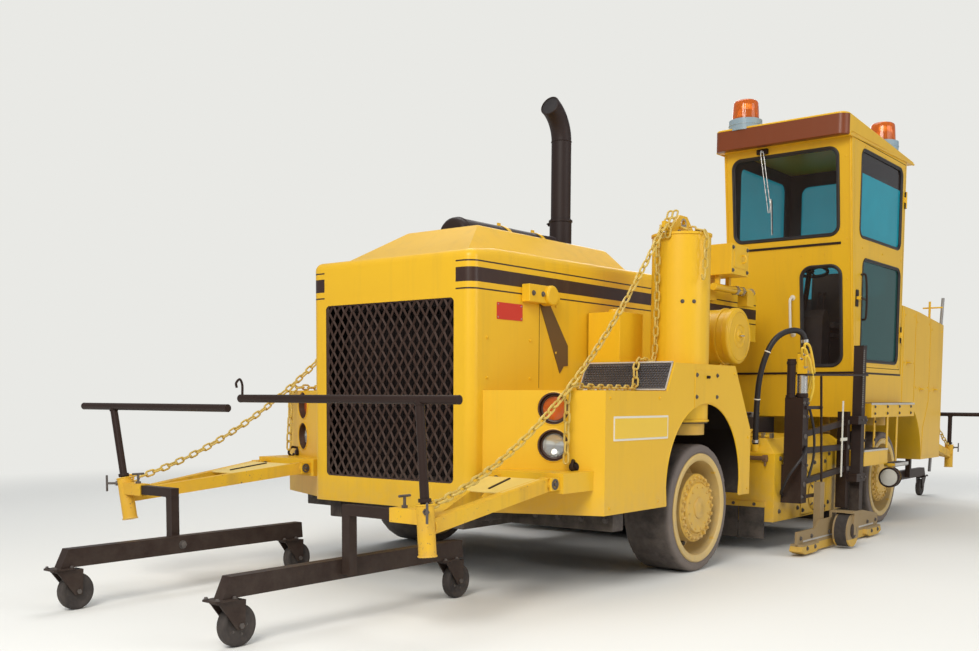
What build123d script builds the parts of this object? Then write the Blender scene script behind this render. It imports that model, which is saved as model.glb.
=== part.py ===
from build123d import *
import math
import os

os.makedirs("parts", exist_ok=True)

# Cold planer milling machine on four steered legs, in millimetres.
# +X points to the grille end, +Y to the cab side, +Z up, and the ground is z = 0.
# Stations along the machine are measured from the front axle; save() moves them
# so that the origin ends up on the ground under the middle of the whole length.

# Wheels and legs
TYRE_D = 1016
TYRE_W = 406
TYRE_BORE_R = 435
TYRE_SHOULDER = 22
RIM_RING = 58
HUB_R = 272
HUB_COVER_R = 205
HUB_FACE = 180
HUB_COVER_FACE = 198
RIM_WEB = -10
WHEELBASE = 4450
LEG_Y = 1352
SPINDLE_R = 70
RUN_GAP = 0.3
LEG_GAP = 0.4
COLUMN_R = 230
COLUMN_WALL = 25
COLUMN_FOOT_Z = 1190
FRONT_COLUMN_TOP_Z = 2650
LEG_CROWN_T = 90
LEG_ARM_IN = 360
LEG_ARM_T = 90
CAP_T = 18
CAP_LIP = 8
COLUMN_BRACKET_TOP_Z = 1560
LUG_T = 30
LUG_H = 150
LUG_HOLE_R = 32

# Frame rails
RAIL_Y_IN = 560
RAIL_Y_OUT = 680
RAIL_Z_LOW = 440
RAIL_Z_TOP = 720
FRAME_FRONT_X = 1900
BRIDGE_TOP_Z = 1180
BRIDGE_CLEAR = 20
RISER_W = 200
CROSS_LOW_Z = 500
OUTRIGGER_HALF = 240
OUTRIGGER_TOP_Z = 560
GUSSET_Y_OUT = 905
SKID_BEAM_X = 1260
SKID_BEAM_W = 140
SKID_BEAM_HALF = 1560

# Sheet metal
HALF_WIDTH = 1595
SHEET = 12
SEAT_GAP = 0.3

# Engine hood
HOOD_FRONT_X = 1973
HOOD_REAR_X = -2680
HOOD_HALF_W = 800
HOOD_LOW_Z = 575
HOOD_FRONT_TOP_Z = 2405
HOOD_BREAK_X = 1660
HOOD_BREAK_Z = 2435
HOOD_REAR_TOP_Z = 2480
HOOD_ROUND = 80
HOOD_TOP_ROUND = 62
BAY_FRONT_X = -890
BAY_TOP_Z = 1960
GRILLE_HALF_W = 640
GRILLE_LOW_Z = 770
GRILLE_TOP_Z = 2075
GRILLE_ROUND = 35
GRILLE_LAP = 14
GRILLE_T = 10
MESH_COLUMNS = 12
MESH_ROWS = 8
MESH_BAR = 12
HUMP_FOOT_Z = 2395
HUMP_FRONT_X = 1830
HUMP_REAR_X = -560
HUMP_HALF_W = 640
HUMP_TOP_FRONT_X = 1340
HUMP_TOP_REAR_X = -470
HUMP_TOP_HALF_W = 350
HUMP_TOP_Z = 2680

# Engine block and radiator
ENGINE_REAR_X = -740

# Exhaust
MUFFLER_R = 150
MUFFLER_Z = 2640
MUFFLER_FRONT_X = 1230
MUFFLER_REAR_X = -160
STACK_X = -290
STACK_R = 88
STACK_COLLAR_R = 98
STACK_COLLAR_TOP_Z = 2960
STACK_BEND_Z = 3640
STACK_BEND_R = 300
STACK_BEND_DEG = 68

# Front fenders with the swept bumper face
FENDER_CORNER_X = 1505
FENDER_SWEEP_DEG = 23.2
FENDER_LOW_Z = 570
FENDER_DECK_Z = 1430
RAMP_FOOT_X = 635
FENDER_TOP_Z = 1646
FENDER_TOP_FRONT_X = 520
FENDER_TOP_REAR_X = -515
FENDER_REAR_X = -838
FENDER_REAR_Z = 1112
ARCH_R = 640
ARCH_Z = 700
LAMP_Y = 1265
HEADLAMP_Z = 1050
TURN_LAMP_Z = 1305
HEADLAMP_R = 90
LAMP_CUP_R = 110
LAMP_CUP_DEPTH = 90

# Cab
CAB_FLOOR_Z = 1655
CAB_TOP_Z = 4030
CAB_FRONT_LOW_X = -3330
CAB_FRONT_TOP_X = -3070
CAB_REAR_X = -4830
CAB_FAR_Y = 225
CAB_NEAR_Y = 1590
CAB_WALL = 40
CAB_FLOOR_T = 40
GLASS_T = 8
DOOR_GAP = 6
DOOR_SILL_Z = 1715
DOOR_HEAD_Z = 3985
DOOR_POST = 62
DOOR_HINGE_IN = 36
HINGE_LEAF_Z = (2100, 3600)
KNUCKLE_R = 13
KNUCKLE_LEN = 60
ROOF_VISOR_X = -2900
ROOF_REAR_X = -5060
ROOF_FAR_OVERHANG = 40
ROOF_NEAR_OVERHANG = 6
ROOF_FASCIA_Z = 3985
ROOF_ROUND = 90
ROOF_FRONT_Z = 4205
ROOF_REAR_Z = 4065
BEACON_BASE_R = 170
BEACON_BASE_H = 90
BEACON_DOME_R = 143
BEACON_DOME_H = 215

# Body under and behind the cab, with the steps and the work lamp on the cab side
BODY_LOW_Z = 1190
SHELF_FRONT_X = -3330
STEP_OUT_Y = 1760
STEP_FRONT_X = -3400
STEP_REAR_X = -4840
STEP_TOP_Z = 1335
LOW_STEP_X = (-3130, -3860)
LOW_STEP_Z = (700, 860)
LOW_STEP_OUT_Y = 1790
HANGER_W = 50
HANGER_T = 10
TREAD_X = (-3905, -4340)
TREAD_Z = 700
TREAD_OUT_Y = 1860
WORK_LAMP_R = 105
WORK_LAMP_AT = (-3925, 1805, 550)
REAR_BODY_FRONT_X = -4850
REAR_BODY_TOP_Z = 2440
REAR_BODY_BREAK_X = -5470
REAR_BODY_BREAK_Z = 2405
REAR_FACE_X = -6500
REAR_FACE_TOP_Z = 2305
REAR_BODY_LOW_Z = 655
REAR_ARCH_X = -5717
REAR_ARCH_R = 700
TANK_TOP_Z = 2240

# Drum and its housing
DRUM_X = -2330
DRUM_Z = 462
DRUM_BODY_R = 330
PICK_TIP_R = 430
DRUM_HALF_LEN = 1050
DRUM_SHAFT_R = 60
PICK_ROWS = 4
PICKS_PER_ROW = 12
HOUSING_FRONT_X = -1400
HOUSING_REAR_X = -3280
HOUSING_HALF_W = 1580
HOUSING_LEDGE = 150
HOUSING_LOW_Z = 270
HOUSING_SKIRT_Z = 885
HOUSING_TOP_Z = 1018
BEARING_PLATE_T = 30

# Skis, arms and walker bars
SKI_BEAM_W = 76
SKI_BEAM_LOW_Z = 280
SKI_BEAM_H = 120
SKI_AHEAD = 930
SKI_BEHIND = 1120
CASTER_D = 240
CASTER_W = 60
CASTER_AXLE_R = 12
CASTER_TRAIL = 108
CASTER_AHEAD = 915
CASTER_BEHIND = 990
CASTER_PLATE_T = 12
FORK_T = 8
FORK_GAP = 5
POST_W = 64
POST_TOP_Z = 732
SKI_PIN_R = 16
SOCKET_R = 52
SOCKET_LOW_Z = 475
SOCKET_TOP_Z = 772
T_POST_R = 27
T_BAR_R = 26
CRANK_GAP = 14
SLEEVE_WALL = 10
SLEEVE_LEN = 190
ARM_W = 88
HINGE_Z = 812
HINGE_BARREL_R = 42
HINGE_BARREL_LEN = 90
HINGE_PIN_R = 20
HINGE_STANDOFF = 150
HINGE_FRONT_X = 1965
HINGE_OUT_Y = 1440
HINGE_IN_Y = 950
HINGE_EAR_T = 14
BRACKET_LOW_Z = 745
BRACKET_H = 135
BRACKET_LAP = 85
EAR_H = 84
ARM_T = 70
BRACE_SHARE = 0.16
ARM_TIP_Z = 660
SOCKET_DEPTH = 180

# Chains
CHAIN_BAR = 14
CHAIN_PITCH = 96
CHAIN_LINK_LEN = 126
CHAIN_LINK_W = 58
CHAIN_EAR_OUT = 70
FRONT_CHAIN_SAG = 330
REAR_CHAIN_Y = 1350
REAR_CHAIN_Z = 1500
REAR_CHAIN_SAG = 40

# Edge plates and their linkage at the sides of the drum housing
MAST_X = -1610
MAST_W = 130
MAST_Y_IN = 1600
MAST_Y_OUT = 1770
MAST_LOW_Z = 440
MAST_TOP_Z = 1390
TALL_RAM_TOP_Z = 1735
TALL_RAM_R = 38
SHORT_RAM_TOP_Z = 1600
SHORT_RAM_R = 44
MANIFOLD_TOP_Z = 1790
SLEEVE_POST_X = -2860
SLEEVE_POST_W = 80
SLEEVE_POST_Y_OUT = 1720
SLEEVE_POST_Z = (300, 1255)
COLLAR_T = 16
COLLAR_H = 80
COLLAR_Z = (560, 1130)
LIFT_BAR_X = -3040
LIFT_BAR_Y = 1750
LIFT_BAR_W = 95
LIFT_BAR_TOP_Z = 1905
FOOT_WHEEL_D = 300
FOOT_WHEEL_W = 140
FOOT_WHEEL_X = -2100
FOOT_WHEEL_Y = 1985
RUNNER_Y = 1875
RUNNER_T = 24
RUNNER_FRONT_X = -1230
RUNNER_REAR_X = -3330
RUNNER_END_H = 200
RUNNER_MID_H = 265
RUNNER_LIFT = 20
SHOE_LEN = 430
SHOE_H = 90

# Black hose from the drum housing up to the manifold on the mast of the cab side
HOSE_R = 26
GLAND_R = 34
HOSE_FOOT_Z = 965
HOSE_TOP_Z = 1860
HOSE_ROUTE = (
    (-1440, 1375, HOSE_FOOT_Z), (-1440, 1375, 1290), (-1380, 1430, 1640),
    (-1440, 1540, 1960), (-1650, 1730, 2010), (-1650, 1730, HOSE_TOP_Z),
)

# One row per arm: name, end of the machine, side, tip station, tip y, ski y, inner end and outer end
# of the walker bar, height of the walker bar, outward lean of its post in degrees
ARM_TABLE = (
    ("front_left", 1, 1, 3220, 1470, 790, -145, 1715, 1365, -4),
    ("front_right", 1, -1, 3220, 1470, 830, 275, 2000, 1300, 13),
    ("rear_left", -1, 1, -7500, 1450, 860, 60, 1980, 1180, 0),
    ("rear_right", -1, -1, -7500, 1450, 860, 60, 1980, 1180, 0),
)

# Worked-out sizes
AXLE_Z = TYRE_D / 2
FRAME_REAR_X = REAR_FACE_X + SHEET + SEAT_GAP
REAR_COLUMN_TOP_Z = CAB_FLOOR_Z - SHEET - CAP_T - SEAT_GAP
GUSSET_Y_IN = HOOD_HALF_W + 25
LINK_Y = (MAST_Y_IN + MAST_Y_OUT) / 2
CRANK_Z = POST_TOP_Z - POST_W / 2
CRADLE_LOW_Z = MUFFLER_Z - MUFFLER_R - 15
PIVOT_X = CAB_REAR_X + DOOR_HINGE_IN - DOOR_GAP / 2
PIVOT_Y = CAB_NEAR_Y + KNUCKLE_R + 1
HOOD_SEAT_Y = HOOD_HALF_W - SHEET - SEAT_GAP
SOCKET_SEAT_Z = SOCKET_TOP_Z - SOCKET_DEPTH
COLUMN_BORE_R = COLUMN_R - COLUMN_WALL
SWEEP = math.radians(FENDER_SWEEP_DEG)
SWEEP_TAN = math.tan(SWEEP)
FENDER_INNER_Y = HOOD_HALF_W + SEAT_GAP
FENDER_NOSE_X = FENDER_CORNER_X + (HALF_WIDTH - FENDER_INNER_Y) * SWEEP_TAN
FRONT_REACH_X = ARM_TABLE[0][3] + SKI_AHEAD
REAR_REACH_X = ARM_TABLE[2][3] - SKI_AHEAD
FRONT_AXLE_X = -(FRONT_REACH_X + REAR_REACH_X) / 2
CAB_LEAN = (CAB_FRONT_TOP_X - CAB_FRONT_LOW_X) / (CAB_TOP_Z - CAB_FLOOR_Z)

# One row per leg: name, station, side, top of the column
LEG_TABLE = (
    ("front_left", 0, 1, FRONT_COLUMN_TOP_Z),
    ("front_right", 0, -1, FRONT_COLUMN_TOP_Z),
    ("rear_left", -WHEELBASE, 1, REAR_COLUMN_TOP_Z),
    ("rear_right", -WHEELBASE, -1, REAR_COLUMN_TOP_Z),
)
# One row per cross member: station, half its length, half its width
CROSS_TABLE = (
    (1680, 90, HOOD_SEAT_Y), (360, 70, HOOD_SEAT_Y), (-700, 70, HOOD_SEAT_Y), (-3420, 70, RAIL_Y_IN),
    (-WHEELBASE, 150, RAIL_Y_IN), (-6350, 90, RAIL_Y_IN),
)


def block(x0, x1, y0, y1, z0, z1):
    """Box between two opposite corners."""
    centre = ((x0 + x1) / 2, (y0 + y1) / 2, (z0 + z1) / 2)
    return Pos(*centre) * Box(abs(x1 - x0), abs(y1 - y0), abs(z1 - z0))


def rod(start, end, radius):
    """Round rod from one point to another."""
    along = Vector(*end) - Vector(*start)
    place = Plane(origin=start, z_dir=along)
    return place * Cylinder(radius, along.length, align=(Align.CENTER, Align.CENTER, Align.MIN))


def beam(start, end, width, height):
    """Upright rectangular bar from one point to another."""
    along = Vector(*end) - Vector(*start)
    across = Vector(0, 0, 1).cross(along)
    if across.length < 1:
        across = Vector(0, 1, 0)
    place = Plane(origin=start, x_dir=across, z_dir=along)
    return place * Box(width, height, along.length, align=(Align.CENTER, Align.CENTER, Align.MIN))


def side_profile(points, y0, y1):
    """Outline of (x, z) points carried across the machine from y0 to y1."""
    wire = Polyline(*[(x, y0, z) for x, z in points], close=True)
    return extrude(make_face(wire), amount=y1 - y0, dir=(0, 1, 0))


def plan_profile(points, z0, z1):
    """Outline of (x, y) points carried up from z0 to z1."""
    wire = Polyline(*[(x, y, z0) for x, y in points], close=True)
    return extrude(make_face(wire), amount=z1 - z0, dir=(0, 0, 1))


def cross_profile(points, x0, x1):
    """Outline of (y, z) points carried along the machine from x0 to x1."""
    wire = Polyline(*[(x0, y, z) for y, z in points], close=True)
    return extrude(make_face(wire), amount=x1 - x0, dir=(1, 0, 0))


def to_side(shape, side):
    """The left-hand shape itself, or its mirror image for the right-hand side."""
    return shape if side > 0 else mirror(shape, about=Plane.XZ)


def group(*shapes):
    """Solids of several shapes kept side by side in one node."""
    return Compound([solid for shape in shapes for solid in shape.solids()])


def both(shape):
    """A left-hand shape and its mirror image."""
    return group(shape, mirror(shape, about=Plane.XZ))


def save(name, shape):
    """Move the shape from axle stations to the model's origin and write it."""
    export_step(Pos(FRONT_AXLE_X, 0, 0) * shape, f"parts/{name}.step")


def window(x0, x1, z0, z1, y0, y1, radius):
    """Rounded window prism through a side wall."""
    flat = Pos((x0 + x1) / 2, y0, (z0 + z1) / 2) * Rot(-90, 0, 0) * RectangleRounded(
        abs(x1 - x0), z1 - z0, radius
    )
    return extrude(flat, amount=y1 - y0, dir=(0, 1, 0))


def cross_window(y0, y1, z0, z1, x0, x1, radius):
    """Rounded window prism through a front or rear wall."""
    flat = Pos(x0, (y0 + y1) / 2, (z0 + z1) / 2) * Rot(0, 90, 0) * RectangleRounded(
        z1 - z0, abs(y1 - y0), radius
    )
    return extrude(flat, amount=x1 - x0, dir=(1, 0, 0))


# Main frame: two box rails stepped over the drum housing, cross members and the outriggers of the leg columns
def main_frame():
    low, top = RAIL_Z_LOW, RAIL_Z_TOP
    bridge_low = HOUSING_TOP_Z + SEAT_GAP
    bridge_front = HOUSING_FRONT_X + BRIDGE_CLEAR
    bridge_rear = HOUSING_REAR_X - BRIDGE_CLEAR
    outline = [
        (FRAME_FRONT_X, low), (FRAME_FRONT_X, top), (bridge_front + RISER_W, top), (bridge_front + RISER_W, BRIDGE_TOP_Z),
        (bridge_rear - RISER_W, BRIDGE_TOP_Z), (bridge_rear - RISER_W, top), (FRAME_REAR_X, top), (FRAME_REAR_X, low),
        (bridge_rear, low), (bridge_rear, bridge_low), (bridge_front, bridge_low), (bridge_front, low),
    ]
    rail = side_profile(outline, RAIL_Y_IN, RAIL_Y_OUT)
    frame = rail + mirror(rail, about=Plane.XZ)
    for station, half, reach in CROSS_TABLE:
        frame += block(station - half, station + half, -reach, reach, CROSS_LOW_Z, top)
    for station in (bridge_front + RISER_W / 2, bridge_rear - RISER_W / 2):
        frame += block(station - 70, station + 70, -RAIL_Y_IN, RAIL_Y_IN, BRIDGE_TOP_Z - 180, BRIDGE_TOP_Z)
    for station in (0, -WHEELBASE):
        for side in (1, -1):
            frame += block(
                station - OUTRIGGER_HALF, station + OUTRIGGER_HALF,
                side * RAIL_Y_OUT, side * GUSSET_Y_OUT, RAIL_Z_LOW, OUTRIGGER_TOP_Z,
            )
    beam_front = SKID_BEAM_X + SKID_BEAM_W / 2
    return frame + block(
        beam_front - SKID_BEAM_W, beam_front, -SKID_BEAM_HALF, SKID_BEAM_HALF, RAIL_Z_LOW, FENDER_LOW_Z - SEAT_GAP
    )


# Leg columns: guide tube with its bracket and gusset plate, a cap and a lifting lug in front
def leg_column(station, top_z):
    tube = rod((station, LEG_Y, COLUMN_FOOT_Z), (station, LEG_Y, top_z), COLUMN_R)
    bracket = block(station - 120, station + 120, GUSSET_Y_IN, LEG_Y, COLUMN_FOOT_Z, COLUMN_BRACKET_TOP_Z)
    gusset = block(
        station - OUTRIGGER_HALF, station + OUTRIGGER_HALF, GUSSET_Y_IN, GUSSET_Y_OUT,
        OUTRIGGER_TOP_Z, COLUMN_BRACKET_TOP_Z,
    )
    column = tube + bracket + gusset
    lip = CAP_LIP if station == 0 else 0
    column += rod((station, LEG_Y, top_z), (station, LEG_Y, top_z + CAP_T), COLUMN_R + lip)
    column -= rod((station, LEG_Y, COLUMN_FOOT_Z - 1), (station, LEG_Y, top_z - CAP_T), COLUMN_BORE_R)
    return column + lifting_lug() if station == 0 else column


def lifting_lug():
    base_z = FRONT_COLUMN_TOP_Z + CAP_T
    ear_x = COLUMN_R + CHAIN_EAR_OUT
    outline = [
        (COLUMN_R, base_z), (ear_x, base_z + 30), (ear_x, base_z + LUG_H / 2), (150, base_z + LUG_H / 2),
        (60, base_z + LUG_H), (-60, base_z + LUG_H), (-COLUMN_R, base_z),
    ]
    lug = side_profile(outline, LEG_Y - LUG_T / 2, LEG_Y + LUG_T / 2)
    hole_z = base_z + LUG_H - 65
    return lug - rod((0, LEG_Y - LUG_T, hole_z), (0, LEG_Y + LUG_T, hole_z), LUG_HOLE_R)


# Steered leg: inner tube in the column, crown over the tyre, side arm and hub spindle
def leg(station, top_z):
    crown_top = COLUMN_FOOT_Z - 10
    crown_low = crown_top - LEG_CROWN_T
    arm_y_in = LEG_Y - LEG_ARM_IN
    arm_y_out = arm_y_in + LEG_ARM_T
    body = rod((station, LEG_Y, crown_low), (station, LEG_Y, top_z - 250), COLUMN_BORE_R - LEG_GAP)
    body += block(station - 130, station + 130, arm_y_in, LEG_Y + 60, crown_low, crown_top)
    body += block(station - 110, station + 110, arm_y_in, arm_y_out, AXLE_Z - 110, crown_low)
    body += rod((station, arm_y_in, AXLE_Z), (station, arm_y_out + 30, AXLE_Z), 150)
    body += rod((station, arm_y_out, AXLE_Z), (station, LEG_Y + 60, AXLE_Z), SPINDLE_R)
    return body


def turned_about_axle(points, station, y_centre):
    """Ring from (radius, offset from the wheel centre) points, about the axle line."""
    wire = Polyline(*[(station + r, y_centre + w, AXLE_Z) for r, w in points], close=True)
    return revolve(make_face(wire), Axis((station, y_centre, AXLE_Z), (0, 1, 0)), 360)


def tyre(station):
    half = TYRE_W / 2
    r = TYRE_D / 2
    bevel = TYRE_SHOULDER
    return turned_about_axle(
        [(TYRE_BORE_R, -half + 8), (r - bevel, -half), (r, -half + bevel), (r, half - bevel),
         (r - bevel, half), (TYRE_BORE_R, half - 8)],
        station, LEG_Y,
    )


def rim(station):
    half = TYRE_W / 2 - 8
    ring_in = TYRE_BORE_R - RIM_RING
    bore = SPINDLE_R + RUN_GAP
    blind = 75
    bevel = 12
    return turned_about_axle(
        [(TYRE_BORE_R, -half), (TYRE_BORE_R, half), (ring_in, half), (ring_in, RIM_WEB), (HUB_R, RIM_WEB),
         (HUB_R, HUB_FACE - bevel), (HUB_R - bevel, HUB_FACE), (HUB_COVER_R, HUB_FACE),
         (HUB_COVER_R - bevel, HUB_COVER_FACE), (0, HUB_COVER_FACE),
         (0, blind), (bore, blind), (bore, -60), (ring_in, -60), (ring_in, -half)],
        station, LEG_Y,
    )


# Engine hood: folded sheet shell with rounded edges, open below, with the raised cover on top
def hood_body(inset):
    front = HOOD_FRONT_X - inset
    rear = HOOD_REAR_X + inset
    low = HOOD_LOW_Z - (1 if inset else 0)
    outline = [
        (rear, low), (front, low), (front, HOOD_FRONT_TOP_Z - inset),
        (HOOD_BREAK_X, HOOD_BREAK_Z - inset), (rear, HOOD_REAR_TOP_Z - inset),
    ]
    half = HOOD_HALF_W - inset
    shape = side_profile(outline, -half, half)
    upright = [e for e in shape.edges() if e.center().X > front - 1 and abs(e.center().Y) > half - 1]
    shape = fillet(upright, HOOD_ROUND - inset)
    rim_edges = [
        e for e in shape.edges()
        if e.center().Z > HOOD_FRONT_TOP_Z - inset - 1 and e.center().X > rear + 1
        and (abs(e.center().Y) > 1 or e.center().X > front - 1)
    ]
    return fillet(rim_edges, HOOD_TOP_ROUND - inset)


def engine_hood():
    shell = hood_body(0) - hood_body(SHEET)
    shell -= cross_window(
        -GRILLE_HALF_W, GRILLE_HALF_W, GRILLE_LOW_Z, GRILLE_TOP_Z,
        HOOD_FRONT_X - 2 * SHEET, HOOD_FRONT_X + SHEET, GRILLE_ROUND,
    )
    shell -= block(
        HOOD_REAR_X - 5, BAY_FRONT_X, -HOOD_HALF_W - 5, HOOD_HALF_W + 5, HOOD_LOW_Z - 5, BAY_TOP_Z
    )
    foot = Pos((HUMP_FRONT_X + HUMP_REAR_X) / 2, 0, HUMP_FOOT_Z) * Rectangle(
        HUMP_FRONT_X - HUMP_REAR_X, 2 * HUMP_HALF_W
    )
    top = Pos((HUMP_TOP_FRONT_X + HUMP_TOP_REAR_X) / 2, 0, HUMP_TOP_Z) * Rectangle(
        HUMP_TOP_FRONT_X - HUMP_TOP_REAR_X, 2 * HUMP_TOP_HALF_W
    )
    hump = loft([foot, top], ruled=True)
    hump = fillet(hump.faces().sort_by(Axis.Z)[-1].edges(), 45)
    recess_half = MUFFLER_R + 30
    hump -= block(
        STACK_X - 130, MUFFLER_FRONT_X + 25, -recess_half, recess_half,
        MUFFLER_Z - MUFFLER_R - 15, HUMP_TOP_Z + 10,
    )
    return shell + hump


# Expanded metal grille: a sheet with long upright diamonds in two staggered rows
def grille():
    back_x = HOOD_FRONT_X - SHEET - GRILLE_T
    height = GRILLE_TOP_Z - GRILLE_LOW_Z
    pitch_y = 2 * GRILLE_HALF_W / MESH_COLUMNS
    pitch_z = height / MESH_ROWS
    steep = math.hypot(pitch_y, pitch_z)
    half_y = (pitch_y - MESH_BAR * steep / pitch_z) / 2
    half_z = (pitch_z - MESH_BAR * steep / pitch_y) / 2
    diamond = make_face(Polyline((half_z, 0), (0, half_y), (-half_z, 0), (0, -half_y), close=True))
    sheet = RectangleRounded(height + 2 * GRILLE_LAP, 2 * (GRILLE_HALF_W + GRILLE_LAP), GRILLE_ROUND)
    holes = []
    for shift in (0, 1):
        for row in range(MESH_ROWS - shift):
            for column in range(MESH_COLUMNS - shift):
                z = (row + (1 + shift) / 2 - MESH_ROWS / 2) * pitch_z
                y = (column + (1 + shift) / 2 - MESH_COLUMNS / 2) * pitch_y
                holes.append(Pos(z, y) * diamond)
    place = Plane(origin=(back_x, 0, (GRILLE_LOW_Z + GRILLE_TOP_Z) / 2), x_dir=(0, 0, 1), z_dir=(1, 0, 0))
    return extrude(place * (sheet - holes), amount=GRILLE_T, dir=(1, 0, 0))


def engine():
    block_part = block(ENGINE_REAR_X, 950, -340, 340, RAIL_Z_TOP, 1750)
    radiator = block(1600, 1760, -600, 600, RAIL_Z_TOP, 2150)
    return group(block_part, radiator)


# Exhaust: muffler lying in the raised cover, elbow and the stack with its bent mouth
def exhaust():
    muffler = rod((MUFFLER_REAR_X, 0, MUFFLER_Z), (MUFFLER_FRONT_X, 0, MUFFLER_Z), MUFFLER_R)
    muffler = fillet(muffler.edges().filter_by(GeomType.CIRCLE), 40)
    elbow = rod((STACK_X, 0, MUFFLER_Z), (MUFFLER_REAR_X + 50, 0, MUFFLER_Z), 70)
    base_z = MUFFLER_Z - 100
    collar = rod((STACK_X, 0, base_z), (STACK_X, 0, STACK_COLLAR_TOP_Z), STACK_COLLAR_R)
    start = (STACK_X, 0, STACK_COLLAR_TOP_Z - 20)
    knee = (STACK_X, 0, STACK_BEND_Z)
    rise = Line(start, knee)
    turn = math.radians(STACK_BEND_DEG)
    middle = math.radians(STACK_BEND_DEG / 2)
    bend = ThreePointArc(
        knee,
        (STACK_X + STACK_BEND_R * (1 - math.cos(middle)), 0, STACK_BEND_Z + STACK_BEND_R * math.sin(middle)),
        (STACK_X + STACK_BEND_R * (1 - math.cos(turn)), 0, STACK_BEND_Z + STACK_BEND_R * math.sin(turn)),
    )
    path = Wire([rise, bend])
    pipe = sweep(Plane(origin=start, z_dir=(0, 0, 1)) * Circle(STACK_R), path=path)
    mouth = bend @ 1
    inner = rod(
        (mouth.X - 120 * math.sin(turn), 0, mouth.Z - 120 * math.cos(turn)),
        (mouth.X + 5 * math.sin(turn), 0, mouth.Z + 5 * math.cos(turn)), STACK_R - 10,
    )
    cradle = block(MUFFLER_REAR_X + 200, MUFFLER_REAR_X + 260, -80, 80, CRADLE_LOW_Z, MUFFLER_Z)
    cradle += block(MUFFLER_FRONT_X - 260, MUFFLER_FRONT_X - 200, -80, 80, CRADLE_LOW_Z, MUFFLER_Z)
    return muffler + elbow + collar + (pipe - inner) + cradle


def air_cleaner():
    can = rod((-1240, HOOD_HALF_W + SEAT_GAP, 1935), (-1240, 1240, 1935), 240)
    can = fillet(can.edges().sort_by(Axis.Y)[-1], 30)
    cover = rod((-1240, 1230, 1935), (-1240, 1290, 1935), 250)
    cover = fillet(cover.edges().filter_by(GeomType.CIRCLE).sort_by(Axis.Y)[-1], 25)
    return can + cover


# Valve chest behind the column with its pipe, and the tank box in front of the column
def side_boxes():
    side = HOOD_HALF_W + SEAT_GAP
    pipe_y, pipe_z = 980, 2400
    chest = block(-1700, -1340, side, 1150, 2505, 2780)
    chest += block(-1700, -1340, side, side + 40, 2300, 2600)
    chest += rod((-1330, pipe_y, pipe_z), (-2160, pipe_y, pipe_z), 34)
    for station in (-1420, -1640):
        chest += block(station - 20, station + 20, pipe_y - 20, pipe_y + 20, pipe_z, 2520)
    chest += block(-2110, -1960, pipe_y - 50, pipe_y + 50, 2260, pipe_z)
    tank = block(150, FENDER_TOP_FRONT_X - 15, side + 12, 1100, FENDER_TOP_Z + SEAT_GAP, 2050)
    return group(chest, tank)


# Front fenders: hollow pressed box with the swept bumper face, wheel arch and lamp holes
def fender_body(inset):
    outline = [
        (FENDER_REAR_X + inset, FENDER_LOW_Z - (1 if inset else 0)),
        (FENDER_NOSE_X + 50, FENDER_LOW_Z - (1 if inset else 0)),
        (FENDER_NOSE_X + 50, FENDER_DECK_Z - inset),
        (RAMP_FOOT_X, FENDER_DECK_Z - inset),
        (FENDER_TOP_FRONT_X, FENDER_TOP_Z - inset),
        (FENDER_TOP_REAR_X, FENDER_TOP_Z - inset),
        (FENDER_REAR_X + inset, FENDER_REAR_Z),
    ]
    y_in = FENDER_INNER_Y - (1 if inset else 0)
    shape = side_profile(outline, y_in, HALF_WIDTH - inset)
    back = inset / math.cos(SWEEP)
    nose = plan_profile(
        [
            (FENDER_REAR_X - 10, y_in - 5),
            (FENDER_NOSE_X - back + 5 * SWEEP_TAN + (FENDER_INNER_Y - y_in) * SWEEP_TAN, y_in - 5),
            (FENDER_CORNER_X - back - 5 * SWEEP_TAN, HALF_WIDTH + 5),
            (FENDER_REAR_X - 10, HALF_WIDTH + 5),
        ],
        FENDER_LOW_Z - 20, FENDER_TOP_Z + 20,
    )
    return shape & nose


def lamp_centre(z, depth):
    """Point on the swept face at the lamp's y, pushed in by depth along the face's normal."""
    x = FENDER_CORNER_X + (HALF_WIDTH - LAMP_Y) * SWEEP_TAN
    return (x - depth * math.cos(SWEEP), LAMP_Y - depth * math.sin(SWEEP), z)


def front_fender():
    shell = fender_body(0) - fender_body(SHEET)
    arch = rod((0, HALF_WIDTH - 60, ARCH_Z), (0, HALF_WIDTH + 10, ARCH_Z), ARCH_R)
    arch += block(-ARCH_R + 12, ARCH_R - 12, HALF_WIDTH - 60, HALF_WIDTH + 10, FENDER_LOW_Z - 20, ARCH_Z)
    shell -= arch
    shell -= rod((0, LEG_Y, FENDER_DECK_Z), (0, LEG_Y, FENDER_TOP_Z + 20), COLUMN_R + SEAT_GAP)
    for z in (HEADLAMP_Z, TURN_LAMP_Z):
        shell -= rod(lamp_centre(z, 3 * SHEET), lamp_centre(z, -SHEET), LAMP_CUP_R)
    return shell


def lamp_cups():
    cups = []
    for z in (HEADLAMP_Z, TURN_LAMP_Z):
        radius = LAMP_CUP_R - SEAT_GAP
        cup = rod(lamp_centre(z, LAMP_CUP_DEPTH), lamp_centre(z, 0), radius)
        cup -= rod(lamp_centre(z, LAMP_CUP_DEPTH - 8), lamp_centre(z, -5), radius - 8)
        cups.append(cup)
    return group(*cups)


def lamp_glass(z, radius):
    back = lamp_centre(z, LAMP_CUP_DEPTH - 8)
    front = lamp_centre(z, LAMP_CUP_DEPTH - 50)
    return rod(back, front, radius)


# Cab: hollow shell with its front leaning, windows cut, door on the near side
def cab_front_x(z):
    return CAB_FRONT_LOW_X + (z - CAB_FLOOR_Z) * CAB_LEAN


def cab_prism(z0, z1, front_back, rear_x, y0, y1):
    """Prism with the leaning front, set back by front_back."""
    return side_profile(
        [(rear_x, z0), (cab_front_x(z0) - front_back, z0), (cab_front_x(z1) - front_back, z1), (rear_x, z1)],
        y0, y1,
    )


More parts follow.
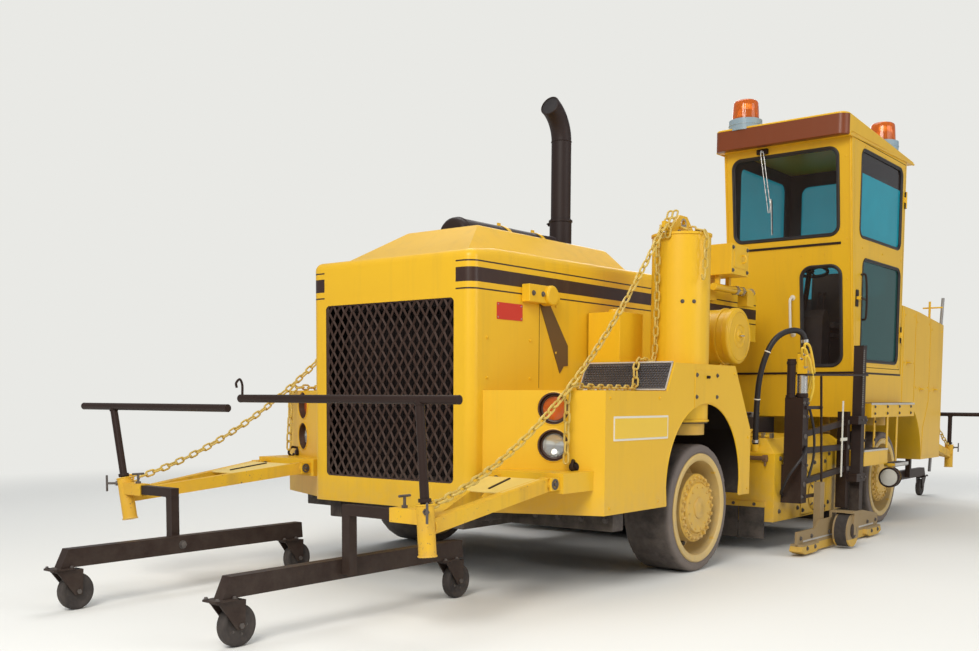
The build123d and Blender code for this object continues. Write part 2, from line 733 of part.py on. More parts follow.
# One row per fixed window: wall, first and second low edge and high edge, bottom, top, corner radius
FRONT_WINDOWS = (
    (325, 1445, 3050, 3900, 90),
    (1050, 1464, 1725, 2740, 110),
)
FAR_WINDOWS = (
    (-4650, -3420, 3040, 3900, 90),
    (-4650, -3500, 1900, 2800, 90),
)
REAR_WINDOWS = ((400, 1410, 2560, 3880, 90),)
DOOR_WINDOWS = (
    (-4690, -3380, 3040, 3920, 90),
    (-4710, -3500, 1775, 2825, 90),
)


def front_window_tool(y0, y1, z0, z1, radius, depth_back, depth_front, shrink):
    """Rounded window prism square to the leaning front wall."""
    lean = math.atan(CAB_LEAN)
    mid_z = (z0 + z1) / 2
    centre = (cab_front_x(mid_z), (y0 + y1) / 2, mid_z)
    place = Plane(origin=centre, x_dir=(0, 1, 0), z_dir=(math.cos(lean), 0, -math.sin(lean)))
    face = place * RectangleRounded(y1 - y0 - 2 * shrink, (z1 - z0) / math.cos(lean) - 2 * shrink, radius)
    normal = Vector(math.cos(lean), 0, -math.sin(lean))
    start = Pos(*(normal * -depth_back)) * face
    return extrude(start, amount=depth_back + depth_front, dir=normal)


def cab_shell():
    shell = cab_prism(CAB_FLOOR_Z, CAB_TOP_Z, 0, CAB_REAR_X, CAB_FAR_Y, CAB_NEAR_Y)
    shell -= cab_prism(
        CAB_FLOOR_Z + CAB_FLOOR_T, CAB_TOP_Z + 10, CAB_WALL, CAB_REAR_X + CAB_WALL,
        CAB_FAR_Y + CAB_WALL, CAB_NEAR_Y - CAB_WALL,
    )
    shell -= cab_prism(
        DOOR_SILL_Z - DOOR_GAP, DOOR_HEAD_Z + DOOR_GAP, DOOR_POST - DOOR_GAP,
        CAB_REAR_X + DOOR_HINGE_IN - DOOR_GAP, CAB_NEAR_Y - CAB_WALL - 5, CAB_NEAR_Y + 5,
    )
    for y0, y1, z0, z1, radius in FRONT_WINDOWS:
        shell -= front_window_tool(y0, y1, z0, z1, radius, 3 * CAB_WALL, CAB_WALL, 0)
    for x0, x1, z0, z1, radius in FAR_WINDOWS:
        shell -= window(x0, x1, z0, z1, CAB_FAR_Y - 10, CAB_FAR_Y + CAB_WALL + 10, radius)
    for y0, y1, z0, z1, radius in REAR_WINDOWS:
        shell -= cross_window(y0, y1, z0, z1, CAB_REAR_X - 10, CAB_REAR_X + CAB_WALL + 10, radius)
    for knuckle in frame_knuckles():
        shell += knuckle
    return shell


def frame_knuckles():
    """Hinge pins with the knuckles and leaves that belong to the cab shell."""
    parts_list = []
    for z in HINGE_LEAF_Z:
        part = rod((PIVOT_X, PIVOT_Y, z - 1.5 * KNUCKLE_LEN), (PIVOT_X, PIVOT_Y, z + 1.5 * KNUCKLE_LEN), KNUCKLE_R / 2)
        for way in (1, -1):
            z0, z1 = sorted((z + way * (KNUCKLE_LEN / 2 + RUN_GAP), z + way * 1.5 * KNUCKLE_LEN))
            part += rod((PIVOT_X, PIVOT_Y, z0), (PIVOT_X, PIVOT_Y, z1), KNUCKLE_R)
            part += block(CAB_REAR_X + 2, PIVOT_X - 2, CAB_NEAR_Y, PIVOT_Y, z0, z1)
        parts_list.append(part)
    return parts_list


def door_knuckles():
    parts_list = []
    for z in HINGE_LEAF_Z:
        z0, z1 = z - KNUCKLE_LEN / 2, z + KNUCKLE_LEN / 2
        part = rod((PIVOT_X, PIVOT_Y, z0), (PIVOT_X, PIVOT_Y, z1), KNUCKLE_R)
        part += block(PIVOT_X + DOOR_GAP / 2, PIVOT_X + 50, CAB_NEAR_Y, PIVOT_Y, z0, z1)
        parts_list.append(part)
    return parts_list


def cab_door():
    door = cab_prism(
        DOOR_SILL_Z, DOOR_HEAD_Z, DOOR_POST, CAB_REAR_X + DOOR_HINGE_IN, CAB_NEAR_Y - CAB_WALL, CAB_NEAR_Y
    )
    for x0, x1, z0, z1, radius in DOOR_WINDOWS:
        door -= window(x0, x1, z0, z1, CAB_NEAR_Y - CAB_WALL - 10, CAB_NEAR_Y + 10, radius)
    handle_x = cab_front_x(2410) - DOOR_POST - 40
    door += block(handle_x - 25, handle_x + 25, CAB_NEAR_Y, CAB_NEAR_Y + 45, 2395, 2425)
    for knuckle in door_knuckles():
        door += knuckle
    for z in HINGE_LEAF_Z:
        door -= rod((PIVOT_X, PIVOT_Y, z - KNUCKLE_LEN), (PIVOT_X, PIVOT_Y, z + KNUCKLE_LEN),
                    KNUCKLE_R / 2 + RUN_GAP)
    return door


def glass_pane(row, y_face):
    x0, x1, z0, z1, radius = row
    return window(
        x0 + SEAT_GAP, x1 - SEAT_GAP, z0 + SEAT_GAP, z1 - SEAT_GAP, y_face - GLASS_T / 2, y_face + GLASS_T / 2, radius
    )


def door_glass():
    return group(*[glass_pane(row, CAB_NEAR_Y - CAB_WALL / 2) for row in DOOR_WINDOWS])


def cab_glass():
    panes = [glass_pane(row, CAB_FAR_Y + CAB_WALL / 2) for row in FAR_WINDOWS]
    for y0, y1, z0, z1, radius in FRONT_WINDOWS:
        panes.append(front_window_tool(
            y0, y1, z0, z1, radius, CAB_WALL / 2 + GLASS_T / 2, -CAB_WALL / 2 + GLASS_T / 2, SEAT_GAP
        ))
    for y0, y1, z0, z1, radius in REAR_WINDOWS:
        mid = CAB_REAR_X + CAB_WALL / 2
        panes.append(cross_window(
            y0 + SEAT_GAP, y1 - SEAT_GAP, z0 + SEAT_GAP, z1 - SEAT_GAP, mid - GLASS_T / 2, mid + GLASS_T / 2,
            radius,
        ))
    return group(*panes)


def cab_roof():
    outline = [
        (ROOF_VISOR_X, ROOF_FASCIA_Z), (ROOF_VISOR_X, ROOF_FRONT_Z), (ROOF_REAR_X, ROOF_REAR_Z),
        (ROOF_REAR_X, CAB_TOP_Z), (CAB_FRONT_TOP_X + 20, CAB_TOP_Z), (CAB_FRONT_TOP_X + 18, ROOF_FASCIA_Z),
    ]
    roof = side_profile(outline, CAB_FAR_Y - ROOF_FAR_OVERHANG, CAB_NEAR_Y + ROOF_NEAR_OVERHANG)
    corners = [e for e in roof.edges().filter_by(Axis.Z) if e.center().X > ROOF_VISOR_X - 1]
    return fillet(corners, ROOF_ROUND)


def cab_interior():
    floor_z = CAB_FLOOR_Z + CAB_FLOOR_T
    seat_x = -4230
    seat_y = 900
    pedestal = block(seat_x - 180, seat_x + 180, seat_y - 160, seat_y + 160, floor_z, floor_z + 420)
    cushion = fillet(block(
        seat_x - 250, seat_x + 260, seat_y - 250, seat_y + 250, floor_z + 420, floor_z + 540
    ).edges(), 35)
    back = fillet(block(
        seat_x - 330, seat_x - 220, seat_y - 240, seat_y + 240, floor_z + 470, floor_z + 1130
    ).edges(), 40)
    console = block(-3780, -3560, seat_y - 260, seat_y + 260, floor_z, floor_z + 620)
    console += rod((-3700, seat_y, floor_z + 560), (-3830, seat_y, floor_z + 1080), 30)
    column_dir = Vector(-130, 0, 520).normalized()
    wheel_centre = Vector(-3830, seat_y, floor_z + 1080) + column_dir * 5
    wheel = Plane(origin=wheel_centre, z_dir=column_dir) * Torus(205, 16)
    spoke = Plane(origin=wheel_centre, z_dir=column_dir) * Box(400, 40, 14)
    return group(pedestal + cushion + back, console + wheel + spoke)


# One row per beacon: station and y of its centre
BEACON_TABLE = ((-3050, 470), (-4500, 1420))


def roof_top_z(x):
    share = (x - ROOF_REAR_X) / (ROOF_VISOR_X - ROOF_REAR_X)
    return ROOF_REAR_Z + share * (ROOF_FRONT_Z - ROOF_REAR_Z)


def beacon_base(x, y):
    foot_z = min(roof_top_z(x + BEACON_BASE_R), ROOF_FRONT_Z)
    low_z = roof_top_z(x - BEACON_BASE_R) - 5
    return rod((x, y, low_z), (x, y, foot_z + BEACON_BASE_H), BEACON_BASE_R) - cab_roof()


def beacon_dome(x, y):
    foot_z = min(roof_top_z(x + BEACON_BASE_R), ROOF_FRONT_Z)
    dome = rod((x, y, foot_z + BEACON_BASE_H), (x, y, foot_z + BEACON_BASE_H + BEACON_DOME_H), BEACON_DOME_R)
    return fillet(dome.edges().filter_by(GeomType.CIRCLE).sort_by(Axis.Z)[-1], 45)


# Body under the cab and behind it: hollow, open below, with the rear wheel arches
def rear_body_block(inset):
    low = REAR_BODY_LOW_Z - (1 if inset else 0)
    front = REAR_BODY_FRONT_X - inset
    outline = [
        (front, low), (front, REAR_BODY_TOP_Z - inset), (REAR_BODY_BREAK_X, REAR_BODY_BREAK_Z - inset),
        (REAR_FACE_X + inset, REAR_FACE_TOP_Z - inset), (REAR_FACE_X + inset, low),
    ]
    half = HALF_WIDTH - inset
    arch_x = REAR_ARCH_X + REAR_ARCH_R
    arch = rod((arch_x, -half - 5, REAR_BODY_LOW_Z), (arch_x, half + 5, REAR_BODY_LOW_Z), REAR_ARCH_R + inset)
    return side_profile(outline, -half, half) - arch


def rear_body():
    shell = rear_body_block(0) - rear_body_block(SHEET)
    half = HALF_WIDTH
    deck = block(REAR_BODY_FRONT_X, SHELF_FRONT_X, -half, half, BODY_LOW_Z, CAB_FLOOR_Z)
    deck -= block(
        REAR_BODY_FRONT_X - 5, SHELF_FRONT_X - SHEET, -half + SHEET, half - SHEET,
        BODY_LOW_Z - 5, CAB_FLOOR_Z - SHEET,
    )
    shell += deck + side_steps()
    for side in (1, -1):
        shell -= block(
            REAR_ARCH_X - 3 * SHEET, REAR_ARCH_X + SHEET, side * (RAIL_Y_IN - SEAT_GAP),
            side * (RAIL_Y_OUT + SEAT_GAP), REAR_BODY_LOW_Z - 5, RAIL_Z_TOP + SEAT_GAP,
        )
    return shell


# Shelf, hung step and hung tread under the cab door, and the work lamp on the tread
def side_steps():
    body_y = HALF_WIDTH - SHEET
    steps = block(STEP_FRONT_X, STEP_REAR_X, body_y, STEP_OUT_Y, BODY_LOW_Z, STEP_TOP_Z)
    steps += block(*LOW_STEP_X, HALF_WIDTH + 5, LOW_STEP_OUT_Y, *LOW_STEP_Z)
    tread_in_y = STEP_OUT_Y - 2 * HANGER_T
    steps += block(*TREAD_X, tread_in_y, TREAD_OUT_Y, TREAD_Z - 30, TREAD_Z)
    for station, y, low_z in ((-3470, 1660, LOW_STEP_Z[1]), (-3790, 1660, LOW_STEP_Z[1]),
                              (-3960, tread_in_y, TREAD_Z), (-4280, tread_in_y, TREAD_Z)):
        steps += block(station - HANGER_W / 2, station + HANGER_W / 2, y, y + HANGER_T, low_z - 20, BODY_LOW_Z + 20)
    x, y, z = WORK_LAMP_AT
    steps += rod((x - 45, y, z), (x + 45, y, z), WORK_LAMP_R)
    return steps + block(x - 20, x + 20, y - 25, y + 25, z, TREAD_Z - 20)


def fuel_tank():
    tank = block(CAB_REAR_X, CAB_FRONT_LOW_X - 60, -HALF_WIDTH + 30, CAB_FAR_Y - 60, CAB_FLOOR_Z, TANK_TOP_Z)
    tank = fillet(tank.edges().filter_by(Axis.X), 60)
    return tank + rod((-3700, -1300, TANK_TOP_Z), (-3700, -1300, TANK_TOP_Z + 60), 60)


# Drum housing between the axles, open below, with the drum's bearing plates
def housing_body(inset):
    """Box with its long upper edges sloped on all four sides, set in by the inset."""
    low = HOUSING_LOW_Z - (5 if inset else 0)
    skirt = HOUSING_SKIRT_Z - inset / 2
    top = HOUSING_TOP_Z - inset
    half = HOUSING_HALF_W - inset
    front, rear = HOUSING_FRONT_X - inset, HOUSING_REAR_X + inset
    across = cross_profile(
        [(-half, low), (half, low), (half, skirt), (half - HOUSING_LEDGE, top), (HOUSING_LEDGE - half, top), (-half, skirt)],
        rear, front,
    )
    along = side_profile(
        [(rear, low), (front, low), (front, skirt), (front - HOUSING_LEDGE, top), (rear + HOUSING_LEDGE, top), (rear, skirt)],
        -half, half,
    )
    return across & along


def drum_housing():
    housing = housing_body(0) - housing_body(SHEET)
    for side in (1, -1):
        y0 = side * (DRUM_HALF_LEN + 10)
        plate = block(
            DRUM_X - 420, DRUM_X + 420, y0, y0 + side * BEARING_PLATE_T, HOUSING_LOW_Z - 30, HOUSING_TOP_Z - SHEET
        )
        plate -= rod((DRUM_X, y0 - side * 10, DRUM_Z), (DRUM_X, y0 + side * 50, DRUM_Z), DRUM_SHAFT_R + RUN_GAP)
        housing += plate
    x, y, z = HOSE_ROUTE[0]
    return housing + rod((x, y, HOUSING_SKIRT_Z + 15), (x, y, z), GLAND_R)


def cutter_drum():
    drum = rod((DRUM_X, -DRUM_HALF_LEN, DRUM_Z), (DRUM_X, DRUM_HALF_LEN, DRUM_Z), DRUM_BODY_R)
    shaft_end = DRUM_HALF_LEN + 10 + BEARING_PLATE_T
    drum += rod((DRUM_X, -shaft_end, DRUM_Z), (DRUM_X, shaft_end, DRUM_Z), DRUM_SHAFT_R)
    pitch = 2 * (DRUM_HALF_LEN - 50) / (PICKS_PER_ROW - 1)
    pick_h = PICK_TIP_R - DRUM_BODY_R
    for row in range(PICK_ROWS):
        for number in range(PICKS_PER_ROW):
            y = -DRUM_HALF_LEN + 50 + number * pitch
            turn = row * 360 / PICK_ROWS + abs(y) / DRUM_HALF_LEN * 80
            tool = Pos(DRUM_BODY_R + pick_h / 2 - 5, 0, 0) * Box(pick_h + 10, 40, 50)
            drum += Pos(DRUM_X, y, DRUM_Z) * Rot(0, turn, 0) * tool
    return drum


# Arms: a two-legged frame hinged on a bracket, with the tip's post socket and cross sleeve
def hinge_x(end):
    """Station of the hinge line at the front or the rear."""
    return HINGE_FRONT_X if end > 0 else REAR_FACE_X - HINGE_STANDOFF


def post_point(tip_x, tip_y, lean, z):
    """Point at height z on the leaning line of the walker bar's post."""
    return (tip_x, tip_y + (z - CRANK_Z) * math.tan(math.radians(lean)), z)


def arm(end, tip_x, tip_y, lean):
    line_x = hinge_x(end)
    shape = rod(post_point(tip_x, tip_y, lean, SOCKET_LOW_Z), post_point(tip_x, tip_y, lean, SOCKET_TOP_Z), SOCKET_R)
    sleeve_half = POST_W / 2 + SLEEVE_WALL
    sleeve_z = CRANK_Z
    for y in (HINGE_OUT_Y, HINGE_IN_Y):
        shape += beam((line_x + end * 10, y, HINGE_Z), (tip_x, tip_y, ARM_TIP_Z - 20), ARM_T, ARM_W)
        shape += rod((line_x, y - HINGE_BARREL_LEN / 2, HINGE_Z), (line_x, y + HINGE_BARREL_LEN / 2, HINGE_Z),
                     HINGE_BARREL_R)
    brace_x = line_x + (tip_x - line_x) * BRACE_SHARE
    brace_z = HINGE_Z + (ARM_TIP_Z - 20 - HINGE_Z) * BRACE_SHARE
    brace_in_y = HINGE_IN_Y + (tip_y - HINGE_IN_Y) * BRACE_SHARE
    brace_out_y = HINGE_OUT_Y + (tip_y - HINGE_OUT_Y) * BRACE_SHARE
    shape += beam((brace_x, brace_in_y, brace_z), (brace_x, brace_out_y, brace_z), 60, 60)
    sleeve_end = tip_y - SOCKET_R - SLEEVE_LEN
    shape += block(
        tip_x - sleeve_half, tip_x + sleeve_half, sleeve_end, tip_y, sleeve_z - sleeve_half, sleeve_z + sleeve_half
    )
    room = POST_W / 2 + SEAT_GAP
    shape -= block(
        tip_x - room, tip_x + room, sleeve_end - 300, tip_y - SOCKET_R, sleeve_z - room, sleeve_z + room
    )
    shape -= rod(
        post_point(tip_x, tip_y, lean, SOCKET_SEAT_Z), post_point(tip_x, tip_y, lean, SOCKET_TOP_Z + 200),
        T_POST_R + SEAT_GAP,
    )
    for y in (HINGE_OUT_Y, HINGE_IN_Y):
        half = HINGE_BARREL_LEN / 2 + HINGE_EAR_T + 5
        for way in (1, -1):
            slot_in = y + way * (HINGE_BARREL_LEN / 2)
            shape -= block(
                line_x - HINGE_BARREL_R - 20, line_x + HINGE_BARREL_R + 20, slot_in,
                slot_in + way * (HINGE_EAR_T + 10), HINGE_Z - 120, HINGE_Z + 120,
            )
        shape -= rod((line_x, y - half, HINGE_Z), (line_x, y + half, HINGE_Z), HINGE_PIN_R + RUN_GAP)
    return shape


def arm_bracket(end):
    line_x = hinge_x(end)
    front_x = line_x - end * (HINGE_BARREL_R + 18)
    low, top = BRACKET_LOW_Z, BRACKET_LOW_Z + BRACKET_H
    y_in, y_out = HINGE_IN_Y - BRACKET_LAP, HINGE_OUT_Y + BRACKET_LAP
    if end > 0:
        seat = [
            (FENDER_CORNER_X + (HALF_WIDTH - y) * SWEEP_TAN + SEAT_GAP / math.cos(SWEEP), y) for y in (y_out, y_in)
        ]
    else:
        seat = [(REAR_FACE_X - SEAT_GAP, y_out), (REAR_FACE_X - SEAT_GAP, y_in)]
    shape = plan_profile([*seat, (front_x, y_in), (front_x, y_out)], low, top)
    for y in (HINGE_OUT_Y, HINGE_IN_Y):
        for way in (1, -1):
            ear_y = y + way * (HINGE_BARREL_LEN / 2 + RUN_GAP + HINGE_EAR_T / 2)
            shape += beam((front_x - end * 5, ear_y, HINGE_Z), (line_x + end * HINGE_BARREL_R, ear_y, HINGE_Z),
                          HINGE_EAR_T, EAR_H)
        reach = HINGE_BARREL_LEN / 2 + HINGE_EAR_T
        shape += rod((line_x, y - reach, HINGE_Z), (line_x, y + reach, HINGE_Z), HINGE_PIN_R)
    return shape


def walker_bars(tip_x, tip_y, ski_y, bar_in, bar_out, bar_z, lean):
    post_y = ski_y + SKI_BEAM_W / 2 + RUN_GAP + POST_W / 2
    ski_pivot_z = SKI_BEAM_LOW_Z + SKI_BEAM_H / 2
    crank = block(
        tip_x - POST_W / 2, tip_x + POST_W / 2, post_y - POST_W / 2, post_y + POST_W / 2,
        ski_pivot_z - POST_W / 2, POST_TOP_Z,
    )
    crank += block(
        tip_x - POST_W / 2, tip_x + POST_W / 2, post_y, tip_y - SOCKET_R - CRANK_GAP,
        CRANK_Z - POST_W / 2, POST_TOP_Z,
    )
    crank += rod(
        (tip_x, ski_y - SKI_BEAM_W / 2 - 12, ski_pivot_z), (tip_x, post_y, ski_pivot_z), SKI_PIN_R
    )
    tee = rod(
        post_point(tip_x, tip_y, lean, SOCKET_SEAT_Z + 2 * SEAT_GAP), post_point(tip_x, tip_y, lean, bar_z), T_POST_R
    )
    tee += rod((tip_x, bar_in, bar_z), (tip_x, bar_out, bar_z), T_BAR_R)
    return group(crank, tee)


def ski(end, tip_x, ski_y):
    top_z = SKI_BEAM_LOW_Z + SKI_BEAM_H
    front = tip_x + end * SKI_AHEAD
    back = tip_x - end * SKI_BEHIND
    bevel = 60
    shape = side_profile(
        [(front, SKI_BEAM_LOW_Z), (front - end * bevel, top_z), (back, top_z), (back - end * 10, SKI_BEAM_LOW_Z)],
        ski_y - SKI_BEAM_W / 2, ski_y + SKI_BEAM_W / 2,
    )
    pivot_z = SKI_BEAM_LOW_Z + SKI_BEAM_H / 2
    shape -= rod(
        (tip_x, ski_y - SKI_BEAM_W, pivot_z), (tip_x, ski_y + SKI_BEAM_W, pivot_z), SKI_PIN_R + RUN_GAP
    )
    for station in caster_stations(end, tip_x):
        swivel_x = station + end * CASTER_TRAIL
        plate_z = SKI_BEAM_LOW_Z - CASTER_PLATE_T
        shape += block(swivel_x - 75, swivel_x + 75, ski_y - 60, ski_y + 60, plate_z, SKI_BEAM_LOW_Z)
        neck_z = CASTER_D + 12
        shape += rod((swivel_x, ski_y, neck_z), (swivel_x, ski_y, plate_z), 38)
        half = CASTER_W / 2 + FORK_GAP + FORK_T
        shape += block(
            min(station, swivel_x) - 35, max(station, swivel_x) + 40, ski_y - half, ski_y + half,
            neck_z, neck_z + 12,
        )
        for side in (1, -1):
            y0 = ski_y + side * (half - FORK_T)
            shape += side_profile(
                [(station - 26, CASTER_D / 2 - 22), (station + 26, CASTER_D / 2 - 22),
                 (max(station, swivel_x) + 40, neck_z + 5), (min(station, swivel_x) - 35, neck_z + 5)],
                min(y0, y0 + side * FORK_T), max(y0, y0 + side * FORK_T),
            )
        shape += rod((station, ski_y - half, CASTER_D / 2), (station, ski_y + half, CASTER_D / 2), CASTER_AXLE_R)
    return shape


def caster_stations(end, tip_x):
    return (tip_x + end * (CASTER_AHEAD - CASTER_TRAIL), tip_x - end * (CASTER_BEHIND + CASTER_TRAIL))


def caster_wheel(station, y):
    wheel = rod((station, y - CASTER_W / 2, CASTER_D / 2), (station, y + CASTER_W / 2, CASTER_D / 2), CASTER_D / 2)
    wheel = chamfer(wheel.edges().filter_by(GeomType.CIRCLE), 10)
    wheel -= rod((station, y - CASTER_W, CASTER_D / 2), (station, y + CASTER_W, CASTER_D / 2), CASTER_AXLE_R + RUN_GAP)
    return wheel


# Chains from the lifting lugs to the arm tips: open links along a slack curve, each turned against the next
def chain_ends(end, tip_x, tip_y, lean):
    """Upper and lower end of a chain."""
    if end > 0:
        top = (COLUMN_R + CHAIN_EAR_OUT, LEG_Y, FRONT_COLUMN_TOP_Z + CAP_T + LUG_H / 3)
    else:
        top = (REAR_FACE_X, REAR_CHAIN_Y, REAR_CHAIN_Z)
    low = (tip_x - end * SOCKET_R, post_point(tip_x, tip_y, lean, SOCKET_TOP_Z)[1], SOCKET_TOP_Z - CHAIN_BAR)
    return Vector(*top), Vector(*low)


def link(centre, along, turned):
    """Flat open link lying along the chain; every second one is turned on its side."""
    across = Vector(0, 1, 0) if turned else Vector(0, 1, 0).cross(along).normalized()
    place = Plane(origin=centre, x_dir=along, z_dir=across)
    ring = place * Box(CHAIN_LINK_LEN, CHAIN_LINK_W, CHAIN_BAR)
    return ring - place * Box(CHAIN_LINK_LEN - 2 * CHAIN_BAR, CHAIN_LINK_W - 2 * CHAIN_BAR, 2 * CHAIN_BAR)


def chain(end, tip_x, tip_y, lean):
    top, low = chain_ends(end, tip_x, tip_y, lean)
    sag = FRONT_CHAIN_SAG if end > 0 else REAR_CHAIN_SAG
    chord = low - top

    def slope(share):
        """Change of place for a change of the share of the way down."""
        return chord - Vector(0, 0, 4 * sag * (1 - 2 * share))

    steps = 60
    length = sum(slope((i + 0.5) / steps).length / steps for i in range(steps))
    overhang = CHAIN_LINK_LEN - CHAIN_PITCH
    count = int((length - overhang) / CHAIN_PITCH)
    links = []
    share = (length - count * CHAIN_PITCH) / 2 / slope(0).length
    for number in range(count):
        half = CHAIN_PITCH / 2
        share += half / slope(share).length
        centre = top + chord * share - Vector(0, 0, 4 * sag * share * (1 - share))
        links.append(link(centre, slope(share).normalized(), number % 2 == 1))
        share += half / slope(share).length
    return group(*links)


# Edge-plate linkage beside the housing: mast with its rams and manifold, links and the guide of the lift bar
def side_linkage():
    y0, y1 = MAST_Y_IN, MAST_Y_OUT
    mast = block(MAST_X - MAST_W / 2, MAST_X + MAST_W / 2, y0, y1, MAST_LOW_Z, MAST_TOP_Z)
    mast += block(MAST_X - 60, MAST_X + 60, HOUSING_HALF_W, y0, MAST_LOW_Z, HOUSING_SKIRT_Z - 100)
    mast += rod((MAST_X + 30, y0 + 40, MAST_TOP_Z), (MAST_X + 30, y0 + 40, TALL_RAM_TOP_Z), TALL_RAM_R)
    ram_x, ram_y, _ = HOSE_ROUTE[-1]
    mast += rod((ram_x + 10, ram_y - 10, MAST_TOP_Z), (ram_x + 10, ram_y - 10, SHORT_RAM_TOP_Z), SHORT_RAM_R)
    mast += block(ram_x - 70, ram_x + 40, y1 - 90, y1, SHORT_RAM_TOP_Z - 10, MANIFOLD_TOP_Z)
    mast += rod((ram_x, ram_y, MANIFOLD_TOP_Z - 5), (ram_x, ram_y, HOSE_TOP_Z), GLAND_R)
    for z_front, z_back in ((1040, 1150), (905, 905), (610, 690)):
        mast += beam((MAST_X, LINK_Y, z_front), (SLEEVE_POST_X, LINK_Y, z_back), 40, 56)
    post_half = SLEEVE_POST_W / 2
    mast += block(SLEEVE_POST_X - post_half, SLEEVE_POST_X + post_half, y0 + 20, SLEEVE_POST_Y_OUT, *SLEEVE_POST_Z)
    half = LIFT_BAR_W / 2 + RUN_GAP
    for z in COLLAR_Z:
        mast += block(
            LIFT_BAR_X - half - COLLAR_T, SLEEVE_POST_X, LIFT_BAR_Y - half - COLLAR_T, LIFT_BAR_Y + half + COLLAR_T,
            z, z + COLLAR_H,
        )
    return mast - block(
        LIFT_BAR_X - half, LIFT_BAR_X + half, LIFT_BAR_Y - half, LIFT_BAR_Y + half, RUNNER_LIFT, LIFT_BAR_TOP_Z
    )


# Edge plate: runner with a shoe at each end, the lift bar, an upright and the gauge wheel on its bracket
def edge_plate():
    half = LIFT_BAR_W / 2
    low = RUNNER_LIFT
    inner, outer = RUNNER_Y - RUNNER_T, RUNNER_Y
    toe = SHOE_H
    plate = side_profile(
        [(RUNNER_REAR_X, low + toe), (RUNNER_REAR_X + toe, low), (RUNNER_FRONT_X - toe, low),
         (RUNNER_FRONT_X, low + toe), (RUNNER_FRONT_X, low + RUNNER_END_H), (RUNNER_FRONT_X - SHOE_LEN, low + RUNNER_END_H),
         (RUNNER_FRONT_X - SHOE_LEN - toe, low + RUNNER_MID_H), (RUNNER_REAR_X + SHOE_LEN, low + RUNNER_MID_H),
         (RUNNER_REAR_X, low + RUNNER_END_H)],
        inner, outer,
    )
    for x0, x1 in ((RUNNER_FRONT_X - SHOE_LEN, RUNNER_FRONT_X), (RUNNER_REAR_X, RUNNER_REAR_X + SHOE_LEN)):
        plate += side_profile(
            [(x0, low + toe / 3), (x0 + toe, low), (x1 - toe, low), (x1, low + toe / 3), (x1 - toe / 3, low + toe),
             (x0 + toe / 3, low + toe)],
            inner - 50, outer + 40,
        )
    plate += block(
        LIFT_BAR_X - half, LIFT_BAR_X + half, LIFT_BAR_Y - half, LIFT_BAR_Y + half, low + toe, LIFT_BAR_TOP_Z
    )
    plate += block(LIFT_BAR_X - half, LIFT_BAR_X + half, LIFT_BAR_Y, inner + 1, low + toe, low + RUNNER_END_H)
    plate += block(MAST_X - 290, MAST_X - 190, inner - 60, inner + 1, low + toe, 620)
    wheel_x, wheel_y, wheel_z = FOOT_WHEEL_X, FOOT_WHEEL_Y, low + FOOT_WHEEL_D / 2
    wheel_in, wheel_out = wheel_y - FOOT_WHEEL_W / 2, wheel_y + FOOT_WHEEL_W / 2
    plate += rod((wheel_x, wheel_in, wheel_z), (wheel_x, wheel_out, wheel_z), FOOT_WHEEL_D / 2)
    plate += rod((wheel_x, inner, wheel_z), (wheel_x, wheel_in, wheel_z), 30)
    fork_z = low + FOOT_WHEEL_D + 12
    plate += block(wheel_x - 60, wheel_x + 60, inner, wheel_out + 20, fork_z, fork_z + 16)
    plate += block(wheel_x - 30, wheel_x + 30, wheel_out - 1, wheel_out + 20, wheel_z - 40, fork_z + 1)
    return plate + block(wheel_x - 60, wheel_x + 60, inner, outer, low + RUNNER_MID_H - 10, fork_z + 1)


# Hose tube: straight runs between the route's points joined by the largest tangent arcs
def hose():
    route = [Vector(*point) for point in HOSE_ROUTE]
    here = route[0]
    edges = []
    for before, corner, after in zip(route, route[1:], route[2:]):
        into, out = (corner - before).normalized(), (after - corner).normalized()
        turn = math.acos(into.dot(out))
        reach = 0.45 * min((corner - before).length, (after - corner).length)
        arc_start, arc_end = corner - into * reach, corner + out * reach
        middle = (out - into).normalized()
        radius = reach / math.tan(turn / 2)
        centre = corner + middle * (radius / math.cos(turn / 2))
        edges.append(Line(here, arc_start))
        edges.append(ThreePointArc(arc_start, centre - middle * radius, arc_end))
        here = arc_end
    edges.append(Line(here, route[-1]))
    section = Plane(origin=route[0], z_dir=route[1] - route[0]) * Circle(HOSE_R)
    return sweep(section, path=Wire(edges))


def tread_plates():
    rise = FENDER_TOP_Z - FENDER_DECK_Z
    run = RAMP_FOOT_X - FENDER_TOP_FRONT_X
    length = math.hypot(rise, run)
    nx, nz = rise / length, run / length
    t = 6
    y_in, y_out = FENDER_INNER_Y + 20, HALF_WIDTH - 20
    ramp = side_profile(
        [(RAMP_FOOT_X - 5 * run / length, FENDER_DECK_Z + 5 * rise / length),
         (FENDER_TOP_FRONT_X + 5 * run / length, FENDER_TOP_Z - 5 * rise / length),
         (FENDER_TOP_FRONT_X + 5 * run / length + t * nx, FENDER_TOP_Z - 5 * rise / length + t * nz),
         (RAMP_FOOT_X - 5 * run / length + t * nx, FENDER_DECK_Z + 5 * rise / length + t * nz)],
        y_in, y_out,
    )
    return both(ramp)


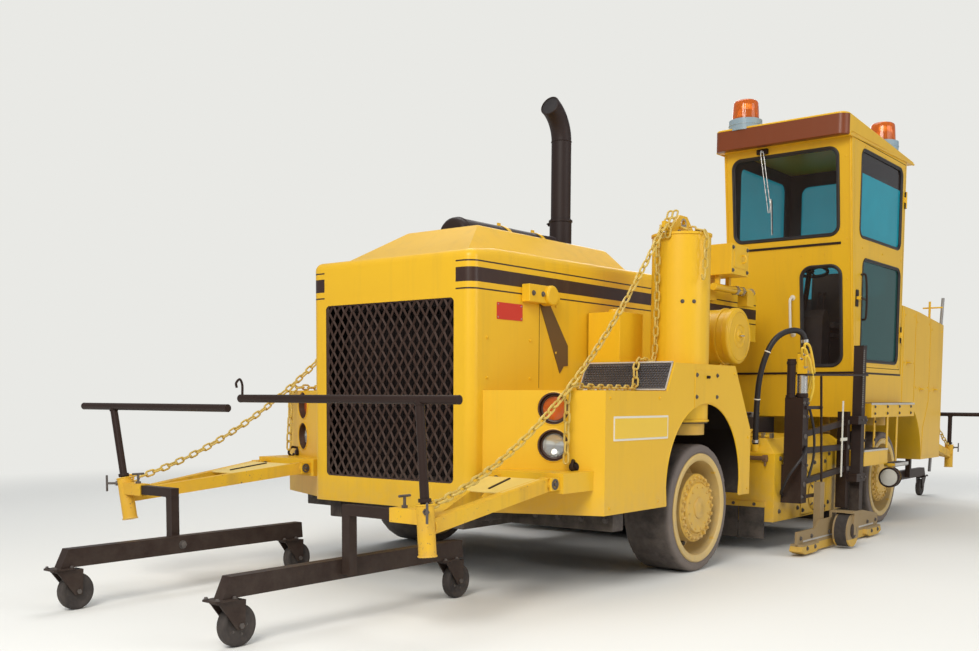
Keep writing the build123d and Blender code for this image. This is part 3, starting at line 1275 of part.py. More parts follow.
# Write the nodes
save("main_frame", main_frame())
save("leg_columns", group(*[
    to_side(leg_column(station, top_z), side) for name, station, side, top_z in LEG_TABLE
]))
for name, station, side, top_z in LEG_TABLE:
    save(f"leg_{name}", to_side(leg(station, top_z), side))
    save(f"tyre_{name}", to_side(tyre(station), side))
    save(f"rim_{name}", to_side(rim(station), side))
save("engine_hood", engine_hood())
save("grille", grille())
save("engine", engine())
save("exhaust", exhaust())
save("air_cleaner", group(air_cleaner(), side_boxes()))
save("front_fenders", both(front_fender()))
save("tread_plates", tread_plates())
save("lamp_cups", group(both(lamp_cups()), *[beacon_base(x, y) for x, y in BEACON_TABLE]))
save("headlamp_glass", both(lamp_glass(HEADLAMP_Z, HEADLAMP_R)))
save("amber_lenses", group(
    both(lamp_glass(TURN_LAMP_Z, HEADLAMP_R)), *[beacon_dome(x, y) for x, y in BEACON_TABLE]
))
save("cab_shell", cab_shell())
save("cab_roof", cab_roof())
save("cab_glass", cab_glass())
save("cab_interior", cab_interior())
save("cab_door", cab_door())
save("door_glass", door_glass())
save("rear_body", rear_body())
save("fuel_tank", fuel_tank())
save("drum_housing", drum_housing())
save("cutter_drum", cutter_drum())
save("side_linkage", both(side_linkage()))
save("hose", hose())
save("edge_plate_left", edge_plate())
save("edge_plate_right", to_side(edge_plate(), -1))
save("arm_brackets", group(both(arm_bracket(1)), both(arm_bracket(-1))))
save("arm_chains", group(*[
    to_side(chain(end, tip_x, tip_y, lean), side) for _, end, side, tip_x, tip_y, *_, lean in ARM_TABLE
]))
for name, end, side, tip_x, tip_y, ski_y, bar_in, bar_out, bar_z, lean in ARM_TABLE:
    save(f"arm_{name}", to_side(arm(end, tip_x, tip_y, lean), side))
    save(f"bars_{name}", to_side(walker_bars(tip_x, tip_y, ski_y, bar_in, bar_out, bar_z, lean), side))
    save(f"ski_{name}", to_side(ski(end, tip_x, ski_y), side))
    for place, station in zip(("outer", "inner"), caster_stations(end, tip_x)):
        save(f"caster_{name}_{place}", to_side(caster_wheel(station, ski_y), side))
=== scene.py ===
"""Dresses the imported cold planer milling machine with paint, glass, rubber and small parts, and lights it."""

import logging
import math
from dataclasses import dataclass
from enum import Enum

import bmesh
import bpy
import numpy as np
from mathutils import Matrix, Vector


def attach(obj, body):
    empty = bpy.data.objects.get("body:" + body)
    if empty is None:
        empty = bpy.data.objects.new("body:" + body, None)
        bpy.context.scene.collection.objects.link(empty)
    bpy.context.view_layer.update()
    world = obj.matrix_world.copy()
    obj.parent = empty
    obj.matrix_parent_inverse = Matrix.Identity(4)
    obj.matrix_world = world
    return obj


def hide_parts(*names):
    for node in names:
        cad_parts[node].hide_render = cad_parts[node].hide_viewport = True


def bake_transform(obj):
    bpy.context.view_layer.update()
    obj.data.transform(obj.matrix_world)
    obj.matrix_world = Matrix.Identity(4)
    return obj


logging.basicConfig(level=logging.INFO, format="%(message)s")
LOG = logging.getLogger("planer")

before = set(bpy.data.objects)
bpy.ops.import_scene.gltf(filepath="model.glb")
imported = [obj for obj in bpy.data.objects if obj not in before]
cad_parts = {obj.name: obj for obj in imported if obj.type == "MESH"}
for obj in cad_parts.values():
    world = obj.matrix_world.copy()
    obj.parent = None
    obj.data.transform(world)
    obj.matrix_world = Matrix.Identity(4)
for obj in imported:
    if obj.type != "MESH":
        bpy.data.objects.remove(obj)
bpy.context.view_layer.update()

FRONT_AXLE_X = 2.14
REAR_AXLE_X = -2.31
SHIFT = (FRONT_AXLE_X, 0.0, 0.0)
IMAGE_W = 979
IMAGE_H = 651
AWAY = 9.0

Array = np.ndarray
Colour = tuple[float, float, float]
Mesh = tuple[Array, list]
Node = bpy.types.Node
NodeTree = bpy.types.NodeTree

X, Y, Z = (1.0, 0.0, 0.0), (0.0, 1.0, 0.0), (0.0, 0.0, 1.0)
ORIGIN = (0.0, 0.0, 0.0)


class Side(Enum):
    """Side of the machine as a sign of y; BOTH stands for a mesh together with its mirror."""

    LEFT = 1
    RIGHT = -1
    BOTH = 0


# Surfaces and meshes


def grid_faces(rows: int, columns: int, wrap_rows: bool = False, wrap_columns: bool = False) -> Array:
    """Quads of a rows x columns grid of points, numbered row by row.

    Args:
        rows: number of points in the first direction.
        columns: number of points in the second direction.
        wrap_rows: joins the last row to the first.
        wrap_columns: joins the last column to the first.

    Returns:
        Faces as an (n, 4) array of indices.
    """
    r = np.arange(rows if wrap_rows else rows - 1)
    c = np.arange(columns if wrap_columns else columns - 1)
    rr, cc = np.meshgrid(r, c, indexing="ij")
    r2, c2 = (rr + 1) % rows, (cc + 1) % columns
    quads = np.stack([rr * columns + cc, r2 * columns + cc, r2 * columns + c2, rr * columns + c2], axis=-1)
    return quads.reshape(-1, 4)


def joined(*meshes: Mesh) -> Mesh:
    """Puts several meshes, pairs of points and faces, into one.

    Args:
        meshes: meshes to put together.

    Returns:
        One mesh of all their points and faces.
    """
    points, faces, start = [], [], 0
    for v, f in meshes:
        points.append(np.asarray(v, float))
        faces.extend((np.asarray(q) + start).tolist() for q in f)
        start += len(v)
    return np.concatenate(points), faces


def box(low: tuple, high: tuple) -> Mesh:
    """Box between two opposite corners: each point takes one of the two values on every axis.

    Args:
        low: corner with the small values.
        high: corner opposite to it.

    Returns:
        Mesh of eight points.
    """
    lo, hi = np.minimum(low, high), np.maximum(low, high)
    pick = np.array([[i >> 2 & 1, i >> 1 & 1, i & 1] for i in range(8)])
    faces = [[0, 1, 3, 2], [4, 6, 7, 5], [0, 4, 5, 1], [2, 3, 7, 6], [0, 2, 6, 4], [1, 5, 7, 3]]
    return np.where(pick == 1, hi, lo).astype(float), faces


def frame_along(direction: Array) -> Array:
    """Three unit vectors, the last along the direction and the first as level as it can be.

    Args:
        direction: way that the last one takes, of any length.

    Returns:
        The three as rows.
    """
    w = np.asarray(direction, float)
    w = w / np.linalg.norm(w)
    helper = np.array(Z) if abs(w[2]) < 0.9 else np.array(X)
    u = np.cross(helper, w)
    u /= np.linalg.norm(u)
    return np.stack([u, np.cross(w, u), w])


def turned(profile: list, centre: tuple, axis: tuple, sides: int = 48, closed: bool = False) -> Mesh:
    """Surface of revolution: point (r, h) of the profile goes to centre + h axis + r (cos a, sin a).

    Args:
        profile: (radius, height) pairs; a radius of zero closes the end.
        centre: point on the axis at height zero.
        axis: direction of the axis.
        sides: steps round the axis.
        closed: whether the profile is a ring of its own.

    Returns:
        Points and faces.
    """
    prof = np.asarray(profile, float)
    u, v, w = frame_along(axis)
    a = np.linspace(0, 2 * np.pi, sides, endpoint=False)
    circle = np.cos(a)[:, None] * u + np.sin(a)[:, None] * v
    pts = np.asarray(centre) + prof[:, None, 1, None] * w + prof[:, None, 0, None] * circle[None]
    faces = grid_faces(len(prof), sides, wrap_rows=closed, wrap_columns=True)[:, ::-1].tolist()
    if not closed and prof[0, 0] > 1e-6:
        faces.append(list(range(sides))[::-1])
    if not closed and prof[-1, 0] > 1e-6:
        faces.append(list(range((len(prof) - 1) * sides, len(prof) * sides)))
    return pts.reshape(-1, 3), faces


def ring(profile: list, centre: tuple, axis: tuple, sides: int = 48) -> Mesh:
    """Ring: a closed profile of (radius, height) pairs turned about the axis."""
    return turned(profile, centre, axis, sides, True)


def rod(start: tuple, end: tuple, radius: float, sides: int = 24, bevel: float = 0.0) -> Mesh:
    """Round bar from one point to another with bevelled ends, as a turned profile.

    Args:
        start: middle of one end.
        end: middle of the other.
        radius: radius of the bar.
        sides: number of sides of the round.
        bevel: width of the bevel at both ends.

    Returns:
        Closed mesh.
    """
    s, e = np.asarray(start, float), np.asarray(end, float)
    length = np.linalg.norm(e - s)
    b = min(bevel, length / 3, radius / 2)
    profile = [(0, 0), (radius - b, 0), (radius, b), (radius, length - b), (radius - b, length), (0, length)]
    if b == 0:
        profile = [(0, 0), (radius, 0), (radius, length), (0, length)]
    return turned(profile, s, e - s, sides)


def tube(path: Array, radius: float | Array, sides: int = 12, closed: bool = False) -> Mesh:
    """Tube along a path: at each point a circle stands across the mean direction of its two neighbours.

    Args:
        path: (n, 3) points.
        radius: one radius, or one for each point.
        sides: steps round the tube.
        closed: whether the path is a ring.

    Returns:
        Points and faces, with closed ends.
    """
    p = np.asarray(path, float)
    t = np.roll(p, -1, 0) - np.roll(p, 1, 0) if closed else np.gradient(p, axis=0)
    t /= np.linalg.norm(t, axis=1)[:, None]
    normals = [frame_along(t[0])[0]]
    for after in t[1:]:
        n = normals[-1] - after * np.dot(normals[-1], after)
        normals.append(n / np.linalg.norm(n))
    n = np.array(normals)
    b = np.cross(t, n)
    a = np.linspace(0, 2 * np.pi, sides, endpoint=False)
    r = np.broadcast_to(np.asarray(radius, float), (len(p),))[:, None, None]
    pts = p[:, None] + r * (np.cos(a)[None, :, None] * n[:, None] + np.sin(a)[None, :, None] * b[:, None])
    faces = grid_faces(len(p), sides, wrap_rows=closed, wrap_columns=True)[:, ::-1].tolist()
    if not closed:
        faces += [list(range(sides))[::-1], list(range((len(p) - 1) * sides, len(p) * sides))]
    return pts.reshape(-1, 3), faces


def smooth_path(knots: Array, steps: int = 12) -> Array:
    """Curve through the knots: each stretch is the cubic with the slopes of the chords beside it.

    Args:
        knots: points to pass through.
        steps: points on each stretch.

    Returns:
        Points of the curve.
    """
    k = np.asarray(knots, float)
    slope = np.gradient(k, axis=0)
    t = np.linspace(0, 1, steps, endpoint=False)[:, None]
    h00, h10 = 2 * t**3 - 3 * t**2 + 1, t**3 - 2 * t**2 + t
    h01, h11 = -2 * t**3 + 3 * t**2, t**3 - t**2
    parts = [h00 * k[i] + h10 * slope[i] + h01 * k[i + 1] + h11 * slope[i + 1] for i in range(len(k) - 1)]
    return np.concatenate([*parts, k[-1:]])


def bent(knots: list, radius: float, sides: int = 8, steps: int = 8) -> Mesh:
    """Round bar or pipe along the smooth curve through some knots."""
    return tube(smooth_path(knots, steps), radius, sides)


def prism(outline: Array, start: tuple, across: tuple, up: tuple, depth: float) -> Mesh:
    """Flat outline in the plane of two directions, carried along their cross product by depth.

    Args:
        outline: pairs of distances along across and up.
        start: origin of the outline.
        across: first direction.
        up: second direction.
        depth: thickness, with its sign.

    Returns:
        Closed mesh.
    """
    o = np.asarray(outline, float)
    a, b = np.asarray(across, float), np.asarray(up, float)
    base = np.asarray(start) + o[:, :1] * a + o[:, 1:] * b
    top = base + np.cross(a, b) * depth
    k = len(o)
    sides = [[i, (i + 1) % k, k + (i + 1) % k, k + i] for i in range(k)]
    return np.concatenate([base, top]), [list(range(k))[::-1], list(range(k, 2 * k)), *sides]


def rounded_outline(width: float, height: float, radius: float, steps: int = 6) -> Array:
    """Rectangle about the origin with arcs of the radius at its corners.

    Args:
        width: full width.
        height: full height.
        radius: radius of the corners.
        steps: parts of each arc.

    Returns:
        Pairs of distances, going round.
    """
    w, h = width / 2 - radius, height / 2 - radius
    a = np.linspace(0, np.pi / 2, steps + 1)
    arc = np.stack([np.cos(a), np.sin(a)], 1) * radius
    turn = [np.array([[c, -s], [s, c]]) for c, s in ((1, 0), (0, 1), (-1, 0), (0, -1))]
    centres = [(w, h), (-w, h), (-w, -h), (w, -h)]
    return np.concatenate([arc @ m.T + np.array(c) for m, c in zip(turn, centres)])


def repeated(mesh: Mesh, places: Array) -> Mesh:
    """Copies of a mesh at many places: points times the 3x3 part plus the shift of each 4x4 matrix.

    Args:
        mesh: mesh to copy.
        places: matrices.

    Returns:
        One mesh of all copies.
    """
    v, f = np.asarray(mesh[0], float), mesh[1]
    m = np.asarray(places, float)
    pts = np.einsum("kij,nj->kni", m[:, :3, :3], v) + m[:, None, :3, 3]
    faces = [(np.asarray(q) + i * len(v)).tolist() for i in range(len(m)) for q in f]
    return pts.reshape(-1, 3), faces


def place(point: tuple, axis: tuple = Z, spin: float = 0.0) -> Array:
    """4x4 matrix that stands the z axis along the axis at the point, turned by spin about it.

    Args:
        point: place of the origin.
        axis: way that z takes.
        spin: turn in radians.

    Returns:
        The matrix.
    """
    u, v, w = frame_along(axis)
    c, s = math.cos(spin), math.sin(spin)
    m = np.eye(4)
    m[:3, 0], m[:3, 1], m[:3, 2], m[:3, 3] = c * u + s * v, -s * u + c * v, w, point
    return m


def sided(mesh: Mesh, side: Side | None) -> Mesh:
    """The mesh as it is, mirrored for the right side with its faces still outward, or both in one.

    Args:
        mesh: mesh of the left side.
        side: side wanted, or none to leave it.

    Returns:
        Mesh of that side.
    """
    if side in (None, Side.LEFT):
        return mesh
    other = np.asarray(mesh[0], float) * np.array([1.0, -1.0, 1.0]), [list(q)[::-1] for q in mesh[1]]
    return other if side is Side.RIGHT else joined(mesh, other)


# Finishes


class Nodes:
    """Nodes of one tree: adds them, sets their inputs and links them."""

    def __init__(self, tree: NodeTree) -> None:
        """Takes the tree to fill."""
        self.tree = tree

    def node(self, kind: str, inputs: dict | None = None, **settings: object) -> Node:
        """Adds a shader node.

        Args:
            kind: node type less its first word.
            inputs: input names or numbers to a value, or to the socket that feeds them.
            settings: properties of the node itself.

        Returns:
            The node.
        """
        made = self.tree.nodes.new("ShaderNode" + kind)
        for key, value in settings.items():
            setattr(made, key, value)
        for key, value in (inputs or {}).items():
            if isinstance(value, bpy.types.NodeSocket):
                self.link(value, made.inputs[key])
            else:
                made.inputs[key].default_value = value
        return made

    def link(self, a: object, b: object) -> None:
        """Links two sockets."""
        self.tree.links.new(a, b)

    def math(self, operation: str, a: object, b: object = None, clamp: bool = False) -> object:
        """Math node of two values or sockets; gives its output socket."""
        inputs = {i: v for i, v in enumerate((a, b)) if v is not None}
        return self.node("Math", inputs, operation=operation, use_clamp=clamp).outputs[0]

    def noise(self, scale: object, detail: float, rough: float, coords: object) -> object:
        """Noise value at the coordinates, with the scale as a number or a socket."""
        inputs = {"Detail": detail, "Roughness": rough, "Scale": scale, "Vector": coords}
        return self.node("TexNoise", inputs).outputs["Fac"]

    def spread(self, value: object, low: float, gain: float) -> object:
        """Value less a low limit, times a gain, kept between zero and one."""
        return self.math("MULTIPLY", self.math("SUBTRACT", value, low), gain, clamp=True)


class Group(Nodes):
    """One shared group of shader nodes with named sockets."""

    def __init__(self, name: str, inputs: dict, outputs: tuple = ("Color", "Mask")) -> None:
        """Makes the group with its sockets.

        Args:
            name: group name.
            inputs: name to default; its form says whether it is a number, a vector or a colour.
            outputs: names; the one called Color is a colour.
        """
        super().__init__(bpy.data.node_groups.new(name, "ShaderNodeTree"))
        kinds = {1: "Float", 3: "Vector", 4: "Color"}
        for key, value in inputs.items():
            kind = kinds[len(value) if isinstance(value, tuple) else 1]
            self.tree.interface.new_socket(key, in_out="INPUT", socket_type="NodeSocket" + kind).default_value = value
        for key in outputs:
            kind = "Color" if key == "Color" else "Float"
            self.tree.interface.new_socket(key, in_out="OUTPUT", socket_type="NodeSocket" + kind)
        self.get = self.tree.nodes.new("NodeGroupInput").outputs
        self.sink = self.tree.nodes.new("NodeGroupOutput")
        self.coords = self.node("TexCoord").outputs["Object"]

    def mixed(self, mask: object, second: str) -> NodeTree:
        """Ends the group with the mask and the mix by it of the Color input and a second colour.

        Args:
            mask: socket of the mask.
            second: name of the second colour's input.

        Returns:
            The finished group.
        """
        mix = self.node("Mix", {"Factor": mask, 6: self.get["Color"], 7: self.get[second]}, data_type="RGBA")
        self.link(mix.outputs[2], self.sink.inputs["Color"])
        self.link(mask, self.sink.inputs["Mask"])
        return self.tree


GREY = (0.8, 0.8, 0.8, 1)


def mottle_group() -> NodeTree:
    """Cloudy change between two colours: noise, spread about its middle, times the amount.

    Returns:
        The group.
    """
    g = Group("Mottle", {"Color": GREY, "Faded": (0.7, 0.7, 0.7, 1), "Scale": 2.0, "Amount": 0.5})
    clouds = g.spread(g.noise(g.get["Scale"], 6.0, 0.62, g.coords), 0.38, 2.6)
    return g.mixed(g.math("MULTIPLY", clouds, g.get["Amount"], clamp=True), "Faded")


def dust_group() -> NodeTree:
    """Dust that thins out with height: (top - z) over the depth, broken up by noise.

    Returns:
        The group.
    """
    g = Group("RoadDust", {"Color": GREY, "Dust": (0.35, 0.3, 0.24, 1), "Top": 0.8, "Depth": 0.7, "Amount": 0.6})
    height = g.node("SeparateXYZ", {0: g.coords}).outputs["Z"]
    fall = g.math("DIVIDE", g.math("SUBTRACT", g.get["Top"], height), g.get["Depth"], clamp=True)
    speckle = g.spread(g.noise(9.0, 8.0, 0.7, g.coords), 0.3, 2.2)
    return g.mixed(g.math("MULTIPLY", g.math("MULTIPLY", fall, speckle), g.get["Amount"], clamp=True), "Dust")


def chips_group() -> NodeTree:
    """Small chips and scuffs: the high peaks of a fine noise, kept where a coarse noise is high too.

    Returns:
        The group.
    """
    g = Group("Chips", {"Color": GREY, "Bare": (0.12, 0.1, 0.09, 1), "Scale": 40.0, "Amount": 0.3})
    fine = g.noise(g.get["Scale"], 4.0, 0.6, g.coords)
    coarse = g.noise(3.0, 3.0, 0.5, g.coords)
    limit = g.math("SUBTRACT", 0.86, g.math("MULTIPLY", g.get["Amount"], 0.25))
    peaks = g.spread(fine, limit, 30.0)
    return g.mixed(g.math("MULTIPLY", peaks, g.spread(coarse, 0.45, 8.0)), "Bare")


def grain_group() -> NodeTree:
    """Height of a fine grain: two noises of different scale, added with a weight.

    Returns:
        The group.
    """
    g = Group("Grain", {"Scale": 60.0, "Coarse": 0.3}, ("Height",))
    fine = g.noise(g.get["Scale"], 3.0, 0.5, g.coords)
    slow = g.math("MULTIPLY", g.noise(4.0, 2.0, 0.5, g.coords), g.get["Coarse"])
    g.link(g.math("ADD", fine, slow), g.sink.inputs["Height"])
    return g.tree


def paint_box_group() -> NodeTree:
    """Mask that is one where low < (x, |y|, z) < high on every axis, and a mix of two colours by it.

    Returns:
        The group.
    """
    g = Group("PaintBox", {"Color": GREY, "Paint": (0.1, 0.1, 0.1, 1), "Low": ORIGIN, "High": (1.0, 1.0, 1.0)})
    at, low, high = (g.node("SeparateXYZ", {0: s}).outputs for s in (g.coords, g.get["Low"], g.get["High"]))
    mask = None
    for axis in "XYZ":
        value = g.math("ABSOLUTE", at[axis]) if axis == "Y" else at[axis]
        above, below = g.math("GREATER_THAN", value, low[axis]), g.math("LESS_THAN", value, high[axis])
        both = g.math("MULTIPLY", above, below)
        mask = both if mask is None else g.math("MULTIPLY", mask, both)
    return g.mixed(mask, "Paint")


def streaks_group() -> NodeTree:
    """Faint marks of water that ran down: noise of (x, y) stretched along z, kept where it is high.

    Returns:
        The group.
    """
    g = Group("Streaks", {"Color": GREY, "Mark": (0.3, 0.2, 0.1, 1), "Scale": 9.0, "Amount": 0.3})
    flat = g.node("VectorMath", {0: g.coords, 1: (1.0, 1.0, 0.06)}, operation="MULTIPLY")
    peaks = g.spread(g.noise(g.get["Scale"], 5.0, 0.6, flat.outputs[0]), 0.52, 5.0)
    return g.mixed(g.math("MULTIPLY", peaks, g.get["Amount"], clamp=True), "Mark")


class Effects:
    """Node groups shared by the finishes, each built once."""

    made: dict = {}
    builders = {"Mottle": mottle_group, "RoadDust": dust_group, "Chips": chips_group, "Grain": grain_group,
                "PaintBox": paint_box_group, "Streaks": streaks_group}

    @classmethod
    def get(cls, name: str) -> NodeTree:
        """The group of that name, built on first use.

        Args:
            name: name of the group.

        Returns:
            The group.
        """
        if name not in cls.made:
            cls.made[name] = cls.builders[name]()
        return cls.made[name]


class Shader(Nodes):
    """One material under construction: a Principled shader and the nodes that feed it."""

    def __init__(self, name: str) -> None:
        """Makes an empty material of that name with its Principled shader.

        Args:
            name: name of the material.
        """
        self.material = bpy.data.materials.new(name)
        self.material.use_nodes = True
        super().__init__(self.material.node_tree)
        self.tree.nodes.clear()
        self.out = self.node("OutputMaterial")
        self.bsdf = self.node("BsdfPrincipled")
        self.link(self.bsdf.outputs[0], self.out.inputs[0])

    def set(self, **values: object) -> None:
        """Sets plain numbers and colours on the shader's own sockets, underscores read as spaces."""
        for key, value in values.items():
            self.bsdf.inputs[key.replace("_", " ")].default_value = value

    def effect(self, name: str, colour: object = None, **values: object) -> Node:
        """Places a shared group, sets its inputs and feeds it a colour.

        Args:
            name: group name.
            colour: socket or colour for its Color input.
            values: other inputs, colours as three numbers; Low and High are corners, not colours.

        Returns:
            The group node.
        """
        made = self.tree.nodes.new("ShaderNodeGroup")
        made.node_tree = Effects.get(name)
        for key, value in values.items():
            tint = isinstance(value, tuple) and key not in ("Low", "High")
            made.inputs[key].default_value = (*value, 1) if tint else value
        if isinstance(colour, tuple):
            made.inputs["Color"].default_value = (*colour, 1.0)
        elif colour is not None:
            self.link(colour, made.inputs["Color"])
        return made

    def feed(self, colour: object, glow: float = 0.0) -> None:
        """Feeds a colour socket to the Base Color and, with a glow, to the Emission Color.

        Args:
            colour: socket.
            glow: strength of the emission.
        """
        self.link(colour, self.bsdf.inputs["Base Color"])
        if glow:
            self.link(colour, self.bsdf.inputs["Emission Color"])
            self.set(Emission_Strength=glow)

    def grain(self, scale: float, coarse: float, strength: float, distance: float) -> None:
        """Bump of a fine grain into the shader's Normal.

        Args:
            scale: scale of the fine noise.
            coarse: scale of the coarse noise.
            strength: strength of the bump.
            distance: its height in metres.
        """
        height = self.effect("Grain", None, Scale=scale, Coarse=coarse).outputs["Height"]
        made = self.node("Bump", {"Strength": strength, "Distance": distance, "Height": height})
        self.link(made.outputs[0], self.bsdf.inputs["Normal"])

    def between(self, mask: object, low: float, high: float, target: str = "Roughness") -> None:
        """Value of one of the shader's sockets that goes from low to high with a mask."""
        made = self.node("MapRange", {"To Min": low, "To Max": high, "Value": mask})
        self.link(made.outputs[0], self.bsdf.inputs[target])

    def boxed(self, colour: object, boxes: tuple) -> tuple:
        """Colour with painted boxes laid over it one after the other, and the mask of the last one.

        Args:
            colour: socket of the colour below.
            boxes: the boxes in their order.

        Returns:
            Both sockets.
        """
        mask = None
        for paint in boxes:
            made = self.effect("PaintBox", colour, Paint=paint.colour, Low=paint.low, High=paint.high).outputs
            colour, mask = made["Color"], made["Mask"]
        return colour, mask


@dataclass(frozen=True)
class PaintBox:
    """Second colour inside a box of the machine's own coordinates, the same on both sides of the machine."""

    colour: Colour
    low: tuple
    high: tuple


@dataclass(frozen=True)
class Enamel:
    """Machine enamel: coloured coat with faded clouds, chips, road dust low down and a slight peel."""

    name: str
    slot: str
    colour: Colour
    faded: Colour
    rough: float = 0.40
    fade: float = 0.35
    chips: float = 0.25
    dust: float = 0.55
    dust_top: float = 0.9
    dust_depth: float = 0.8
    coat: float = 0.10
    bare: Colour = (0.16, 0.10, 0.06)
    peel: float = 0.05
    streaks: float = 0.0
    shine: float = 0.3
    boxes: tuple = ()

    def build(self) -> bpy.types.Material:
        """Material of this enamel: clouds first, then the painted boxes, water marks, chips and dust over them.

        Returns:
            The material.
        """
        s = Shader(self.name)
        colour = s.effect("Mottle", self.colour, Faded=self.faded, Scale=1.7, Amount=self.fade).outputs["Color"]
        colour, _ = s.boxed(colour, self.boxes)
        if self.streaks:
            colour = s.effect("Streaks", colour, Mark=self.bare, Scale=9.0, Amount=self.streaks).outputs["Color"]
        chips = s.effect("Chips", colour, Bare=self.bare, Scale=55.0, Amount=self.chips)
        dust = s.effect("RoadDust", chips.outputs["Color"], Top=self.dust_top, Depth=self.dust_depth,
                        Amount=self.dust)
        s.feed(dust.outputs["Color"])
        s.between(dust.outputs["Mask"], self.rough, 0.75)
        s.grain(120.0, 1.2, self.peel, 0.004)
        s.set(Coat_Weight=self.coat, Coat_Roughness=0.15, Specular_IOR_Level=self.shine)
        return s.material


@dataclass(frozen=True)
class BareMetal:
    """Worn bare or heat-stained metal with cloudy stains and a rough grain."""

    name: str
    slot: str
    colour: Colour
    stain: Colour
    rough: float = 0.45
    metallic: float = 0.9
    stained: float = 0.6

    def build(self) -> bpy.types.Material:
        """Material of this metal.

        Returns:
            The material.
        """
        s = Shader(self.name)
        mottle = s.effect("Mottle", self.colour, Faded=self.stain, Scale=6.0, Amount=self.stained)
        s.feed(mottle.outputs["Color"])
        s.between(mottle.outputs["Mask"], self.rough, min(1.0, self.rough + 0.3))
        s.grain(160.0, 0.5, 0.12, 0.002)
        s.set(Metallic=self.metallic)
        return s.material


@dataclass(frozen=True)
class Rubber:
    """Black or grey rubber, dusty low down, with a pitted surface."""

    name: str
    slot: str
    colour: Colour
    dust_colour: Colour = (0.24, 0.20, 0.17)
    dust: float = 0.7
    top: float = 1.1
    rough: float = 0.78
    pits: float = 0.35
    wall: tuple = ()

    def build(self) -> bpy.types.Material:
        """Material of this rubber, greyer by the piece's own wear attribute where a wall colour is given.

        Returns:
            The material.
        """
        s = Shader(self.name)
        mottle = s.effect("Mottle", self.colour, Faded=self.dust_colour, Scale=7.0, Amount=self.dust * 0.6)
        colour = mottle.outputs["Color"]
        if self.wall:
            wear = s.node("Attribute", attribute_name="wear").outputs["Fac"]
            colour = s.node("Mix", {7: (*self.wall, 1), "Factor": wear, 6: colour}, data_type="RGBA").outputs[2]
        dust = s.effect("RoadDust", colour, Dust=self.dust_colour, Top=self.top, Depth=1.4, Amount=self.dust)
        s.feed(dust.outputs["Color"])
        s.grain(70.0, 1.5, self.pits, 0.006)
        s.set(Roughness=self.rough, Specular_IOR_Level=0.35)
        return s.material


@dataclass(frozen=True)
class Glazing:
    """Tinted sheet glass with a trace of dust on it, and a glow that is a painted reflection."""

    name: str
    slot: str
    colour: Colour
    alpha: float = 0.45
    rough: float = 0.04
    clear: float = 0.45
    glow: float = 0.0
    boxes: tuple = ()

    def build(self) -> bpy.types.Material:
        """Material of this glass: a see-through coloured coat with a sharp gloss, clearer inside its last box,
        and a glow of its colour that is a painted reflection.

        Returns:
            The material.
        """
        s = Shader(self.name)
        faded = tuple(min(1.0, c * 1.3) for c in self.colour)
        mottle = s.effect("Mottle", self.colour, Faded=faded, Scale=2.2, Amount=0.5)
        s.set(Alpha=self.alpha, Specular_IOR_Level=0.25)
        colour, mask = s.boxed(mottle.outputs["Color"], self.boxes)
        if mask:
            s.between(mask, self.alpha, self.clear, "Alpha")
        s.feed(colour, self.glow)
        s.between(mottle.outputs["Mask"], self.rough, self.rough + 0.1)
        return s.material


@dataclass(frozen=True)
class Lens:
    """Coloured clear moulding of a lamp, with light going through it."""

    name: str
    slot: str
    colour: Colour
    transmission: float = 0.75
    rough: float = 0.12
    glow: float = 0.0

    def build(self) -> bpy.types.Material:
        """Material of this lens.

        Returns:
            The material.
        """
        s = Shader(self.name)
        faded = tuple(c * 0.75 for c in self.colour)
        mottle = s.effect("Mottle", self.colour, Faded=faded, Scale=14.0, Amount=0.4)
        s.set(Roughness=self.rough, Transmission_Weight=self.transmission, IOR=1.45)
        s.feed(mottle.outputs["Color"], self.glow)
        return s.material


YELLOW = (0.76, 0.445, 0.016)
YELLOW_FADED = (0.67, 0.375, 0.018)
HUB_PAINT = (0.68, 0.41, 0.05)
BLACK_BROWN = (0.026, 0.014, 0.011)
STRIPE_BROWN = (0.036, 0.017, 0.013)
STRIPES = ((2.180, 2.280), (2.3185, 2.3295), (2.1275, 2.1385))
HUB_HALF = 0.276


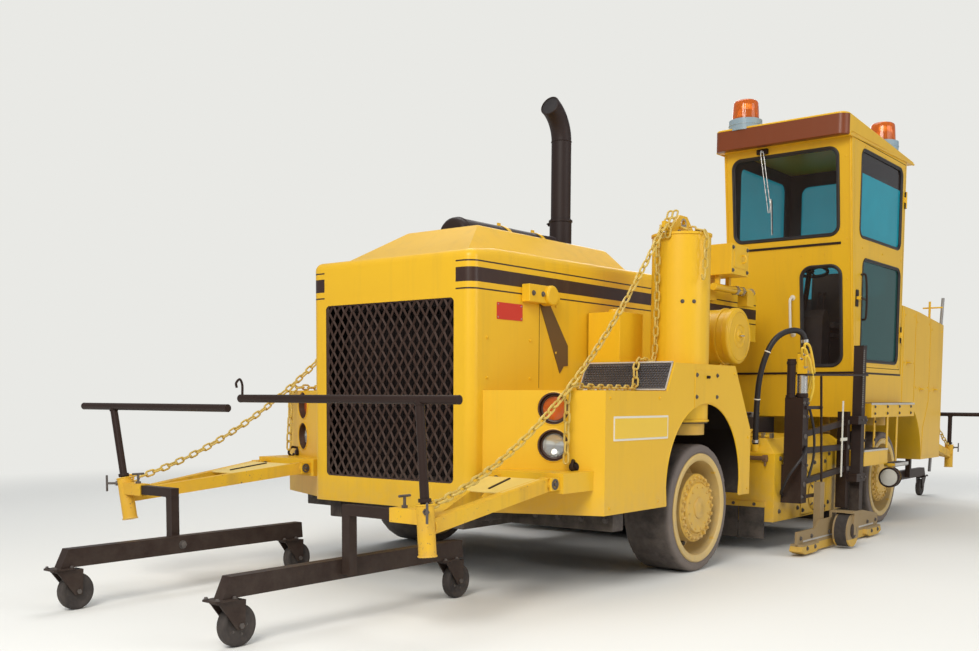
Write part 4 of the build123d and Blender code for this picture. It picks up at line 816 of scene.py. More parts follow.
class Finishes(Enum):
    """Every finish on the machine."""

    BODY_YELLOW = Enamel("body_yellow", "yellow_paint", YELLOW, YELLOW_FADED, streaks=0.10)
    HOOD_YELLOW = Enamel("hood_yellow", "yellow_paint", YELLOW, YELLOW_FADED, streaks=0.10, boxes=tuple(
        PaintBox(STRIPE_BROWN, (-AWAY, 0.655, low), (AWAY, 0.9, high)) for low, high in STRIPES))
    # The brown box over the roof's front visor is painted shade on the overhang.
    ROOF_YELLOW = Enamel("roof_yellow", "yellow_paint", YELLOW, YELLOW_FADED, streaks=0.05, boxes=(
        PaintBox((0.19, 0.045, 0.013), (-0.85, 0.0, 3.9), (1.0, 2.0, 4.186)),))
    PALE_YELLOW = Enamel("pale_yellow", "yellow_paint", (0.80, 0.60, 0.17), (0.66, 0.46, 0.12), rough=0.4)
    LINE_YELLOW = Enamel("line_yellow", "yellow_paint", (0.78, 0.52, 0.05), (0.60, 0.38, 0.05), rough=0.35,
                         dust=0.2)
    ARM_YELLOW = Enamel("arm_yellow", "yellow_paint", YELLOW, (0.56, 0.26, 0.03), rough=0.5, fade=0.7, chips=0.9,
                        streaks=0.25, dust=0.4, coat=0.0)
    PLATE_YELLOW = Enamel("plate_yellow", "yellow_paint", (0.80, 0.52, 0.04), (0.70, 0.44, 0.04), rough=0.3,
                          dust_top=0.0)
    LEG_YELLOW = Enamel("leg_yellow", "yellow_paint", (0.62, 0.36, 0.04), (0.40, 0.24, 0.06), rough=0.5, dust=0.8,
                        dust_top=1.3, dust_depth=1.0)
    CHAIN_YELLOW = Enamel("chain_yellow", "chain_yellow", (0.60, 0.42, 0.09), (0.36, 0.24, 0.08), rough=0.42,
                          chips=0.6, dust_top=0.0)
    RIM_CREAM = Enamel("rim_cream", "rim_paint", (0.66, 0.46, 0.15), (0.50, 0.36, 0.17), rough=0.5, dust=0.6,
                       dust_top=1.0, dust_depth=0.9, fade=0.6, boxes=tuple(
                           PaintBox(HUB_PAINT, (x - HUB_HALF, 1.515, 0.232), (x + HUB_HALF, 1.7, 0.784))
                           for x in (FRONT_AXLE_X, REAR_AXLE_X)))
    HUB_YELLOW = Enamel("hub_yellow", "rim_paint", HUB_PAINT, (0.50, 0.31, 0.08), rough=0.45, dust=0.7,
                        dust_top=1.0, dust_depth=0.9, fade=0.6)
    SATIN_BLACK = Enamel("satin_black", "black_paint", BLACK_BROWN, (0.042, 0.026, 0.021), rough=0.45, coat=0.0,
                         dust=0.12, shine=0.18, bare=(0.10, 0.07, 0.06))
    KHAKI = Enamel("edge_khaki", "black_paint", (0.30, 0.205, 0.090), (0.20, 0.14, 0.07), rough=0.55, coat=0.0,
                   dust=0.3, chips=0.5, boxes=(
                       PaintBox(BLACK_BROWN, (-1.02, 1.6, 0.20), (-0.78, 1.85, 2.2)),
                       PaintBox((0.60, 0.36, 0.04), (-AWAY, 1.4, -0.1), (AWAY, 2.2, 0.092))))
    # painted shadow: brown of the latch bracket's shadow on the hood side
    PAINTED_SHADOW = Enamel("strap_brown", "black_paint", (0.13, 0.070, 0.022), (0.10, 0.05, 0.018), rough=0.6, coat=0.0,
                   dust_top=0.0)
    DARK_FRAME = Enamel("dark_frame", "frame_dark", (0.026, 0.018, 0.017), (0.045, 0.034, 0.030), rough=0.6,
                        coat=0.0)
    # painted shade: near-black lining of the inward faces of the hood, fenders, rear body and drum housing, where
    # shade falls in the hollows
    INNER_DARK = Enamel("inner_dark", "frame_dark", (0.022, 0.016, 0.015), (0.040, 0.030, 0.026), rough=0.65,
                        coat=0.0)
    DARK_IRON = Enamel("dark_iron", "iron", (0.060, 0.048, 0.042), (0.035, 0.026, 0.023), rough=0.6, coat=0.0)
    PIPE_BROWN = Enamel("pipe_brown", "iron", (0.16, 0.085, 0.040), (0.09, 0.05, 0.03), rough=0.5, coat=0.0)
    MESH_BLACK = Enamel("mesh_black", "grille_mesh", (0.058, 0.034, 0.027), (0.038, 0.022, 0.018), rough=0.62,
                        coat=0.0, shine=0.15, dust=0.2, dust_top=1.2)
    MUFFLER = Enamel("muffler_black", "muffler_black", (0.024, 0.015, 0.014), (0.045, 0.030, 0.026), rough=0.48,
                     coat=0.0, shine=0.2, dust_top=0.0)
    TREAD = BareMetal("tread_plate", "tread_steel", (0.16, 0.155, 0.165), (0.07, 0.06, 0.06), rough=0.42)
    GRATING = BareMetal("grating_steel", "tread_steel", (0.20, 0.19, 0.20), (0.09, 0.08, 0.08), rough=0.4)
    WORN_EDGE = BareMetal("worn_edge", "tread_steel", (0.58, 0.56, 0.53), (0.40, 0.36, 0.30), rough=0.4,
                          metallic=0.4, stained=0.5)
    IRON = BareMetal("raw_iron", "iron", (0.13, 0.115, 0.105), (0.07, 0.05, 0.045), rough=0.6, metallic=0.5)
    DRUM = BareMetal("drum_steel", "drum_steel", (0.28, 0.25, 0.22), (0.14, 0.09, 0.06), rough=0.5)
    GREY_STEEL = BareMetal("grey_steel", "drum_steel", (0.33, 0.32, 0.32), (0.20, 0.17, 0.15), rough=0.5,
                           metallic=0.6)
    BRIGHT = BareMetal("bright_steel", "iron", (0.55, 0.54, 0.52), (0.35, 0.32, 0.28), rough=0.25, stained=0.3)
    MIRROR = BareMetal("lamp_mirror", "lamp_housing", (0.82, 0.82, 0.80), (0.70, 0.69, 0.66), rough=0.12,
                       metallic=1.0, stained=0.2)
    BEACON_GREY = Enamel("beacon_grey", "lamp_housing", (0.28, 0.36, 0.41), (0.38, 0.44, 0.47), rough=0.4,
                         dust_top=0.0)
    LAMP_DARK = Enamel("lamp_dark", "lamp_housing", (0.075, 0.035, 0.022), (0.05, 0.03, 0.02), rough=0.5,
                       dust_top=0.0, boxes=(PaintBox((0.27, 0.36, 0.42), (-AWAY, 0.0, 4.0), (AWAY, 3.0, 5.0)),))
    TYRE = Rubber("tyre_rubber", "tyre_rubber", (0.050, 0.040, 0.038), wall=(0.155, 0.128, 0.115))
    CASTER = Rubber("caster_rubber", "caster_rubber", (0.022, 0.018, 0.018), dust=0.25)
    FLAP = Rubber("flap_rubber", "caster_rubber", (0.028, 0.024, 0.023), dust=0.6)
    HOSE = Rubber("hose_rubber", "hose_rubber", (0.018, 0.015, 0.016), dust=0.0, rough=0.45, pits=0.1)
    SEAL = Rubber("window_seal", "seat_trim", (0.020, 0.017, 0.018), dust=0.1, rough=0.5, pits=0.1)
    TRIM = Rubber("cab_trim", "seat_trim", (0.035, 0.028, 0.027), dust=0.2, top=0.0, rough=0.6, pits=0.2)
    UPHOLSTERY = Rubber("seat_cloth", "seat_trim", (0.050, 0.040, 0.036), dust=0.2, top=0.0, rough=0.85, pits=0.5)
    # The teal glow of the cab glass is a painted reflection on the panes; inside the box, the front panes, it fades
    # out and the glass turns nearly clear with a brownish tint.
    CAB_GLASS = Glazing("cab_glass", "cab_glass", (0.010, 0.22, 0.28), alpha=0.80, clear=0.15, glow=0.62, boxes=(
        PaintBox((0.030, 0.020, 0.017), (-1.26, 0.0, 1.6), (-0.8, 2.0, 4.1)),))
    # Door panes: the glow and the colour boxes are painted reflection and shade, near-black at the top and at the rear
    # end, a deeper teal low down.
    DOOR_GLASS = Glazing("door_glass", "cab_glass", (0.008, 0.27, 0.35), alpha=0.80, clear=0.80, glow=0.1, boxes=(
        PaintBox((0.022, 0.016, 0.015), (-AWAY, 1.0, 3.69), (AWAY, 2.0, 5.0)),
        PaintBox((0.022, 0.030, 0.032), (-AWAY, 1.0, 3.0), (-2.66, 2.0, 5.0)),
        PaintBox((0.018, 0.075, 0.070), (-AWAY, 1.0, 0.0), (AWAY, 2.0, 3.0))))
    CLEAR = Lens("clear_lens", "clear_glass", (0.92, 0.93, 0.92), transmission=0.9, rough=0.05)
    PALE_LENS = Lens("pale_lens", "clear_glass", (0.85, 0.85, 0.80), transmission=0.35, rough=0.2)
    AMBER = Lens("amber_lens", "amber_glass", (0.70, 0.15, 0.012), transmission=0.45, glow=0.05)
    RED_LENS = Lens("red_lens", "amber_glass", (0.45, 0.02, 0.015), transmission=0.3)
    BULB = Lens("beacon_bulb", "clear_glass", (1.0, 0.85, 0.5), transmission=0.2, glow=0.8)
    RED_PLATE = Enamel("red_plate", "yellow_paint", (0.55, 0.035, 0.02), (0.45, 0.05, 0.03), rough=0.35,
                       dust_top=0.0)
    PALE_PLATE = Enamel("pale_plate", "yellow_paint", (0.74, 0.70, 0.60), (0.66, 0.62, 0.52), rough=0.4,
                        dust_top=0.0)


class Palette:
    """Materials of the finishes, each built once."""

    made: dict = {}

    @classmethod
    def of(cls, finish: Finishes) -> bpy.types.Material:
        """The material of a finish.

        Args:
            finish: the finish.

        Returns:
            Its material, made on first use.
        """
        if finish not in cls.made:
            cls.made[finish] = finish.value.build()
        return cls.made[finish]


# Pieces

MERGE = 1e-6
CAD_MERGE = 1e-5
FLAT_ANGLE = math.radians(0.6)
ROUND_ANGLE = math.radians(35)
FACING = 0.25


def added(name: str, data: bpy.types.ID) -> bpy.types.Object:
    """New object of that name and data, linked to the scene.

    Args:
        name: name of the object.
        data: its mesh, curve, light or camera.

    Returns:
        The object.
    """
    obj = bpy.data.objects.new(name, data)
    bpy.context.scene.collection.objects.link(obj)
    return obj


def dress(node: str, finish: Finishes) -> None:
    """Gives a CAD node its finish.

    Args:
        node: name of the node.
        finish: its finish.
    """
    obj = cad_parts[node]
    obj.data.materials.clear()
    obj.data.materials.append(Palette.of(finish))
    LOG.info("dressed %s in %s", node, finish.value.name)


def new_piece(
    name: str, mesh: Mesh | list, finish: Finishes, body: str | None = "chassis", replaces: tuple = (),
    smooth: float = 40.0, bevel: float = 0.0, wear: Array | None = None, side: Side | None = None,
) -> bpy.types.Object:
    """Makes one piece of the machine from points and faces, given in metres from the front axle.

    Args:
        name: piece name.
        mesh: points and faces, or a list of such meshes.
        finish: its finish.
        body: CAD body that it rides on, or nothing for a piece that is bent between two.
        replaces: CAD nodes that it stands for.
        smooth: angle in degrees under which faces shade smoothly.
        bevel: width of a rounding of its sharp edges, in metres.
        wear: share of wear of every point, for finishes that use it.
        side: side that a mesh drawn on the left is meant for.

    Returns:
        The new object.
    """
    points, faces = sided(joined(*mesh) if isinstance(mesh, list) else mesh, side)
    data = bpy.data.meshes.new(name)
    data.from_pydata((np.asarray(points, float) + SHIFT).tolist(), [], [list(q) for q in faces])
    data.update()
    if wear is not None:
        layer = data.attributes.new("wear", "FLOAT", "POINT")
        layer.data.foreach_set("value", np.asarray(wear, np.float32))
    return finished(added(name, data), finish, body, replaces, smooth, bevel)


def finished(
    obj: bpy.types.Object, finish: Finishes, body: str | None, replaces: tuple, smooth: float, bevel: float,
) -> bpy.types.Object:
    """Cleans, shades, rounds and finishes a piece, and hangs it on its body.

    Args:
        obj: the piece.
        finish: its finish.
        body: body that it rides on, or none.
        replaces: CAD nodes that it stands for.
        smooth: angle in degrees below which edges are shaded round.
        bevel: width of the rounding of its edges.

    Returns:
        The piece.
    """
    if not obj.data.materials:
        obj.data.materials.append(Palette.of(finish))
    obj.data.shade_smooth()
    edit = bmesh.new()
    edit.from_mesh(obj.data)
    bmesh.ops.remove_doubles(edit, verts=edit.verts, dist=MERGE)
    bmesh.ops.dissolve_degenerate(edit, edges=edit.edges, dist=MERGE)
    bmesh.ops.recalc_face_normals(edit, faces=edit.faces)
    limit = math.radians(smooth)
    for edge in edit.edges:
        edge.smooth = len(edge.link_faces) == 2 and edge.calc_face_angle(0.0) < limit
    edit.to_mesh(obj.data)
    edit.free()
    if bevel:
        rounding = obj.modifiers.new("rounding", "BEVEL")
        rounding.width = bevel
        rounding.segments = 2
        rounding.limit_method = "ANGLE"
        rounding.angle_limit = ROUND_ANGLE
        rounding.use_clamp_overlap = True
        rounding.harden_normals = True
    if body:
        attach(obj, body)
    if replaces:
        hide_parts(*replaces)
    LOG.info("made %s, %d faces", obj.name, len(obj.data.polygons))
    return obj


def softened(
    node: str, finish: Finishes, width: float, body: str = "chassis", inner: Finishes | None = None,
    middle: tuple | None = None,
) -> None:
    """Copy of a CAD node with its corners merged, its flat faces whole again and its sharp edges rounded.

    A face is lined with the inner finish where its normal points to the middle of the hull: where the product of
    the normal and the way to the middle is above a quarter of the distance. A near-black inner finish there is
    painted shade in the hollows. The copy stands for the node.

    Args:
        node: CAD node name.
        finish: the finish.
        width: width of the rounding in metres.
        body: body that the copy rides on.
        inner: finish of the faces that look to the middle.
        middle: that point, in metres from the front axle, taken on both sides of the machine.
    """
    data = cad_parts[node].data.copy()
    obj = added(node + "_soft", data)
    edit = bmesh.new()
    edit.from_mesh(data)
    bmesh.ops.remove_doubles(edit, verts=edit.verts, dist=CAD_MERGE)
    bmesh.ops.dissolve_limit(edit, angle_limit=FLAT_ANGLE, verts=edit.verts, edges=edit.edges)
    edit.to_mesh(data)
    edit.free()
    if "custom_normal" in data.attributes:
        data.attributes.remove(data.attributes["custom_normal"])
    data.materials.clear()
    data.materials.append(Palette.of(finish))
    if inner:
        data.materials.append(Palette.of(inner))
        centres, normals = np.empty((2, len(data.polygons) * 3))
        data.polygons.foreach_get("center", centres)
        data.polygons.foreach_get("normal", normals)
        centres, normals = centres.reshape(-1, 3), normals.reshape(-1, 3)
        target = np.tile(np.array(middle) + SHIFT, (len(centres), 1))
        target[:, 1] *= np.sign(centres[:, 1])
        way = target - centres
        facing = (way * normals).sum(1) > FACING * np.linalg.norm(way, axis=1)
        data.polygons.foreach_set("material_index", facing.astype(np.int32))
    finished(obj, finish, body, (node,), 30.0, width)


# Small parts

LINK_PITCH, LINK_LENGTH, LINK_WIDTH, LINK_WIRE = 0.068, 0.094, 0.054, 0.0078


def pair(middle: float, half: float) -> tuple:
    """The two values that lie half a width to each side of the middle."""
    return middle - half, middle + half


def lattice(xs: object, ys: object, zs: object) -> list:
    """Points at all combinations of the coordinates, each of them one number or several."""
    return [(x, y, z) for x in np.atleast_1d(xs) for y in np.atleast_1d(ys) for z in np.atleast_1d(zs)]


def hex_bolt(across: float, height: float) -> Mesh:
    """Bolt head on its washer, standing on z = 0: a six-sided profile over a round one.

    Args:
        across: width over the flats.
        height: height of the head.

    Returns:
        Mesh of both.
    """
    rim = 0.25 * height
    base = turned([(0, 0), (across * 0.72, 0), (across * 0.72, rim), (0, rim)], ORIGIN, Z, 14)
    head = turned([(0, rim * 0.9), (across / 2, rim * 0.9), (across / 2, height * 0.86), (across * 0.42, height),
                   (0, height)], ORIGIN, Z, 6)
    return joined(base, head)


def bolts(points: list, across: float, height: float, axis: tuple = Y) -> Mesh:
    """Bolt heads at many points, all along one axis, each turned a little further than the last."""
    return repeated(hex_bolt(across, height), [place(p, axis, 0.7 * i) for i, p in enumerate(points)])


def ring_points(centre: tuple, axis: tuple, radius: float, count: int, start: float = 0.0) -> Array:
    """Points on a circle: centre + radius (cos a, sin a) in the plane across the axis.

    Args:
        centre: middle of the circle.
        axis: way across its plane.
        radius: its radius.
        count: number of points.
        start: angle of the first one.

    Returns:
        The points.
    """
    u, v, _ = frame_along(axis)
    a = start + np.arange(count) * 2 * np.pi / count
    return np.asarray(centre, float) + radius * (np.cos(a)[:, None] * u + np.sin(a)[:, None] * v)


def band(inner: float, outer: float, half: float, flat: float, centre: tuple, axis: tuple, sides: int) -> Mesh:
    """Ring with sloping ends: half its length at the inner radius, half its flat top at the outer one."""
    return ring([(inner, -half), (outer, -flat), (outer, flat), (inner, half)], centre, axis, sides)


def washer(inner: float, outer: float, height: float, centre: tuple, axis: tuple, sides: int) -> Mesh:
    """Square-edged ring that stands on its centre."""
    return ring([(inner, 0), (outer, 0), (outer, height), (inner, height)], centre, axis, sides)


def plate(centre: tuple, width: float, height: float, thick: float, round_r: float, across: tuple = X) -> Mesh:
    """Upright plate with round corners standing on a face: the rounded outline carried along its normal."""
    return prism(rounded_outline(width, height, round_r), centre, across, Z, thick)


def hoop(centre: tuple, across: tuple, up: tuple, width: float, height: float, round_r: float, wire: float) -> Mesh:
    """Round bar bent along a rounded rectangle: a tube that follows the outline.

    Args:
        centre: middle of the rectangle.
        across: way of its width.
        up: way of its height.
        width: full width.
        height: full height.
        round_r: radius of its corners.
        wire: radius of the bar.

    Returns:
        Closed mesh.
    """
    o = rounded_outline(width, height, round_r, 8)
    path = np.asarray(centre, float) + o[:, :1] * np.asarray(across, float) + o[:, 1:] * np.asarray(up, float)
    return tube(path, wire, 8, closed=True)


def weld(centre: tuple, axis: tuple, radius: float, wire: float) -> Mesh:
    """Weld bead round a joint: a ring whose thickness goes up and down with a sine of the angle.

    Args:
        centre: middle of the ring.
        axis: way across it.
        radius: radius of the ring.
        wire: mean radius of the bead.

    Returns:
        Closed mesh.
    """
    n = 96
    a = np.linspace(0, 2 * np.pi, n, endpoint=False)
    return tube(ring_points(centre, axis, radius, n), wire * (1 + 0.22 * np.sin(19 * a)), 6, closed=True)


def oval_link() -> Mesh:
    """Chain link along z: a tube on two half circles joined by straight sides.

    Returns:
        Closed mesh.
    """
    r = LINK_WIDTH / 2 - LINK_WIRE
    half = LINK_LENGTH / 2 - LINK_WIRE - r
    a = np.linspace(0, np.pi, 8)
    upper = np.stack([r * np.cos(a), np.zeros(8), half + r * np.sin(a)], 1)
    return tube(np.concatenate([upper, -upper]), LINK_WIRE, 7, closed=True)


def along(path: Array, share: Array) -> tuple:
    """Points at shares of a path's length and its directions there.

    Args:
        path: (n, 3) points.
        share: shares of the length, from zero to one.

    Returns:
        (k, 3) points, (k, 3) directions and the length.
    """
    run = np.concatenate([[0], np.cumsum(np.linalg.norm(np.diff(path, axis=0), axis=1))])
    at = share * run[-1]
    spot, ahead, behind = (np.stack([np.interp(v, run, path[:, i]) for i in range(3)], -1)
                           for v in (at, at + 0.01, at - 0.01))
    return spot, ahead - behind, run[-1]


def chain_on(path: Array) -> Mesh:
    """Chain of links at equal arc lengths of a path, every second one turned by a quarter.

    Args:
        path: points of the path.

    Returns:
        Mesh of all links.
    """
    length = along(path, np.zeros(1))[2]
    count = max(1, int(length / LINK_PITCH))
    centres, steps, _ = along(path, (np.arange(count) + 0.5) / count)
    spins = [math.pi / 2 * (i % 2) + 0.12 * math.sin(2.1 * i) for i in range(count)]
    return repeated(oval_link(), [place(c, d, spin) for c, d, spin in zip(centres, steps, spins)])


def slack(top: tuple, low: tuple, sag: float) -> Array:
    """Slack line between two points: the chord less 4 sag s (1 - s) in height.

    Args:
        top: upper end.
        low: lower end.
        sag: depth of the sag at the middle.

    Returns:
        Points of the line.
    """
    s = np.linspace(0, 1, 60)[:, None]
    t, b = np.asarray(top, float), np.asarray(low, float)
    return t + (b - t) * s - np.array([0, 0, 4 * sag]) * s * (1 - s)


# Sub-assemblies, in metres from the front axle; new_piece moves them into the shared frame


@dataclass
class Wheel:
    """One wheel: solid press-on tyre on its steel band, rim with bolted hub."""

    name: str
    station: float
    side: Side
    tyre_r: float = 0.508
    tyre_half: float = 0.203
    band_r: float = 0.435
    axle_z: float = 0.508
    leg_y: float = 1.352
    hub_r: float = 0.272
    cover_r: float = 0.205
    hub_face: float = 0.180
    cover_face: float = 0.198

    def tyre(self) -> None:
        """Tyre: rounded shoulders with torn edges, grooves on the walls and a worn tread.

        The radius of each point is the profile's radius less a tear that grows at the shoulders,
        the tear being the positive part of a sum of sines of the angle.
        """
        half, r = self.tyre_half, self.tyre_r
        wall = [(self.band_r + 0.001, half - 0.008), (0.446, half - 0.004), (0.452, half - 0.001),
                (0.458, half - 0.004), (0.466, half - 0.002), (0.478, half - 0.003), (r - 0.014, half - 0.008),
                (r - 0.006, half - 0.014), (r - 0.0015, half - 0.026), (r, half - 0.05)]
        tread = [(r, w) for w in np.linspace(half - 0.09, -(half - 0.09), 9)]
        profile = np.array(wall + tread + [(a, -b) for a, b in wall[::-1]])
        count = 288
        angle = np.linspace(0, 2 * np.pi, count, endpoint=False)
        rng = np.random.default_rng(len(self.name))
        phase = rng.uniform(0, 6.28, 12)
        waves = sum(np.sin(k * angle + phase[i]) for i, k in enumerate((5, 9, 14, 22, 31, 43)))
        tear = np.clip(waves * 0.0022 - 0.001, 0, 0.007) + 0.006 * rng.uniform(0, 1, count) ** 5
        share = np.clip((np.abs(profile[:, 1]) - (half - 0.055)) / 0.05, 0, 1) * (profile[:, 0] > 0.47)
        fine = rng.normal(0, 0.0006, (len(profile), count)) * (profile[:, :1] > 0.48)
        radius = profile[:, :1] - tear[None] * share[:, None] - np.abs(fine)
        pts = np.stack([self.station + radius * np.cos(angle), self.leg_y + np.repeat(profile[:, 1:], count, 1),
                        self.axle_z + radius * np.sin(angle)], -1)
        faces = grid_faces(len(profile), count, wrap_rows=True, wrap_columns=True)
        wear = np.repeat(np.clip((np.abs(profile[:, 1]) - (half - 0.05)) / 0.04, 0, 1), count)
        new_piece(f"tyre_{self.name}_rubber", (pts.reshape(-1, 3), faces.tolist()), Finishes.TYRE,
                  f"wheel_{self.name}", (f"tyre_{self.name}",), 50.0, wear=wear, side=self.side)

    def rim(self) -> None:
        """Bolts of the hub flange and of its cover, the groove rings and the weld of the band."""
        x, y, z = self.station, self.leg_y, self.axle_z
        face, cover_y = (x, y + self.hub_face, z), y + self.cover_face
        flange = bolts(ring_points(face, Y, self.hub_r - 0.028, 24), 0.027, 0.018)
        cover = bolts(ring_points((x, cover_y, z), Y, self.cover_r - 0.035, 12, 0.2), 0.016, 0.008)
        groove = ring([(0.207, -0.004), (0.214, -0.004), (0.216, 0.006), (0.209, 0.006)], face, Y, 72)
        nave = turned([(0, 0), (0.085, 0), (0.082, 0.010), (0.06, 0.014), (0.035, 0.014), (0.03, 0.018), (0, 0.018)],
                      (x, cover_y - 0.001, z), Y)
        lip = ring([(0.378, 0.196), (0.392, 0.206), (0.424, 0.207), (0.434, 0.199), (0.430, 0.190), (0.382, 0.186)],
                   (x, y, z), Y, 96)
        boss = turned([(0, 0), (0.022, 0), (0.022, 0.03), (0.016, 0.036), (0, 0.036)], (0, 0, -0.03), Z, 12)
        studs = repeated(boss, [place(p, Y) for p in ring_points((x, y + 0.016, z), Y, 0.325, 10)])
        for part, mesh, finish in (("hub", [flange, cover, nave], Finishes.HUB_YELLOW),
                                   ("rings", [groove, lip], Finishes.RIM_CREAM), ("studs", studs, Finishes.IRON)):
            new_piece(f"rim_{self.name}_{part}", mesh, finish, f"wheel_{self.name}", side=self.side)

    def build(self) -> None:
        """Makes the wheel's pieces and paints the rim."""
        dress(f"rim_{self.name}", Finishes.RIM_CREAM)
        self.tyre()
        self.rim()


@dataclass
class Leg:
    """Dressing of one guide column and its steered leg."""

    name: str
    station: float
    side: Side
    top: float
    column_r: float = 0.230
    y: float = 1.352

    def build(self) -> None:
        """Cap ring, seam welds and grease points of the column, scraper ring and bolts of the leg."""
        x, y, r = self.station, self.y, self.column_r
        collar = ring([(r, 0), (r + 0.010, 0.004), (r + 0.010, 0.016), (r, 0.02)], (x, y, 1.192), Z, 72)
        seam = tube(lattice(x + r * math.cos(2.4), y + r * math.sin(2.4), np.linspace(1.22, self.top - 0.02, 12)),
                    0.004, 6)
        new_piece(f"column_{self.name}_collar", [collar, seam], Finishes.BODY_YELLOW, side=self.side)
        if self.top > 2:
            top_plate = bolts(ring_points((x, y, self.top + 0.018), Z, r - 0.03, 8, 0.39), 0.026, 0.014, Z)
            knobs = bolts([(x + r * math.cos(a), y + r * math.sin(a), 2.13) for a in (0.55, 0.95)], 0.022, 0.012,
                          (0.72, 0.69, 0))
            new_piece(f"column_{self.name}_bolts", [top_plate, knobs], Finishes.IRON, side=self.side)
            eye = ring([(0.032, -0.018), (0.042, -0.018), (0.046, 0), (0.042, 0.018), (0.032, 0.018)],
                       (x, y, 2.755), Y, 32)
            new_piece(f"column_{self.name}_eye", eye, Finishes.BRIGHT, side=self.side)
        scraper = washer(0.2, 0.229, 0.008, (x, y, 1.181), Z, 72)
        new_piece(f"leg_{self.name}_scraper", scraper, Finishes.SEAL, side=self.side)
        end_bolts = bolts(lattice(pair(x, 0.09), y + 0.06, 1.135), 0.034, 0.02)
        new_piece(f"leg_{self.name}_bolts", end_bolts, Finishes.LEG_YELLOW, f"leg_{self.name}", side=self.side)


@dataclass
class Hood:
    """Hood trim: expanded metal grille, radiator behind it, seams, latch, blank plate, hump edges and bolts."""

    half_w: float = 0.800
    front_x: float = 1.973
    grille_half: float = 0.640
    grille_low: float = 0.770
    grille_top: float = 2.075
    columns: int = 30
    rows: int = 11

    def mesh(self) -> None:
        """Grille of wavy upright strands: y goes up and down as a triangle wave of z, each strand against the next."""
        half, low, top = self.grille_half, self.grille_low, self.grille_top
        pitch = 2 * half / self.columns
        steps = 2 * self.rows + 1
        z = np.linspace(low - 0.004, top + 0.004, steps)
        wave = np.where(np.arange(steps) % 2 == 0, 1.0, -1.0) * (pitch / 2 - 0.0035)
        lean = 0.006 * np.sin(np.arange(steps) * np.pi / 2)
        strands = []
        for i in range(self.columns + 1):
            y = np.clip(-half + i * pitch + wave * (1 if i % 2 else -1), -half + 0.001, half - 0.001)
            path = np.stack([np.full(steps, self.front_x - 0.018) + lean, y, z], 1)
            strands.append(tube(path, 0.0115, 4))
        frame_bar = hoop((self.front_x - 0.016, 0, (low + top) / 2), Y, Z, 2 * half, top - low, 0.035, 0.011)
        new_piece("grille_mesh", [*strands, frame_bar], Finishes.MESH_BLACK, replaces=("grille",), smooth=20)
        LOG.info("grille of %d strands", self.columns + 1)

    def radiator(self) -> None:
        """Fins and header tanks of the radiator behind the grille: thin upright plates side by side."""
        fins = [box((1.762, y - 0.002, 0.80), (1.790, y + 0.002, 2.03)) for y in np.linspace(-0.58, 0.58, 78)]
        tanks = [box((1.762, -0.60, low), (1.80, 0.60, high)) for low, high in ((2.035, 2.14), (0.73, 0.795))]
        new_piece("radiator_fins", fins, Finishes.DARK_FRAME)
        new_piece("radiator_tanks", tanks, Finishes.DARK_FRAME, bevel=0.006)

    def trim(self) -> None:
        """Seams, side doors' edges, latch bracket with its painted shadow, blank red plate and rivets of both sides.
        """
        y = self.half_w
        seams = [box((x, y, low), (x + 0.004, y + 0.0015, high))
                 for x, low, high in ((1.163, 1.45, 2.105), (-0.885, 1.965, 2.44), (0.10, 1.66, 2.12))]
        new_piece("hood_seams", seams, Finishes.SATIN_BLACK, side=Side.BOTH)
        bracket = [box((1.16, y, 2.075), (1.39, y + 0.07, 2.205)),
                   rod((1.12, y, 2.135), (1.12, y + 0.10, 2.135), 0.075, 28, 0.012),
                   rod((1.02, y, 2.13), (1.02, y + 0.06, 2.13), 0.05, 24, 0.008),
                   box((1.02, y, 2.10), (1.16, y + 0.045, 2.165))]
        new_piece("hood_latch", bracket, Finishes.BODY_YELLOW, bevel=0.008)
        new_piece("hood_latch_bolts", bolts(lattice((1.34, 1.22), y + 0.07, 2.14), 0.028, 0.014), Finishes.IRON)
        # Brown strip with a forked end running down from the latch bracket: a painted shadow of the bracket on the
        # hood side, laid on as a thin plate.
        outline = [(0.0, 0.0), (-0.274, -0.511), (-0.325, -0.455), (-0.384, -0.45), (-0.381, -0.295),
                   (-0.131, 0.005)]
        new_piece("hood_painted_shadow", prism(outline, (1.164, y - 0.001, 2.075), X, Z, -0.007), Finishes.PAINTED_SHADOW, bevel=0.002)
        new_piece("red_plate", plate((1.535, y - 0.001, 1.995), 0.31, 0.12, -0.0035, 0.008), Finishes.RED_PLATE)
        rivets = bolts(lattice(pair(1.535, 0.14), y + 0.0025, pair(1.995, 0.045)), 0.009, 0.004)
        new_piece("red_plate_rivets", rivets, Finishes.BRIGHT)
        screws = lattice((1.80, 1.28), y, (1.52, 1.80)) + lattice((0.95, 0.22, -0.02, -0.80), y, (1.72, 2.07))
        new_piece("hood_screws", bolts(screws, 0.02, 0.008), Finishes.BODY_YELLOW, side=Side.BOTH)
        edge = [box((-2.68, y - 0.010, 1.955), (-0.895, y + 0.004, 1.985)),
                box((-0.905, y - 0.010, 0.62), (-0.885, y + 0.004, 1.985))]
        new_piece("hood_edge_strips", edge, Finishes.BODY_YELLOW, bevel=0.004, side=Side.BOTH)
        lifts = [bent([(x - 0.06, y, z), (x - 0.05, y, z + 0.05), (x + 0.05, y, z + 0.05), (x + 0.06, y, z)], 0.009)
                 for x, y, z in ((1.5, 0.45, 2.475), (-1.6, 0.5, 2.462), (-2.4, 0.5, 2.474))]
        new_piece("hood_handles", lifts, Finishes.SATIN_BLACK, side=Side.BOTH)

    def build(self) -> None:
        """Makes everything on the hood."""
        self.mesh()
        self.radiator()
        self.trim()


